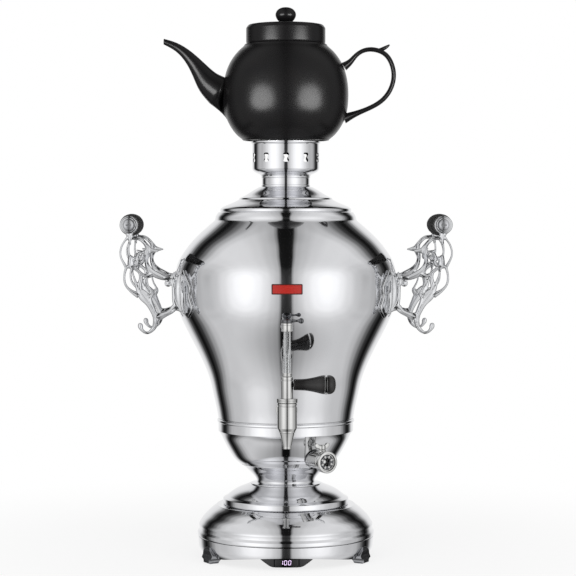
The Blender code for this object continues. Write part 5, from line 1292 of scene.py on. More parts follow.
@dataclass
class Teapot:
    """The glazed teapot: thrown pot, spout that grows out of its belly, strap handle and lid.

    Args:
        axis: The column's axis.
        wall: The pot's wall.
        mouth_radius: The radius of the mouth.
        sides: How many points ring the spout and the handle.
        root_half_height: Half the height of the spout's root on the belly.
        root_half_width: Half its width.
        root_level_share: The root's level as a share of the pot's height.
        strap_width: The handle's width.
        strap_thickness: The handle's thickness.
    """

    axis: Axis
    wall: float = 3.6 * MM
    mouth_radius: float = 46.0 * MM
    sides: int = 40
    root_half_height: float = 31.0 * MM
    root_half_width: float = 22.0 * MM
    root_level_share: float = 0.415
    strap_width: float = 11.6 * MM
    strap_thickness: float = 6.2 * MM
    glazed: List[bpy.types.Object] = field(default_factory=list)

    def build(self) -> None:
        """Build the pot, its spout, its handle and its lid."""
        self.build_pot()
        self.build_spout()
        self.build_loop()
        self.build_lid()

    def pot_radius(self) -> float:
        """Return the belly's radius, which is the pot's half depth."""
        return Space.of("teapot_body").size.y / 2

    def outline(self) -> Outline:
        """Return the pot's outer side."""
        space = Space.of("teapot_body")
        outline = Outline(self.pot_radius(), space.low.z, space.size.z)
        outline.line((0.655, 0.012, 0.0), (0.662, 0.0, 0.4 * MM), (0.682, 0.0, 0.8 * MM), (0.7, 0.014, 0.0))
        outline.curve((0.7, 0.014), (0.771, 0.052), (0.845, 0.108), (0.91, 0.178), (0.962, 0.262), (0.99, 0.355),
                      (1.0, 0.465), (0.995, 0.56), (0.975, 0.65), (0.94, 0.735), (0.885, 0.815), (0.82, 0.88),
                      (0.742, 0.938), (0.69, 0.968))
        outline.line((0.69, 0.968, 0.0), (0.668, 0.982, 0.9 * MM), (0.652, 1.0, 0.6 * MM), (0.64, 1.0, 0.0))
        return outline

    def build_pot(self) -> None:
        """Throw the pot."""
        space = Space.of("teapot_body")
        outline = self.outline()
        low, high = space.low.z, space.high.z
        inner = [spot for spot in offset(outline.points, -self.wall)
                 if low + 2 * self.wall < spot[1] < high - 1.4 * self.wall and spot[0] > self.mouth_radius]
        floor = low + 1.4 * self.wall
        inside = [(0.0, floor), (inner[0][0] - 5 * MM, floor)] + inner
        inside += [(self.mouth_radius, high - self.wall), (self.mouth_radius, high)]
        loop = [(0.0, low + 0.012 * space.size.z)] + outline.points + list(reversed(inside))
        piece = turned("pot", loop, self.axis, Steps.LARGE, closed=False)
        self.glazed.append(fit(piece, "teapot", "black_glaze", "teapot_body"))

    def rings(self, path: Sequence[Tuple[float, ...]]) -> List[List[Vector]]:
        """Return rings square to a path in the XZ plane.

        Args:
            path: Points as (across, level, half width, half height).
        Returns:
            One ring for each point.
        """
        spots = [self.axis.place + Vector((x, 0.0, z)) for x, z, _, _ in path]
        return [ring(spot, along, FRONT, wide, high, self.sides)
                for spot, along, (_, _, wide, high) in zip(spots, directions(spots), path)]

    def build_spout(self) -> None:
        """Grow the spout out of the belly and sweep it to its slanted tip."""
        space = Space.of("teapot_spout")
        pot = Space.of("teapot_body")
        reach = self.axis.place.x - space.low.x
        root = self.pot_radius()
        foot, height = pot.low.z, pot.size.z
        rise = space.high.z - foot
        path = fair([(-root - a * (reach - root), foot + b * rise, r * MM, r * MM) for a, b, r in (
            (0.07, 0.488, 20.5), (0.22, 0.56, 17.0), (0.36, 0.665, 12.6), (0.5, 0.775, 9.0), (0.64, 0.862, 6.7),
            (0.79, 0.925, 5.2), (0.93, 0.962, 4.1), (0.985, 0.974, 3.6))], 6)
        rings = self.rings(path)
        ways = directions([Vector((x, 0.0, z)) for x, z, _, _ in path])
        outline = self.outline().points
        root_level = foot + self.root_level_share * height
        first, along = rings[0], ways[0]
        start_ring = []
        for i in range(self.sides):
            angle = FULL_TURN * i / self.sides
            level = root_level + self.root_half_height * math.cos(angle)
            radius = self.radius_at(outline, level) - 0.1 * MM
            turn = self.root_half_width * math.sin(angle) / radius
            start_ring.append(self.axis.place + Vector((-radius * math.cos(turn), radius * math.sin(turn), level)))
        centre = self.axis.place + Vector((-self.radius_at(outline, root_level), 0.0, root_level))
        steps = 10
        skin: List[List[Vector]] = [start_ring]
        for step in range(1, steps):
            t = step / steps
            hoop = []
            for spot, end in zip(start_ring, first):
                span = (end - spot).length
                out = Vector((spot.x, spot.y, 0.0)) - Vector((self.axis.place.x, self.axis.place.y, 0.0))
                out.normalize()
                inward = centre - spot
                inward = (inward - out * inward.dot(out)).normalized()
                leave = (inward + out * 0.35).normalized() * span
                arrive = along * span
                hoop.append(spot * (2 * t ** 3 - 3 * t ** 2 + 1) + leave * (t ** 3 - 2 * t ** 2 + t)
                            + end * (3 * t ** 2 - 2 * t ** 3) + arrive * (t ** 3 - t ** 2))
            skin.append(hoop)
        skin += rings
        tip = skin[-1]
        middle = sum(tip, Vector()) / len(tip)
        last = ways[-1]
        slanted = [spot + last * (0.35 * (spot.z - middle.z)) for spot in tip]
        skin[-1] = slanted
        skin.append([middle + (spot - middle) * 0.8 + last * 0.5 * MM for spot in slanted])
        skin.append([middle + (spot - middle) * 0.64 for spot in slanted])
        for hoop in reversed(rings[-18:-3]):
            middle = sum(hoop, Vector()) / len(hoop)
            skin.append([middle + (spot - middle) * 0.62 for spot in hoop])
        piece = ring_loft("spout", skin)
        self.glazed.append(fit(soften(piece, 60), "teapot", "black_glaze", "teapot_spout"))

    @staticmethod
    def radius_at(outline: Sequence[Flat], level: float) -> float:
        """Return the outline's radius at a level."""
        for low, high in zip(outline, outline[1:]):
            if low[1] <= level <= high[1] and high[1] > low[1]:
                return low[0] + (high[0] - low[0]) * (level - low[1]) / (high[1] - low[1])
        return outline[-1][0]

    def build_loop(self) -> None:
        """Sweep the strap handle with its swelling roots and its thumb spur."""
        space = Space.of("teapot_body")
        reach = space.high.x - self.axis.place.x - self.strap_thickness / 2
        root = self.pot_radius() * 0.93
        foot, height = space.low.z, space.size.z * 0.975
        wide, thick = self.strap_width / 2, self.strap_thickness / 2
        path = fair([(root + a * (reach - root), foot + b * height, w * wide, t * thick) for a, b, w, t in (
            (0.0, 0.79, 1.35, 1.9), (0.115, 0.835, 1.15, 1.35), (0.235, 0.905, 1.0, 1.0), (0.41, 0.963, 0.95, 0.95),
            (0.63, 0.968, 0.95, 1.0), (0.835, 0.918, 1.0, 1.0), (0.96, 0.815, 1.0, 1.0), (1.0, 0.69, 1.0, 1.0),
            (0.945, 0.56, 1.0, 1.0), (0.77, 0.432, 1.0, 1.0), (0.5, 0.345, 1.0, 1.0), (0.235, 0.287, 1.1, 1.3),
            (0.0, 0.235, 1.4, 2.2))], 8)
        spur = fair([(root + a * (reach - root), foot + b * height, 1.3 * r * MM, r * MM) for a, b, r in (
            (0.66, 0.958, 2.4), (0.765, 0.975, 2.6), (0.87, 1.005, 1.9), (0.915, 1.022, 0.9))], 6)
        pieces = [ring_loft("loop", self.rings(path)), ring_loft("spur", self.rings(spur))]
        piece = joined("strap_handle", pieces)
        self.glazed.append(fit(soften(piece, 60), "teapot", "black_glaze", "teapot_body"))

    def build_lid(self) -> None:
        """Throw the drum-shaped lid with its ball knob."""
        space = Space.of("teapot_lid")
        rim = Space.of("teapot_body").high.z + 0.3 * MM
        outline = Outline(space.radius, rim, space.high.z - rim)
        outline.line((0.955, 0.0, 0.0), (0.985, 0.004, 0.9 * MM), (1.0, 0.05, 1.2 * MM), (1.0, 0.43, 3.2 * MM),
                     (0.945, 0.515, 3.0 * MM), (0.85, 0.533, 0.0))
        outline.curve((0.85, 0.533), (0.6, 0.5385), (0.3, 0.5395), (0.16, 0.54))
        outline.line((0.16, 0.54, 0.0), (0.108, 0.5405, 0.8 * MM), (0.104, 0.57, 0.0))
        outline.curve((0.104, 0.57), (0.15, 0.6), (0.208, 0.655), (0.247, 0.73), (0.2595, 0.79), (0.246, 0.862),
                      (0.2, 0.932), (0.13, 0.978), (0.06, 0.9975), (0.0, 1.0))
        spigot = self.mouth_radius - 0.4 * MM
        low, top = space.low.z, rim + 0.44 * (space.high.z - rim)
        inside = rounded([(spigot - self.wall, low, 0.0), (spigot - self.wall, top, 3 * MM), (0.0, top, 0.0)])
        loop = [(spigot, low), (spigot, rim)] + outline.points + list(reversed(inside))
        piece = turned("pot_lid", loop + [loop[0]], self.axis, Steps.LARGE, closed=False)
        self.glazed.append(fit(piece, "teapot_lid", "black_glaze", "teapot_lid"))

    def dress(self) -> None:
        """Glaze every piece."""
        coat(self.glazed, POT_GLAZE, "glaze")


@dataclass(frozen=True)
class Strand:
    """One tapered stem of a scroll casting.

    Args:
        spots: Its places as (outwards from the grip, up from the grip, width, thickness), in millimetres.
        lift: How far its middle lies in front of the casting's middle plane, in millimetres.
    """

    spots: Tuple[Tuple[float, float, float, float], ...]
    lift: float = 0.0


SCROLL = (
    Strand(((1.0, -5.1, 13.6, 8.5), (-0.2, -9.7, 10.9, 8.0), (-1.2, -14.2, 8.4, 7.5), (-2.0, -18.7, 7.3, 7.0))),
    Strand(((0.1, -15.1, 5.5, 6.0), (3.8, -18.9, 3.1, 5.0), (8.0, -24.9, 2.6, 4.6), (10.6, -32.4, 2.6, 4.6),
            (11.0, -37.8, 2.6, 4.6), (9.7, -43.3, 2.8, 4.8), (7.0, -48.7, 3.3, 5.2), (3.8, -54.2, 4.2, 6.0))),
    Strand(((2.2, -53.1, 4.2, 6.0), (4.6, -59.2, 3.3, 5.0), (5.9, -66.0, 2.9, 4.8), (5.7, -72.8, 3.0, 4.8),
            (3.7, -78.7, 3.1, 5.0), (-0.5, -83.7, 3.8, 5.4), (-6.0, -87.8, 5.6, 6.0), (-12.8, -91.5, 8.2, 6.4))),
    Strand(((-1.5, -16.9, 4.0, 6.0), (-0.6, -23.3, 2.6, 5.0), (0.1, -29.7, 2.4, 4.8), (0.0, -36.0, 2.7, 5.0),
            (-1.7, -41.9, 4.0, 6.0), (-3.2, -46.9, 5.5, 6.4))),
    Strand(((-1.9, -39.7, 5.5, 6.4), (-2.4, -46.0, 8.2, 7.0), (-2.6, -51.5, 9.1, 7.0), (-2.8, -56.5, 6.4, 6.4))),
    Strand(((-5.5, -54.2, 5.5, 6.4), (-9.3, -52.6, 4.2, 6.0), (-11.5, -48.7, 3.6, 5.6), (-10.6, -45.1, 3.3, 5.4),
            (-7.5, -44.2, 2.7, 5.0), (-5.9, -46.7, 2.0, 4.4))),
    Strand(((-21.0, -36.9, 5.5, 6.4), (-18.2, -34.9, 4.0, 5.8), (-14.6, -35.7, 3.8, 5.6), (-11.7, -38.4, 4.2, 5.8),
            (-10.8, -42.2, 4.5, 6.0), (-13.0, -45.6, 4.0, 5.8), (-16.4, -45.1, 3.1, 5.2), (-17.1, -41.8, 2.4, 4.8),
            (-15.0, -40.6, 1.8, 4.2))),
    Strand(((-16.4, -34.9, 4.2, 5.8), (-12.8, -33.8, 3.1, 5.0), (-9.7, -32.4, 1.3, 3.6))),
    Strand(((-5.5, -42.2, 4.2, 6.0), (-9.0, -44.4, 4.0, 6.0), (-11.9, -46.9, 3.6, 5.6))),
    Strand(((-8.2, -16.9, 5.5, 6.5), (-13.7, -17.7, 5.1, 6.2), (-19.0, -21.5, 5.3, 6.4), (-23.0, -26.5, 6.0, 6.6),
            (-25.0, -32.4, 9.1, 7.0), (-23.7, -38.7, 7.6, 6.8), (-22.6, -45.1, 5.5, 6.4), (-23.5, -51.5, 6.0, 6.4),
            (-27.1, -58.3, 8.0, 6.8), (-32.8, -63.1, 8.7, 7.0), (-39.1, -66.2, 8.4, 6.8), (-46.4, -68.7, 6.4, 6.4),
            (-52.8, -69.3, 5.1, 6.0), (-58.0, -70.5, 5.0, 6.0))),
    Strand(((-2.0, -15.5, 6.0, 6.5), (-5.5, -16.6, 5.6, 6.5), (-9.5, -17.0, 5.4, 6.4))),
    Strand(((-26.4, -32.8, 9.1, 6.8), (-31.9, -33.5, 5.6, 5.6), (-36.0, -33.7, 3.1, 4.4), (-38.8, -33.7, 1.1, 3.2))),
    Strand(((-8.2, -56.5, 4.5, 6.2), (-13.7, -61.0, 4.4, 6.0), (-19.0, -65.1, 4.7, 6.2), (-24.6, -65.8, 6.4, 6.6),
            (-30.0, -63.7, 7.6, 6.8))),
    Strand(((-3.0, -54.0, 4.0, 6.0), (-8.2, -56.8, 4.5, 6.2))),
    Strand(((-3.9, -56.0, 3.1, 5.0), (-4.8, -61.5, 2.5, 4.6), (-6.6, -67.8, 2.6, 4.6), (-8.8, -74.2, 3.6, 5.0),
            (-11.1, -80.6, 5.8, 6.0), (-13.5, -86.0, 7.5, 6.2))),
    Strand(((-12.2, -58.3, 3.6, 5.4), (-14.4, -63.7, 3.8, 5.4), (-15.5, -69.2, 5.1, 6.0), (-14.4, -75.1, 6.0, 6.0),
            (-13.5, -80.6, 6.9, 6.2), (-14.6, -86.9, 8.2, 6.4))),
    Strand(((-24.2, -66.0, 3.6, 5.0), (-23.5, -71.5, 2.5, 4.4), (-24.2, -76.0, 2.3, 4.2), (-26.0, -80.6, 2.4, 4.2),
            (-28.2, -84.6, 2.7, 4.2), (-29.0, -88.0, 2.6, 4.4))),
    Strand(((-14.6, -86.0, 10.0, 6.6), (-18.7, -91.5, 13.6, 7.0), (-23.5, -96.9, 12.7, 7.0),
            (-27.5, -103.3, 9.8, 7.0), (-31.1, -110.6, 8.4, 7.0), (-34.0, -118.3, 7.6, 7.0),
            (-34.6, -126.0, 7.3, 6.8), (-32.6, -132.8, 6.2, 6.4), (-28.4, -137.8, 4.7, 6.0),
            (-23.5, -140.1, 3.6, 5.6), (-19.0, -138.4, 3.8, 5.8), (-16.0, -134.9, 5.1, 6.4),
            (-14.8, -131.6, 6.9, 7.0),
            (-14.5, -128.6, 5.6, 6.6), (-14.5, -127.2, 2.0, 4.0))),
    Strand(((-23.7, -98.7, 5.5, 6.0), (-27.5, -94.0, 5.6, 6.0), (-29.7, -89.6, 4.7, 5.4), (-29.3, -85.3, 1.8, 3.8))),
    Strand(((-14.6, -81.5, 4.5, 6.0), (-15.5, -87.4, 5.5, 6.0), (-19.1, -91.5, 5.5, 6.0), (-24.6, -91.5, 4.5, 5.6),
            (-28.2, -87.8, 2.7, 4.6))),
    Strand(((-34.6, -118.7, 10.9, 7.0), (-40.2, -118.7, 9.6, 7.0), (-45.5, -116.6, 7.8, 6.6),
            (-50.6, -114.2, 6.9, 6.4), (-55.5, -111.0, 7.6, 6.6), (-59.6, -106.9, 9.1, 6.8),
            (-64.1, -107.8, 8.2, 6.4),
            (-69.1, -111.5, 5.5, 6.0))),
    Strand(((-55.5, -66.0, 4.5, 6.0), (-57.1, -73.3, 5.1, 6.0), (-57.8, -81.5, 4.5, 5.6), (-58.0, -90.6, 4.5, 5.6),
            (-58.8, -98.7, 5.3, 6.0), (-60.9, -106.0, 6.9, 6.4))),
    Strand(((-56.9, -70.5, 4.6, 6.0), (-56.2, -66.8, 3.8, 5.0), (-55.2, -63.3, 1.6, 3.4))),
    Strand(((-58.6, -70.5, 4.6, 6.0), (-58.8, -65.4, 4.0, 5.0), (-58.6, -60.8, 1.4, 3.2))),
    Strand(((-60.0, -71.0, 5.5, 6.0), (-62.8, -68.4, 4.4, 5.0), (-65.6, -65.4, 1.6, 3.4))),
    Strand(((-66.6, -64.5, 5.0, 6.0), (-66.8, -71.0, 12.5, 12.0), (-66.6, -80.0, 16.5, 16.0),
            (-66.6, -91.0, 16.5, 15.5), (-67.2, -101.0, 12.5, 12.0), (-69.0, -109.0, 7.0, 8.0),
            (-71.5, -115.5, 3.0, 4.0))),
    Strand(((-3.2, -54.2, 3.2, 3.0), (-8.6, -52.8, 2.6, 2.6), (-11.4, -49.0, 2.2, 2.4), (-10.4, -45.2, 2.0, 2.2),
            (-7.4, -44.6, 1.8, 2.0), (-6.1, -46.9, 1.6, 2.0)), 3.1),
    Strand(((-18.4, -35.0, 2.4, 2.4), (-14.6, -35.9, 2.3, 2.4), (-11.9, -38.6, 2.4, 2.6), (-11.0, -42.1, 2.5, 2.6),
            (-13.1, -45.2, 2.3, 2.4), (-16.1, -44.7, 2.0, 2.2), (-16.7, -42.0, 1.8, 2.0),
            (-15.0, -41.0, 1.6, 2.0)), 3.1),
    Strand(((-19.0, -21.5, 1.6, 2.0), (-23.0, -26.5, 2.0, 2.2), (-25.0, -32.4, 2.6, 2.6), (-23.7, -38.7, 2.4, 2.4),
            (-22.6, -45.1, 1.8, 2.2), (-23.5, -51.5, 2.0, 2.2), (-27.1, -58.3, 2.4, 2.4), (-32.8, -63.1, 2.4, 2.4),
            (-39.1, -66.2, 2.0, 2.2), (-45.4, -68.4, 1.4, 2.0)), 3.2),
    Strand(((-14.6, -85.0, 1.8, 2.0), (-18.7, -91.5, 2.6, 2.4), (-23.5, -97.4, 2.8, 2.6), (-27.5, -103.6, 2.4, 2.4),
            (-31.1, -110.6, 2.0, 2.2), (-34.0, -118.3, 2.0, 2.2), (-34.6, -126.0, 1.8, 2.2),
            (-32.6, -132.8, 1.4, 2.0)), 3.2),
    Strand(((-35.5, -119.6, 1.8, 2.2), (-40.2, -118.9, 2.4, 2.4), (-45.5, -116.6, 2.0, 2.2),
            (-50.6, -114.2, 1.6, 2.0), (-55.5, -111.0, 1.6, 2.0)), 3.1),
    Strand(((-0.6, -12.0, 2.6, 3.0), (-1.4, -18.0, 2.8, 3.2), (-2.0, -26.0, 1.0, 2.0)), 3.2),
    Strand(((-2.2, -40.0, 2.4, 2.6), (-1.2, -46.0, 2.8, 3.0), (-2.2, -53.0, 2.6, 2.8), (-4.4, -60.0, 1.4, 2.0)), 3.2),
)


@dataclass
class Handles:
    """The four openwork scroll castings with their leaf flanges, the two barrel grips and their ties.

    Args:
        axis: The column's axis.
        tank: The tank that the castings sit on.
        eye_radius: The radius of the disc round each grip's end.
        tie_bore: The radius of the hole for the tie rod.
        tie_radius: The tie rod's radius.
        tie_head: How high its heads are.
        voxel: The size of the casting's finest feature.
        faces: How many faces one casting keeps.
        flange_rise: How far the leaf flange stands off the body.
        seat: The gap between the flange and the body.
        sides: How many sides each strand gets.
        ridges: How many ridges each grip has.
        ridge_depth: How deep the valleys between them are.
    """

    axis: Axis
    tank: Tank
    ridges: int = 15
    ridge_depth: float = 1.2 * MM
    eye_radius: float = 11.7 * MM
    tie_bore: float = 3.5 * MM
    tie_radius: float = 3.0 * MM
    tie_head: float = 3.0 * MM
    voxel: float = 0.55 * MM
    faces: int = 26000
    flange_rise: float = 3.0 * MM
    seat: float = 0.3 * MM
    sides: int = 12
    corners: Tuple[Tuple[str, float, float], ...] = (
        ("front_left", 1.0, 1.0), ("front_right", -1.0, 1.0), ("rear_left", 1.0, -1.0), ("rear_right", -1.0, -1.0))
    castings: List[bpy.types.Object] = field(default_factory=list)
    grips: List[bpy.types.Object] = field(default_factory=list)
    ties: List[bpy.types.Object] = field(default_factory=list)

    def build(self) -> None:
        """Model one casting, copy it to the four corners, and turn the grips and ties."""
        self.build_castings()
        for side in ("left", "right"):
            self.build_grip(side)
            self.build_tie(side)

    def eye(self, side: str) -> Vector:
        """Return the middle of a grip."""
        return Space.of("grip_" + side).middle

    def strand(self, strand: Strand, plane: Vector, turned_back: bool = False) -> bpy.types.Object:
        """Loft one strand in the left front casting.

        Args:
            strand: Its places and sizes.
            plane: The grip's middle in the casting's middle plane.
            turned_back: Whether it lies on the rear face.
        Returns:
            The closed strand.
        """
        lift = strand.lift * MM * (1 if turned_back else -1)
        path = fair(strand.spots, 5)
        spots = [plane + Vector((-out * MM, lift, up * MM)) for out, up, _, _ in path]
        rings = [ring(spot, along, FRONT, thick * MM / 2, wide * MM / 2, self.sides)
                 for spot, along, (_, _, wide, thick) in zip(spots, directions(spots), path)]
        return ring_loft("strand", rings)

    def leaf(self, casting: Space, plane: Vector) -> bpy.types.Object:
        """Cut the leaf flange out of a skin that follows the body.

        Args:
            casting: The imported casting's box.
            plane: The grip's middle in the casting's middle plane.
        Returns:
            The closed flange.
        """
        half = casting.high.y - plane.y
        low, high = plane.z - 121 * MM, plane.z - 58 * MM
        tall = high - low
        shares = fair([(0.0, 1.0), (0.35, 0.9), (0.78, 0.76), (0.98, 0.6), (0.8, 0.45), (0.96, 0.28), (0.55, 0.1),
                       (0.0, 0.0)], 6)
        outline = [(half * x, low + tall * y - self.axis.place.z) for x, y in shares]
        outline += [(-x, y) for x, y in reversed(outline[1:-1])]
        sideways = Axis(Vector((self.axis.place.x, plane.y, 0.0)), RIGHT, BACK)
        piece = slab("leaf", outline, sideways, -160 * MM, -100 * MM)
        combine(piece, [self.tank.skin("outside", self.flange_rise)], "INTERSECT")
        return combine(piece, [self.tank.skin("inside", self.seat / 2)], "DIFFERENCE")

    def rosette(self, plane: Vector) -> List[bpy.types.Object]:
        """Make the small ring of curls where the upper stem meets the flange."""
        turns = [FULL_TURN * i / 8 for i in range(9)]
        ring_spots = [(-50.8 + 3.4 * math.cos(t), -75.6 + 3.4 * math.sin(t), 2.6, 4.6) for t in turns]
        ball = ((-50.8, -77.6, 0.6, 1.0), (-50.8, -76.6, 3.0, 4.6), (-50.8, -74.6, 3.0, 4.6),
                (-50.8, -73.6, 0.6, 1.0))
        return [self.strand(Strand(tuple(ring_spots)), plane), self.strand(Strand(ball), plane)]

    def eye_disc(self, plane: Vector) -> bpy.types.Object:
        """Turn the stepped disc that carries the end of the grip."""
        half = 5.1 * MM
        outline = rounded([(self.tie_bore, -half, 0.0), (8.3 * MM, -half, 0.4 * MM),
                           (9.1 * MM, 0.9 * MM - half, 0.4 * MM),
                           (self.eye_radius - 0.8 * MM, 0.9 * MM - half, 1.0 * MM),
                           (self.eye_radius, 2.2 * MM - half, 1.0 * MM), (self.eye_radius, half - 2.2 * MM, 1.0 * MM),
                           (self.eye_radius - 0.8 * MM, half - 0.9 * MM, 1.0 * MM),
                           (9.1 * MM, half - 0.9 * MM, 0.4 * MM), (8.3 * MM, half, 0.4 * MM),
                           (self.tie_bore, half, 0.0)])
        return turned("eye", outline, Axis(plane, BACK), Steps.MIDDLE)

    def build_castings(self) -> None:
        """Model the left front casting from strands, melt them together, and mirror it to the corners."""
        casting = Space.of("handle_casting_front_left")
        eye = self.eye("left")
        plane = Vector((eye.x, casting.low.y + casting.size.y / 2, eye.z))
        parts = [self.strand(strand, plane) for strand in SCROLL]
        parts += [self.strand(strand, plane, turned_back=True) for strand in SCROLL if strand.lift]
        parts += self.rosette(plane)
        parts.append(self.leaf(casting, plane))
        piece = joined("handle_casting", parts)
        apply_modifier(piece, "REMESH", mode="VOXEL", voxel_size=self.voxel)
        apply_modifier(piece, "SMOOTH", factor=0.5, iterations=3)
        slot = Strand(((-70.0, -72.5, 1.6, 8.0), (-70.2, -76.0, 3.8, 9.0), (-70.2, -84.5, 3.8, 9.0),
                       (-70.0, -88.0, 1.6, 8.0)), 9.4)
        combine(piece, [self.strand(slot, plane)], "DIFFERENCE")
        apply_modifier(piece, "DECIMATE", ratio=min(1.0, self.faces / (2 * len(piece.data.polygons))))
        bore = rod("bore", Axis(plane, BACK), self.tie_bore, -9 * MM, 9 * MM)
        combine(piece, [self.tank.skin("room", self.seat), bore], "DIFFERENCE")
        soften(clean(piece), 60)
        master = joined("handle_casting", [piece, self.eye_disc(plane)])
        for name, across, along in self.corners:
            copy = copied(master, "scroll_" + name, self.axis.around(Matrix.Diagonal((across, along, 1.0, 1.0))))
            self.castings.append(fit(clean(copy), "root", "cast_chrome", "handle_casting_" + name))
        bpy.data.objects.remove(master)

    def build_grip(self, side: str) -> None:
        """Turn a ridged barrel grip with a groove near each end.

        Args:
            side: left or right.
        """
        space = Space.of("grip_" + side)
        half, widest = space.size.y / 2, space.size.x / 2
        shares = [(0.79, 1.0), (0.835, 0.985), (0.855, 0.955), (0.86, 0.885)]
        groove = [(0.845, 0.872), (0.775, 0.862), (0.765, 0.845), (0.775, 0.828), (0.885, 0.816)]
        barrel = [(0.885, 0.816), (0.935, 0.66), (0.978, 0.38), (1.0, 0.0)]
        upper = [(x * widest, y * half) for x, y in shares + groove]
        for x, y in fair(barrel, 28)[1:]:
            wave = abs(math.cos(math.pi * self.ridges * y / (2 * barrel[0][1])))
            upper.append((x * widest - self.ridge_depth * (1.0 - wave), y * half))
        outline = [(self.tie_bore, half)] + upper
        outline = [(x, -y) for x, y in outline] + list(reversed(outline[:-1]))
        axis = Axis(space.middle, BACK)
        piece = turned("grip_barrel_" + side, outline, axis, Steps.MIDDLE, smooth_degrees=38)
        self.grips.append(fit(piece, "root", "black_phenolic", "grip_" + side))

    def build_tie(self, side: str) -> None:
        """Turn the tie rod through a grip, with a domed head that has a cross recess at each end.

        Args:
            side: left or right.
        """
        space = Space.of("grip_tie_" + side)
        half, head = space.size.y / 2, space.size.x / 2
        inside = half - self.tie_head
        dome = [(0.0, 1.0), (0.34, 0.97), (0.66, 0.82), (0.88, 0.55), (0.985, 0.22), (1.0, 0.0)]
        upper = [(x * head, inside + y * (half - inside)) for x, y in fair(dome, 4)]
        upper += [(self.tie_radius, inside)]
        outline = [(x, -y) for x, y in upper] + list(reversed(upper))
        axis = Axis(space.middle, BACK)
        piece = turned("tie_" + side, outline, axis, Steps.MIDDLE)
        deep = 1.1 * MM
        for wide, tall in ((1.5 * MM, 7.4 * MM), (7.4 * MM, 1.5 * MM)):
            for end in (-1, 1):
                bpy.ops.mesh.primitive_cube_add(size=1.0, location=space.middle + Vector((0.0, end * half, 0.0)),
                                                scale=(wide, 2 * deep, tall))
                combine(piece, [settle(bpy.context.object)], "DIFFERENCE")
        self.ties.append(fit(soften(clean(piece), 40), "root", "plain_steel", "grip_tie_" + side))

    def dress(self) -> None:
        """Give the castings, grips and ties their finishes."""
        coat(self.castings, CASTING, "chrome")
        coat(self.grips, DULL_PHENOLIC, "phenolic")
        coat(self.ties, TIE_METAL, "metal")


def along(direction: Vector, place: Vector, across: Vector) -> Axis:
    """Return a line through a place, with its across direction."""
    return Axis(place, direction.normalized(), across.normalized())


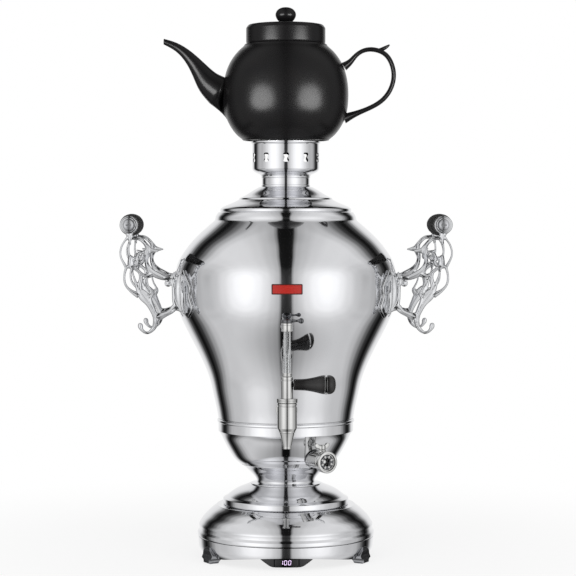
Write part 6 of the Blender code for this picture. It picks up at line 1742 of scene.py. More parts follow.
@dataclass
class Tap:
    """The tap: barrel with nozzle and shank, collar, tapered plug and the flared lever.

    Args:
        axis: The column's axis.
        tank: The tank whose wall the shank passes.
        nozzle_bore: The radius of the way out.
        shank_bore: The radius of the way through the shank.
        shank_radius: The shank's radius.
        seal_room: How far the shank's flange stands off the wall.
        play: The running clearance round the plug.
        rod_bore: The radius of the hole for the lever's rod.
        head_radius: The radius of the plug's head.
        plug_radii: The tapered plug's radius below and above.
        barrel_radius: The barrel's radius.
        neck_gap: How far the lever's neck ends from it.
    """

    axis: Axis
    tank: Tank
    nozzle_bore: float = 3.4 * MM
    shank_bore: float = 3.8 * MM
    shank_radius: float = 8.5 * MM
    seal_room: float = 2.6 * MM
    play: float = 0.4 * MM
    rod_bore: float = 3.1 * MM
    head_radius: float = 7.6 * MM
    plug_radii: Flat = (7.57 * MM, 8.8 * MM)
    barrel_radius: float = 12.5 * MM
    neck_gap: float = 0.5 * MM
    upright: Axis = field(init=False)
    metal: List[bpy.types.Object] = field(default_factory=list)
    dark: List[bpy.types.Object] = field(default_factory=list)

    def build(self) -> None:
        """Turn the barrel, the collar, the plug and the lever."""
        middle = Space.of("tap_bonnet").middle
        self.upright = Axis(Vector((middle.x, middle.y, 0.0)))
        self.build_barrel()
        self.build_collar()
        self.build_plug()
        self.build_lever()

    def build_barrel(self) -> None:
        """Turn the barrel and nozzle, join the shank with its flange, and bore them."""
        space, plug = Space.of("tap_body"), Space.of("tap_plug")
        foot, top = space.low.z, space.high.z
        wide = self.barrel_radius
        outside = rounded([(0.0, foot, 0.0), (5.2 * MM, foot, 0.5 * MM), (5.5 * MM, foot + 1.3 * MM, 0.5 * MM),
                           (5.2 * MM, foot + 2.6 * MM, 0.6 * MM), (9.5 * MM, foot + 20.8 * MM, 0.4 * MM),
                           (10.5 * MM, foot + 21.3 * MM, 0.5 * MM), (10.5 * MM, foot + 22.9 * MM, 0.5 * MM),
                           (11.0 * MM, foot + 23.3 * MM, 0.4 * MM), (wide, foot + 26.2 * MM, 1.2 * MM),
                           (wide, top - 4.6 * MM, 0.3 * MM), (wide - 0.5 * MM, top - 4.1 * MM, 0.2 * MM),
                           (wide - 0.5 * MM, top - 3.3 * MM, 0.2 * MM), (wide, top - 2.8 * MM, 0.3 * MM),
                           (wide, top - 0.6 * MM, 0.0), (wide - 0.6 * MM, top, 0.0), (0.0, top, 0.0)])
        piece = turned("tap_barrel", outside, self.upright, Steps.MIDDLE)
        level = Space.of("tap_seal").middle.z
        forwards = along(FRONT, self.axis.place + UP * level, RIGHT)
        reach = self.axis.place.y - self.upright.place.y
        wall = self.axis.place.y - space.high.y + 16.0 * MM
        face = wall + 8.5 * MM
        flange = rounded([(0.0, wall - 6 * MM, 0.0), (14.0 * MM, wall - 6 * MM, 0.0), (14.0 * MM, face, 1.2 * MM),
                          (10.2 * MM, face + 0.3 * MM, 0.6 * MM), (self.shank_radius, face + 3.2 * MM, 3.0 * MM),
                          (self.shank_radius, reach - 5 * MM, 0.0), (0.0, reach - 5 * MM, 0.0)])
        shank = turned("shank", flange, forwards, Steps.MIDDLE)
        combine(shank, [self.tank.skin("room", self.seal_room)], "DIFFERENCE")
        tail_radius = self.shank_radius - 0.3 * MM
        tail = [(0.0, wall - 16 * MM), (tail_radius - 0.6 * MM, wall - 16 * MM), (tail_radius, wall - 15.4 * MM),
                (tail_radius, wall + 7 * MM), (0.0, wall + 7 * MM)]
        combine(shank, [turned("tail", tail, forwards, Steps.MIDDLE)], "UNION")
        combine(piece, [shank], "UNION")
        seat = plug.low.z - 0.3 * MM
        low_radius, top_radius = self.plug_radii
        bore = [(0.0, foot - MM), (self.nozzle_bore, foot - MM), (self.nozzle_bore, seat),
                (low_radius + self.play, seat), (top_radius + self.play, top), (top_radius + self.play, top + MM),
                (0.0, top + MM)]
        way = rod("way", forwards, self.shank_bore, wall - 20 * MM, reach, Steps.MIDDLE)
        combine(piece, [turned("bore", bore, self.upright), way], "DIFFERENCE")
        self.metal.append(fit(soften(clean(piece)), "root", "nickel_brass", "tap_body"))

    def build_collar(self) -> None:
        """Turn the collar with its two grooves."""
        space = Space.of("tap_bonnet")
        wide, foot, top = space.radius, space.low.z, space.high.z
        bore = self.head_radius + self.play
        groove = 0.4 * MM
        outline = [(bore, foot, 0.3 * MM), (wide, foot, 0.7 * MM)]
        for level in (1.7 * MM, 3.1 * MM):
            outline += [(wide, foot + level, 0.1 * MM), (wide - groove, foot + level + 0.2 * MM, 0.1 * MM),
                        (wide - groove, foot + level + 0.5 * MM, 0.1 * MM), (wide, foot + level + 0.7 * MM, 0.1 * MM)]
        outline += [(wide, top, 0.7 * MM), (bore, top, 0.3 * MM)]
        piece = turned("tap_collar", rounded(outline, closed=True, steps=4), self.upright, Steps.MIDDLE)
        self.metal.append(fit(piece, "root", "nickel_brass", "tap_bonnet"))

    def build_plug(self) -> None:
        """Turn the tapered plug with its head, and drill it for the side port and the lever's rod."""
        space = Space.of("tap_plug")
        foot, top = space.low.z, space.high.z
        step = Space.of("tap_body").high.z
        head = self.head_radius
        low_radius, top_radius = self.plug_radii
        outline = rounded([(self.nozzle_bore, foot, 0.2 * MM), (low_radius, foot, 0.3 * MM),
                           (top_radius, step, 0.2 * MM), (head, step, 0.0), (head, top - 5.2 * MM, 0.2 * MM),
                           (head - 0.5 * MM, top - 4.8 * MM, 0.2 * MM), (head - 0.5 * MM, top - 4.0 * MM, 0.2 * MM),
                           (head, top - 3.6 * MM, 0.2 * MM), (head, top, 0.9 * MM),
                           (self.nozzle_bore, top, 0.2 * MM)], closed=True, steps=4)
        piece = turned("plug", outline, self.upright, Steps.MIDDLE)
        lever = Space.of("lever_rod").middle.z
        port = Space.of("tap_seal").middle.z
        hole = rod("hole", along(RIGHT, self.upright.place + UP * lever, UP), self.rod_bore, 4.5 * MM, 20 * MM)
        way = rod("port", along(-RIGHT, self.upright.place + UP * port, UP), self.shank_bore, 0.0, 20 * MM)
        combine(piece, [hole, way], "DIFFERENCE")
        self.metal.append(fit(soften(clean(piece)), "tap_lever", "nickel_brass", "tap_plug"))

    def build_lever(self) -> None:
        """Turn the flared grip, its ring and its rounded end."""
        line = along(RIGHT, self.upright.place + UP * Space.of("lever_rod").middle.z, UP)

        def piece_of(node: str, name: str, shares: Sequence[Flat], inside: List[Flat]) -> bpy.types.Object:
            """Turn one piece of the lever from shares of its solid's radius and length."""
            space = Space.of(node)
            near = self.upright.place.x + self.head_radius + self.neck_gap if node == "lever_grip" else space.low.x
            start_place, length = near - self.upright.place.x, space.high.x - near
            outer = [(r * space.size.z / 2, start_place + u * length) for r, u in shares]
            return fit(turned(name, outer + inside, line, Steps.MIDDLE), "tap_lever", "black_phenolic", node)

        grip, cap, band = Space.of("lever_grip"), Space.of("lever_end"), Space.of("lever_ring")
        flare = [(0.5, 0.0), (0.55, 0.008), (0.572, 0.03)]
        flare += fair([(0.572, 0.03), (0.582, 0.2), (0.612, 0.38), (0.705, 0.57), (0.865, 0.79), (0.965, 0.92),
                       (0.99, 0.975)], 6)[1:] + [(0.985, 0.99), (0.965, 1.0)]
        inside = [(self.rod_bore, grip.high.x), (self.rod_bore, self.head_radius + self.neck_gap)]
        self.dark.append(piece_of("lever_grip", "lever_handle", flare, inside))
        dome = [(0.955, 0.0), (0.985, 0.015)] + fair([(0.985, 0.015), (0.99, 0.2), (0.925, 0.5), (0.745, 0.77),
                                                      (0.44, 0.945), (0.0, 1.0)], 6)[1:]
        depth = Space.of("lever_rod").high.x + 0.3 * MM
        inside = [(0.0, depth), (self.rod_bore, depth), (self.rod_bore, cap.low.x)]
        self.dark.append(piece_of("lever_end", "lever_knob", dome, inside))
        edge = [(1.0, 0.1), (1.0, 0.9), (0.975, 1.0)]
        inside = [(self.rod_bore, band.high.x), (self.rod_bore, band.low.x)]
        ring_piece = piece_of("lever_ring", "lever_band", [(0.975, 0.0)] + edge, inside)
        self.metal.append(ring_piece)

    def dress(self) -> None:
        """Give the metal its nickel and the lever its phenolic."""
        coat(self.metal, NICKEL, "nickel")
        coat(self.dark, PHENOLIC, "phenolic")


@dataclass
class Gauge:
    """The level gauge: gland, glass, head with its shank, and the small cock on top.

    Args:
        axis: The column's axis.
        water_way: The radius of the way from the glass to the tank.
        play: The clearance round the glass and the cock's stem.
        glass_bore: The radius of the glass tube's bore.
        gland_bore: The radius of the gland's bore.
        stem_radius: The radius of the cock's stem.
    """

    axis: Axis
    water_way: float = 1.4 * MM
    play: float = 0.3 * MM
    glass_bore: float = 3.0 * MM
    gland_bore: float = 3.4 * MM
    stem_radius: float = 2.8 * MM
    upright: Axis = field(init=False)
    metal: List[bpy.types.Object] = field(default_factory=list)
    tube: Optional[bpy.types.Object] = None

    def build(self) -> None:
        """Turn the gland, the glass, the head and the cock."""
        middle = Space.of("gauge_gland").middle
        self.upright = Axis(Vector((middle.x, middle.y, 0.0)))
        self.build_glass()
        self.build_head()
        self.build_cock()

    def build_glass(self) -> None:
        """Turn the gland and the glass that stands in it."""
        gland, glass = Space.of("gauge_gland"), Space.of("gauge_glass")
        socket = glass.radius + self.play
        outline = rounded([(self.gland_bore, gland.low.z, 0.2 * MM), (gland.radius, gland.low.z, 0.5 * MM),
                           (gland.radius, gland.low.z + 1.5 * MM, 0.2 * MM),
                           (gland.radius - 0.4 * MM, gland.low.z + 1.8 * MM, 0.2 * MM),
                           (gland.radius - 0.4 * MM, gland.low.z + 2.4 * MM, 0.2 * MM),
                           (gland.radius, gland.low.z + 2.7 * MM, 0.2 * MM), (gland.radius, gland.high.z, 0.7 * MM),
                           (socket, gland.high.z, 0.2 * MM), (socket, gland.low.z + MM, 0.1 * MM),
                           (self.gland_bore, gland.low.z + MM, 0.1 * MM)], closed=True, steps=4)
        self.metal.append(fit(turned("gland", outline, self.upright, Steps.MIDDLE), "root", "nickel_brass",
                              "gauge_gland"))
        edge = 0.35 * MM
        tube = rounded([(self.glass_bore, glass.low.z, edge), (glass.radius, glass.low.z, edge),
                        (glass.radius, glass.high.z, edge), (self.glass_bore, glass.high.z, edge)], closed=True)
        self.tube = fit(turned("glass_tube", tube, self.upright, Steps.SMALL), "root", "clear_glass", "gauge_glass")

    def build_head(self) -> None:
        """Turn the head and join the shank that leads into the tank."""
        space, glass = Space.of("gauge_head"), Space.of("gauge_glass")
        foot, top, wide = space.low.z, space.high.z, space.radius
        socket, stem = glass.radius + self.play, self.stem_radius + self.play
        outline = rounded([(0.0, foot, 0.0), (wide - 0.7 * MM, foot, 0.3 * MM), (wide, foot + 0.8 * MM, 0.4 * MM),
                           (wide, foot + 2.2 * MM, 0.2 * MM), (wide - 0.5 * MM, foot + 2.6 * MM, 0.2 * MM),
                           (wide - 0.5 * MM, top - 2.6 * MM, 0.2 * MM), (wide, top - 2.2 * MM, 0.2 * MM),
                           (wide, top, 0.4 * MM), (0.0, top, 0.0)], steps=4)
        piece = turned("gauge_top", outline, self.upright, Steps.MIDDLE)
        level = space.middle.z
        forwards = along(FRONT, self.axis.place + UP * level, RIGHT)
        near = self.axis.place.y - space.high.y
        far = self.axis.place.y - self.upright.place.y - 2 * MM
        shank = [(0.0, near), (4.4 * MM, near), (4.8 * MM, near + 0.4 * MM), (4.8 * MM, far), (0.0, far)]
        combine(piece, [turned("shank", shank, forwards, Steps.SMALL)], "UNION")
        floor = glass.high.z + self.play
        shoulder = Space.of("gauge_cock").low.z - self.play
        bore = [(0.0, foot - MM), (socket, foot - MM), (socket, floor), (self.water_way, floor),
                (self.water_way, shoulder), (stem, shoulder), (stem, top + MM), (0.0, top + MM)]
        way = rod("way", forwards, self.water_way, near - MM, far + 2 * MM)
        combine(piece, [turned("bore", bore, self.upright, Steps.SMALL), way], "DIFFERENCE")
        self.metal.append(fit(soften(clean(piece)), "root", "nickel_brass", "gauge_head"))

    def build_cock(self) -> None:
        """Turn the cock's stem and cap, and the bulb-ended lever."""
        space, head = Space.of("gauge_cock"), Space.of("gauge_head")
        foot, seat, wide = space.low.z, head.high.z + self.play, head.radius
        outline = rounded([(0.0, foot, 0.0), (self.stem_radius, foot, 0.4 * MM), (self.stem_radius, seat, 0.0),
                           (wide, seat, 0.4 * MM), (wide, seat + 3.4 * MM, 0.8 * MM),
                           (wide * 0.7, seat + 5.0 * MM, 0.8 * MM), (0.0, seat + 5.0 * MM, 0.0)], steps=4)
        piece = turned("cock", outline, self.upright, Steps.MIDDLE)
        reach = space.high.x - self.upright.place.x
        line = along(RIGHT, self.upright.place + UP * (seat + 2.5 * MM), UP)
        bulb = space.high.z - seat - 2.5 * MM
        arm = [(0.0, 3.6 * MM), (2.2 * MM, 3.6 * MM)]
        arm += fair([(2.2 * MM, 6.5 * MM), (1.75 * MM, 9.5 * MM), (1.5 * MM, 12.5 * MM), (2.1 * MM, 14.6 * MM),
                     (bulb * 0.9, reach - 4.8 * MM), (bulb, reach - 3.4 * MM), (bulb * 0.86, reach - 1.3 * MM),
                     (bulb * 0.42, reach - 0.2 * MM), (0.0, reach)], 6)
        combine(piece, [turned("arm", arm, line, Steps.SMALL)], "UNION")
        self.metal.append(fit(soften(clean(piece)), "gauge_cock", "nickel_brass", "gauge_cock"))

    def dress(self) -> None:
        """Give the metal its nickel, on the cock a darker one as painted shade, and the tube its glass."""
        for piece in self.metal:
            # The cock's darker nickel is painted shade.
            paint(piece, (SHADED_NICKEL if piece.name == "cock" else NICKEL).make(piece.name + " nickel"))
        paint(self.tube, TubeGlass().make("gauge glass"))


@dataclass
class Drain:
    """The drain valve: body, recessed outlet ring with its petals, ball and butterfly wing.

    Args:
        axis: The column's axis.
        tank: The tank whose bowl carries it.
        seal_room: How far the body stands off the bowl.
        bore: The radius of the way through.
        ball_radius: The ball's radius.
        stem_radius: The stem's radius.
        petals: How many petals stand round the outlet.
        outlet_reach: How far the outlet's face lies beyond the stem.
        shade_radius: The radius of the recessed ground between the petals that gets a darker nickel as painted shade.
        petal_place: How far a petal's middle stands from the line.
        petal_sizes: Half a petal's length, width and height.
        wing_width: How wide the wing is, edge to edge at its widest share.
        wing_half: Half the wing's thickness.
    """

    axis: Axis
    tank: Tank
    seal_room: float = 2.6 * MM
    bore: float = 4.0 * MM
    ball_radius: float = 8.5 * MM
    stem_radius: float = 2.8 * MM
    petals: int = 8
    outlet_reach: float = 13.3 * MM
    shade_radius: float = 9.8 * MM
    petal_place: float = 7.2 * MM
    petal_sizes: Corner = (2.4 * MM, 1.8 * MM, 1.3 * MM)
    wing_width: float = 21.2 * MM
    wing_half: float = 1.9 * MM
    line: Axis = field(init=False)
    stem: Axis = field(init=False)
    stem_place: float = field(init=False)
    ring_radius: float = field(init=False)
    metal: List[bpy.types.Object] = field(default_factory=list)
    wing: Optional[bpy.types.Object] = None
    outlet: Optional[bpy.types.Object] = None

    def build(self) -> None:
        """Build the body, the outlet ring, the ball and the wing."""
        self.line = drain_line(self.axis)
        stem = Space.of("drain_ball").middle
        self.stem = Axis(Vector((stem.x, stem.y, 0.0)))
        self.stem_place = (Vector((stem.x, stem.y, 0.0)) - self.axis.place).length
        outlet = Space.of("drain_retainer")
        self.ring_radius = outlet.size.z / 2
        self.build_body()
        self.build_outlet()
        self.build_ball()
        self.build_wing()

    def build_body(self) -> None:
        """Turn the body with its flared end, join the stem's boss and the shank, and bore them."""
        reach = self.stem_place + 15.5 * MM
        shoulder = reach - 10 * MM
        neck_top = Space.of("drain_body").high.z
        outline = rounded([(0.0, 45 * MM, 0.0), (11.0 * MM, 45 * MM, 0.0), (11.0 * MM, shoulder - 3.2 * MM, 1.6 * MM),
                           (14.0 * MM, shoulder - 0.4 * MM, 0.8 * MM), (14.0 * MM, shoulder + 2.2 * MM, 0.3 * MM),
                           (13.6 * MM, shoulder + 2.6 * MM, 0.2 * MM), (13.6 * MM, shoulder + 3.4 * MM, 0.2 * MM),
                           (14.2 * MM, shoulder + 3.9 * MM, 0.4 * MM), (14.2 * MM, reach, 1.2 * MM),
                           (0.0, reach, 0.0)], steps=4)
        piece = turned("drain_barrel", outline, self.line, Steps.MIDDLE)
        neck = rounded([(0.0, self.line.place.z, 0.0), (5.2 * MM, self.line.place.z, 0.0),
                        (5.2 * MM, neck_top, 0.6 * MM), (0.0, neck_top, 0.0)], steps=3)
        combine(piece, [turned("neck", neck, self.stem, Steps.SMALL)], "UNION")
        skin = offset(self.tank.bowl_outline(), self.seal_room)
        room = turned("room", [(0.0, skin[0][1])] + skin + [(0.0, skin[-1][1])], self.axis)
        combine(piece, [room], "DIFFERENCE")
        near = self.stem_place - 44.9 * MM
        shank = [(0.0, near), (6.0 * MM, near), (6.5 * MM, near + 0.5 * MM), (6.5 * MM, self.stem_place - 8.5 * MM),
                 (0.0, self.stem_place - 8.5 * MM)]
        combine(piece, [turned("shank", shank, self.line, Steps.SMALL)], "UNION")
        chamber, mouth = self.ball_radius + 0.5 * MM, reach - 7.1 * MM
        bore = [(0.0, 0.0), (self.bore, 0.0), (self.bore, self.stem_place - chamber),
                (chamber, self.stem_place - chamber), (chamber, mouth), (self.ring_radius + 0.3 * MM, mouth),
                (self.ring_radius + 0.3 * MM, reach + MM), (0.0, reach + MM)]
        hole = rod("hole", self.stem, self.stem_radius + 0.4 * MM, self.line.place.z, neck_top + MM)
        combine(piece, [turned("bore", bore, self.line), hole], "DIFFERENCE")
        self.metal.append(fit(soften(clean(piece)), "root", "nickel_brass", "drain_body"))

    def build_outlet(self) -> None:
        """Turn the ring that keeps the ball in, and set the petals round its hole."""
        far = self.stem_place + self.outlet_reach
        near = far - 4.6 * MM
        hole = 5.0 * MM
        outline = rounded([(hole, near, 0.0), (self.ring_radius, near, 0.0), (self.ring_radius, far, 0.5 * MM),
                           (9.9 * MM, far, 0.2 * MM), (9.5 * MM, far - 0.9 * MM, 0.2 * MM),
                           (8.7 * MM, far - 0.9 * MM, 0.2 * MM), (8.3 * MM, far, 0.2 * MM), (5.9 * MM, far, 0.3 * MM),
                           (hole, far - 0.9 * MM, 0.3 * MM)], closed=True, steps=3)
        piece = turned("outlet_ring", outline, self.line, Steps.MIDDLE)
        ball = turned("ball_room", self.globe(self.ball_radius + 0.3 * MM), self.line)
        combine(piece, [ball], "DIFFERENCE")
        turn = self.line.along.to_track_quat("Z", "Y")
        parts = [soften(clean(piece))]
        for i in range(self.petals):
            angle = FULL_TURN * (i + 0.5) / self.petals
            place = turn @ Vector((self.petal_place * math.cos(angle), self.petal_place * math.sin(angle), 0.0))
            tilt = turn @ Matrix.Rotation(angle, 3, "Z").to_quaternion()
            bpy.ops.mesh.primitive_uv_sphere_add(segments=24, ring_count=14, radius=1.0,
                                                 location=self.line.spot((0.0, far)) + place,
                                                 rotation=tilt.to_euler(), scale=self.petal_sizes)
            parts.append(soften(settle(bpy.context.object), 60))
        self.outlet = fit(joined("outlet_ring", parts), "root", "nickel_brass", "drain_retainer")

    def globe(self, radius: float) -> List[Flat]:
        """Return a half circle about the stem's place on the valve's line."""
        turns = [math.pi * i / 32 for i in range(33)]
        return [(max(0.0, radius * math.sin(turn)), self.stem_place - radius * math.cos(turn)) for turn in turns]

    def build_ball(self) -> None:
        """Turn the ball, join its stem and drill the way through, which lies across at rest."""
        piece = turned("valve_ball", self.globe(self.ball_radius), self.line)
        top = Space.of("drain_ball").high.z
        stem = [(0.0, self.line.place.z), (self.stem_radius, self.line.place.z),
                (self.stem_radius, top - 0.4 * MM), (self.stem_radius - 0.4 * MM, top), (0.0, top)]
        combine(piece, [turned("stem", stem, self.stem, Steps.SMALL)], "UNION")
        across = UP.cross(self.line.along)
        middle = self.line.spot((0.0, self.stem_place))
        combine(piece, [rod("way", along(across, middle, UP), self.bore, -20 * MM, 20 * MM)], "DIFFERENCE")
        self.metal.append(fit(soften(clean(piece)), "drain_valve", "nickel_brass", "drain_ball"))

    def build_wing(self) -> None:
        """Press the butterfly wing with its hub and round its edges."""
        space = Space.of("drain_handle")
        tall, wide, half = space.size.z, self.wing_width, self.wing_half
        lobe = fair([(0.175, 0.05), (0.3, 0.12), (0.435, 0.3), (0.497, 0.62), (0.465, 0.9), (0.385, 0.985),
                     (0.29, 0.9), (0.225, 0.72), (0.12, 0.64), (0.0, 0.62)], 4)
        right = [(x * wide, y * tall) for x, y in lobe]
        outline = right + [(-x, y) for x, y in reversed(right[:-1])]
        across = UP.cross(self.line.along)
        foot = self.stem.place + Vector((0.0, 0.0, space.low.z))
        piece = slab("wing", outline, Axis(foot, self.line.along, across), -half, half)
        apply_modifier(piece, "BEVEL", width=0.9 * MM, segments=4, limit_method="ANGLE", angle_limit=math.radians(60))
        hub = rounded([(0.0, space.low.z, 0.0), (4.7 * MM, space.low.z, 0.5 * MM),
                       (4.7 * MM, space.low.z + 0.55 * tall, 1.2 * MM),
                       (3.4 * MM, space.low.z + 0.74 * tall, 0.8 * MM), (0.0, space.low.z + 0.74 * tall, 0.0)],
                      steps=4)
        combine(piece, [turned("hub", hub, self.stem, Steps.SMALL)], "UNION")
        deep = Space.of("drain_ball").high.z + 0.3 * MM
        socket = rod("socket", self.stem, self.stem_radius + 0.3 * MM, space.low.z - MM, deep)
        combine(piece, [socket], "DIFFERENCE")
        self.wing = fit(soften(clean(piece), 40), "drain_valve", "nickel_brass", "drain_handle")

    def dress(self) -> None:
        """Give every piece its nickel, and the recessed ground between the petals a darker one as painted shade."""
        coat(self.metal + [self.wing, self.outlet], NICKEL, "nickel")
        face = self.stem_place + self.outlet_reach

        def is_painted_shade(middle: Vector, _normal: Vector) -> bool:
            """Say whether a face lies in the recessed ground that gets the painted shade."""
            out = (middle - self.line.place).dot(self.line.along)
            across = (middle - self.line.spot((0.0, out))).length
            return across < self.shade_radius and out < face + 0.05 * MM

        # The darker nickel in the outlet's recess is painted shade.
        line_with(self.outlet, SHADED_NICKEL.make("outlet painted shade"), is_painted_shade)


@dataclass
class Panel:
    """The gloss black panel under the front arch, with its smoked window and lit digits.

    Args:
        axis: The column's axis.
        reading: The digits shown.
        digit_height: How tall a digit is.
        digit_width: How wide a digit is.
        stroke: The width of one segment.
        slant: How far a digit leans, as a share of its height.
        digit_gap: The gap between two digits.
        glow_rise: How far the segments stand on the window.
        bezel_depth: How deep the panel is.
        pane_depth: How deep the window is.
        slab_reach: From where to where a blank for the panel reaches, before it is cut to the base's round.
        segments: Which segments each digit lights, clockwise from the top one, the middle one last.
    """

    axis: Axis
    reading: str = "100"
    digit_height: float = 5.4 * MM
    digit_width: float = 3.1 * MM
    stroke: float = 0.75 * MM
    slant: float = 0.1
    digit_gap: float = 2.2 * MM
    glow_rise: float = 0.03 * MM
    bezel_depth: float = 4.2 * MM
    pane_depth: float = 2.3 * MM
    slab_reach: Flat = (80 * MM, 130 * MM)
    outside: float = field(init=False)
    forwards: Axis = field(init=False)
    segments: Tuple[Tuple[str, Tuple[int, ...]], ...] = (("0", (0, 1, 2, 3, 4, 5)), ("1", (1, 2)))
    bezel: Optional[bpy.types.Object] = None
    window: Optional[bpy.types.Object] = None
    digits: Optional[bpy.types.Object] = None

    def build(self) -> None:
        """Mould the panel, its window and the digits."""
        bezel, window = Space.of("control_panel"), Space.of("display_window")
        self.outside = self.axis.place.y - bezel.low.y
        self.forwards = along(FRONT, self.axis.place, RIGHT)
        half, low, high = bezel.size.x / 2, bezel.low.z, bezel.high.z
        side = [(1.0, 1.0), (0.985, 0.9), (0.93, 0.74), (0.82, 0.5), (0.7, 0.27), (0.6, 0.1), (0.5, 0.015)]
        right = [(x * half, low + y * (high - low)) for x, y in fair(side, 4) + [(0.4, 0.0)]]
        outline = right + [(-x, z) for x, z in reversed(right)]
        piece = slab("bezel", outline, self.forwards, *self.slab_reach)
        combine(piece, [self.shell("shell", self.outside - self.bezel_depth, self.outside)], "INTERSECT")
        gap = 0.3 * MM
        room = self.window_slab("room", window, gap)
        combine(room, [self.shell("shell", self.outside - self.pane_depth - gap, self.outside + 5 * MM)], "INTERSECT")
        combine(piece, [room], "DIFFERENCE")
        apply_modifier(piece, "BEVEL", width=0.25 * MM, segments=2, limit_method="ANGLE",
                       angle_limit=math.radians(50))
        self.bezel = fit(soften(clean(piece), 40), "root", "black_plastic", "control_panel")
        pane = self.window_slab("pane", window, 0.0)
        room = self.shell("shell", self.outside - self.pane_depth, self.outside - 2 * self.glow_rise)
        combine(pane, [room], "INTERSECT")
        apply_modifier(pane, "BEVEL", width=0.2 * MM, segments=2, limit_method="ANGLE", angle_limit=math.radians(50))
        self.window = fit(soften(clean(pane), 40), "root", "display_window", "display_window")
        self.build_digits(window)

    def shell(self, name: str, inside: float, outside: float) -> bpy.types.Object:
        """Make an upright ring about the column's axis."""
        return turned(name, [(inside, 0.0), (outside, 0.0), (outside, 30 * MM), (inside, 30 * MM)], self.axis,
                      Steps.LARGE)

    def window_slab(self, name: str, window: Space, grow: float) -> bpy.types.Object:
        """Make the block that bounds the window.

        Args:
            name: The piece's name.
            window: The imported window's box.
            grow: How much larger it is on each side.
        Returns:
            The closed block.
        """
        half, low, high = window.size.x / 2 + grow, window.low.z - grow, window.high.z + grow
        corner = 1.0 * MM
        outline = rounded([(-half, low, corner), (half, low, corner), (half, high, corner), (-half, high, corner)],
                          closed=True)
        return slab(name, outline, self.forwards, *self.slab_reach)

    def bar(self, start_spot: Flat, end_spot: Flat) -> List[Flat]:
        """Return one segment's pointed outline between two places."""
        first, last = Vector(start_spot), Vector(end_spot)
        way = (last - first).normalized()
        side = Vector((-way.y, way.x)) * self.stroke / 2
        first, last = first + way * 0.12 * MM, last - way * 0.12 * MM
        tip = way * self.stroke / 2
        spots = [first, first + tip - side, last - tip - side, last, last - tip + side, first + tip + side]
        return [(spot.x + self.slant * spot.y, spot.y) for spot in spots]

    def build_digits(self, window: Space) -> None:
        """Lay the lit segments on the window."""
        half, tall = self.digit_width / 2, self.digit_height / 2
        corners = [(-half, tall), (half, tall), (half, 0.0), (half, -tall), (-half, -tall), (-half, 0.0)]
        ends = [(0, 1), (1, 2), (2, 3), (3, 4), (4, 5), (5, 0), (5, 2)]
        lit = dict(self.segments)
        pitch = self.digit_width + self.digit_gap
        outlines = []
        for place, digit in enumerate(self.reading):
            for segment in lit[digit]:
                first, last = (corners[end] for end in ends[segment])
                outlines.append([(x + place * pitch, y + window.middle.z) for x, y in self.bar(first, last)])
        reach = [x for outline in outlines for x, _ in outline]
        middle = (min(reach) + max(reach)) / 2
        bars = [slab("bar", [(x - middle, y) for x, y in outline], self.forwards, *self.slab_reach)
                for outline in outlines]
        piece = joined("digits", bars)
        combine(piece, [self.shell("shell", self.outside - 3 * self.glow_rise, self.outside - self.glow_rise)],
                "INTERSECT")
        self.digits = fit(clean(piece), "root", "display_window", "display_window")

    def dress(self) -> None:
        """Give the panel, the window and the digits their finishes."""
        paint(self.bezel, PANEL_BLACK.make("panel moulding"))
        paint(self.window, PANEL_BLACK.make("smoked window"))
        paint(self.digits, LitDigit().make("digit segments"))


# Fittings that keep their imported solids


@dataclass(frozen=True)
class Fittings:
    """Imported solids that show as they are, with the finish of each."""

    finishes: Tuple[Tuple[Finish, Tuple[str, ...]], ...]

    def dress(self) -> None:
        """Give every solid its own finish."""
        for finish, names in self.finishes:
            for name in names:
                paint(frame["nodes"][name], finish.make(name + " finish"))


FITTINGS = Fittings((
    (PLAIN_STEEL, ("bottom_cover", "clamp_nut", "heater_flange", "heater_element", "temperature_probe")),
    (SILICONE, ("heater_seal", "drain_seal", "tap_seal", "gauge_seal", "heater_leads")),
    (PANEL_BLACK, ("cable_gland",)),
    (LAMINATE, ("control_board",)),
    (NICKEL, ("drain_nut", "tap_nut", "gauge_nut", "lever_rod")),
))


# Studio


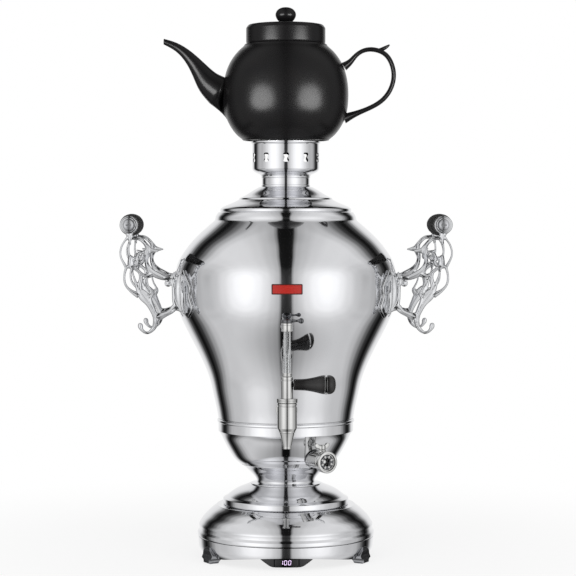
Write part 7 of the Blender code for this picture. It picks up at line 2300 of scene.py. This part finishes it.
@dataclass(frozen=True)
class Surround:
    """The room round the object: what polished metal mirrors, and the even light on everything else.

    Two soft boxes stand in front with a dark gap between them, and the white
    backdrop stands behind with a dark gap at each side.

    Args:
        ring: How bright the front of the room is, by the angle from the front, as (degrees, share).
        backdrop: How bright the backdrop is, by the same angle.
        sweep: How bright the boxes and the gap are, by the angle off the middle plane.
        lift: How bright they stay towards the floor and the ceiling, by the angle upwards.
        spot: The fall-off of the bright middle of each box, by the angle from it.
        spot_place: Where that middle is, sideways and upwards in degrees.
        peak: The level of share 1 for mirrored light.
        spot_peak: How much the middle of a box adds.
        fill: The level of the even light.
    """

    ring: Tuple[Flat, ...] = ((0.0, 1.0), (97.0, 1.0), (104.0, 0.85), (111.0, 0.52), (117.0, 0.2), (122.0, 0.05),
                              (128.0, 0.01), (180.0, 0.01))
    backdrop: Tuple[Flat, ...] = ((0.0, 0.0), (130.0, 0.0), (136.0, 0.06), (141.0, 0.32), (146.0, 0.72),
                                  (151.0, 0.95),
                                  (158.0, 1.0), (180.0, 1.0))
    sweep: Tuple[Flat, ...] = ((0.0, 0.01), (4.6, 0.012), (6.4, 0.4), (8.0, 0.62), (14.0, 0.74), (21.0, 0.88),
                               (30.0, 0.96), (41.0, 0.98), (52.0, 0.93), (66.0, 0.8), (80.0, 0.68), (90.0, 0.6))
    lift: Tuple[Flat, ...] = ((-90.0, 0.35), (-65.0, 0.55), (-45.0, 0.82), (-30.0, 0.86), (-18.0, 0.93), (-6.0, 1.0),
                              (10.0, 1.0), (35.0, 1.0), (56.0, 1.0), (72.0, 0.95), (90.0, 0.75))
    spot: Tuple[Flat, ...] = ((0.0, 1.0), (8.0, 0.93), (16.0, 0.72), (25.0, 0.42), (35.0, 0.18), (45.0, 0.05),
                              (56.0, 0.0), (180.0, 0.0))
    spot_place: Flat = (44.0, -3.0)
    peak: float = 0.94
    spot_peak: float = 0.5
    fill: float = 0.66

    def ramp(self, tree: bpy.types.NodeTree, stops: Sequence[Flat], source: bpy.types.NodeSocket
             ) -> bpy.types.NodeSocket:
        """Add a grey ramp over an angle.

        Args:
            tree: The world's nodes.
            stops: Angles in degrees with their levels, over the ramp's whole length.
            source: The angle in radians.
        Returns:
            The level's socket.
        """
        low, high = stops[0][0], stops[-1][0]
        span = add(tree, "ShaderNodeMapRange", {"From Min": math.radians(low), "From Max": math.radians(high)},
                   {"Value": source})
        node = add(tree, "ShaderNodeValToRGB", {}, {"Fac": span.outputs["Result"]})
        node.color_ramp.interpolation = "EASE"
        elements = node.color_ramp.elements
        for i, (degrees, level) in enumerate(stops):
            place = (degrees - low) / (high - low)
            if i >= len(elements):
                elements.new(place)
            elements[i].position = place
            elements[i].color = (level, level, level, 1.0)
        return node.outputs["Color"]

    def calculate(self, tree: bpy.types.NodeTree, operation: str, *sources: object) -> bpy.types.NodeSocket:
        """Add a Math node.

        Args:
            tree: The world's nodes.
            operation: What it does.
            sources: Its inputs in order, each a socket or a number.
        Returns:
            Its result's socket.
        """
        node = add(tree, "ShaderNodeMath", {"operation": operation})
        for socket, source in zip(node.inputs, sources):
            if isinstance(source, float):
                socket.default_value = source
            else:
                tree.links.new(source, socket)
        return node.outputs["Value"]

    def make(self) -> bpy.types.World:
        """Return the world."""
        world = bpy.data.worlds.new("studio")
        world.use_nodes = True
        tree = world.node_tree
        way = add(tree, "ShaderNodeSeparateXYZ", {},
                  {"Vector": add(tree, "ShaderNodeTexCoord").outputs["Generated"]}).outputs
        aside = self.calculate(tree, "ABSOLUTE", way["X"])
        folded = add(tree, "ShaderNodeCombineXYZ", {}, {"X": aside, "Y": way["Y"], "Z": way["Z"]})
        azimuth, height = (math.radians(angle) for angle in self.spot_place)
        near = add(tree, "ShaderNodeVectorMath", {"operation": "DOT_PRODUCT"}, {0: folded.outputs["Vector"]})
        near.inputs[1].default_value = (math.sin(azimuth) * math.cos(height), -math.cos(azimuth) * math.cos(height),
                                        math.sin(height))
        from_front = self.calculate(tree, "ARCCOSINE", self.calculate(tree, "MULTIPLY", way["Y"], -1.0))
        levels = [self.ramp(tree, self.sweep, self.calculate(tree, "ARCSINE", aside)),
                  self.ramp(tree, self.lift, self.calculate(tree, "ARCSINE", way["Z"])),
                  self.ramp(tree, self.ring, from_front)]
        boxes = self.calculate(tree, "MULTIPLY", self.calculate(tree, "MULTIPLY", levels[0], levels[1]), levels[2])
        broad = self.calculate(tree, "ADD", boxes, self.ramp(tree, self.backdrop, from_front))
        spots = self.ramp(tree, self.spot, self.calculate(tree, "ARCCOSINE", near.outputs["Value"]))
        mirrored = self.calculate(tree, "ADD", self.calculate(tree, "MULTIPLY", broad, self.peak),
                                  self.calculate(tree, "MULTIPLY", spots, self.spot_peak))
        path = add(tree, "ShaderNodeLightPath").outputs
        seen = self.calculate(tree, "MAXIMUM", path["Is Camera Ray"], path["Is Transmission Ray"])
        plain = self.calculate(tree, "MAXIMUM", seen, self.fill)
        others = self.calculate(tree, "SUBTRACT", 1.0, path["Is Glossy Ray"])
        level = self.calculate(tree, "ADD", self.calculate(tree, "MULTIPLY", plain, others),
                               self.calculate(tree, "MULTIPLY", mirrored, path["Is Glossy Ray"]))
        background = tree.nodes["Background"]
        background.inputs["Color"].default_value = from_hex("FFFFFF")
        tree.links.new(level, background.inputs["Strength"])
        return world


# The pieces that two lamps of their own light
GLAZED = ("pot", "spout", "strap_handle", "pot_lid")


@dataclass(frozen=True)
class Lamp:
    """A soft lamp that faces the object.

    Args:
        name: What it is called.
        azimuth: The angle it stands at, in degrees.
        level: Its height.
        power: Its power in watts.
        sizes: How wide and high it is.
        aim: The height it is turned to.
        only: The names of the pieces that it lights and that mirror it; a lamp without any lights
            all pieces and isn't mirrored.
        distance: How far from the object's middle it stands.
    """

    name: str
    azimuth: float
    level: float
    power: float
    sizes: Flat = (1.6, 1.8)
    aim: float = 0.3
    only: Tuple[str, ...] = ()
    distance: float = 2.2

    def hang(self) -> None:
        """Hang the lamp."""
        angle = math.radians(self.azimuth)
        place = Vector((self.distance * math.cos(angle), self.distance * math.sin(angle), self.level))
        bpy.ops.object.light_add(type="AREA", location=place)
        light = bpy.context.object
        light.name = self.name
        light.data.shape = "ELLIPSE" if self.only else "RECTANGLE"
        light.data.size, light.data.size_y = self.sizes
        light.data.energy = self.power
        light.visible_glossy = bool(self.only)
        light.rotation_euler = (Vector((0.0, 0.0, self.aim)) - place).to_track_quat("-Z", "Y").to_euler()
        if self.only:
            lit = bpy.data.collections.new("lit by " + self.name)
            for piece in bpy.context.scene.objects:
                if piece.name in self.only:
                    lit.objects.link(piece)
            light.light_linking.receiver_collection = lit


@dataclass
class Studio:
    """A pale floor, soft lamps, the room and the camera.

    Args:
        axis: The column's axis.
        viewpoint: Where the camera stands: sideways, from the axis, and its height.
        tilt: How far it looks down, in degrees.
        swing: How far it looks right, in degrees.
        lens: Its focal length in millimetres.
        film: The width of its film in millimetres.
        sight: How far it sees.
        floor_size: How wide and long the floor is.
        surround: The room.
        shadow_share: How much of the floor's shading the camera sees by the object and far off.
        shadow_reach: How far from the object the one turns to the other.
        lamps: The lamps.
    """

    axis: Axis
    viewpoint: Corner = (-30 * MM, -2660 * MM, 460 * MM)
    tilt: float = 2.2
    swing: float = 0.71
    lens: float = 125.0
    film: float = 36.0
    sight: float = 50.0
    floor_size: float = 12.0
    surround: Surround = Surround()
    shadow_share: Flat = (0.22, 0.0)
    shadow_reach: Flat = (0.22, 0.85)
    lamps: Tuple[Lamp, ...] = (Lamp("key_left", 232.0, 1.0, 13.0), Lamp("key_right", 308.0, 1.0, 13.0),
                               Lamp("glint_left", 226.0, 0.42, 100.0, (1.8, 1.1), 0.62, GLAZED),
                               Lamp("glint_right", 314.0, 0.42, 100.0, (1.8, 1.1), 0.62, GLAZED))

    def build(self) -> None:
        """Build the camera, the floor, the lights and the world."""
        self.build_camera()
        self.build_floor()
        for lamp in self.lamps:
            lamp.hang()
        bpy.context.scene.world = self.surround.make()

    def build_camera(self) -> None:
        """Place the camera."""
        sideways, back, height = self.viewpoint
        bpy.ops.object.camera_add(location=(sideways, self.axis.place.y + back, height),
                                  rotation=(math.radians(90 - self.tilt), 0.0, math.radians(-self.swing)))
        camera = bpy.context.object
        camera.data.lens = self.lens
        camera.data.sensor_width = self.film
        camera.data.clip_end = self.sight
        bpy.context.scene.camera = camera

    def build_floor(self) -> None:
        """Lay the pale floor, which melts into the white backdrop and keeps the object's shadow."""
        bpy.ops.mesh.primitive_plane_add(size=self.floor_size, location=(0.0, 0.0, 0.0))
        floor = bpy.context.object
        floor.name = "floor"
        material, tree, shader = start("studio floor")
        shader.inputs["Base Color"].default_value = from_hex("FAFAFA")
        shader.inputs["Roughness"].default_value = 0.9
        shader.inputs["Specular IOR Level"].default_value = 0.0
        white = add(tree, "ShaderNodeEmission")
        white.inputs["Color"].default_value = from_hex("FFFFFF")
        away = add(tree, "ShaderNodeVectorMath", {"operation": "LENGTH"},
                   {0: add(tree, "ShaderNodeTexCoord").outputs["Object"]})
        near, far = self.shadow_share
        part = add(tree, "ShaderNodeMapRange", {"interpolation_type": "SMOOTHSTEP", "From Min": self.shadow_reach[0],
                                                "From Max": self.shadow_reach[1], "To Min": 1.0 - near,
                                                "To Max": 1.0 - far}, {"Value": away.outputs["Value"]})
        share = add(tree, "ShaderNodeMath", {"operation": "MULTIPLY"},
                    {0: part.outputs["Result"], 1: add(tree, "ShaderNodeLightPath").outputs["Is Camera Ray"]})
        mix = add(tree, "ShaderNodeMixShader", {}, {"Fac": share.outputs["Value"]})
        tree.links.new(shader.outputs["BSDF"], mix.inputs[1])
        tree.links.new(white.outputs["Emission"], mix.inputs[2])
        tree.links.new(mix.outputs["Shader"], tree.nodes["Material Output"].inputs["Surface"])
        paint(floor, material)
        floor.visible_glossy = False


def main() -> None:
    """Build the samovar and its studio."""
    logging.basicConfig(level=logging.INFO, format="%(message)s")
    middle = Space.of("vessel_body").middle
    axis = Axis(Vector((middle.x, middle.y, 0.0)))
    FITTINGS.dress()
    tank = Tank(axis)
    for part in (Base(axis), tank, Handles(axis, tank), Lid(axis), Crown(axis), Teapot(axis), Tap(axis, tank),
                 Gauge(axis), Drain(axis, tank), Panel(axis)):
        part.build()
        part.dress()
    Studio(axis).build()
    bpy.context.scene.view_settings.view_transform = "Standard"


if __name__ == "__main__":
    main()
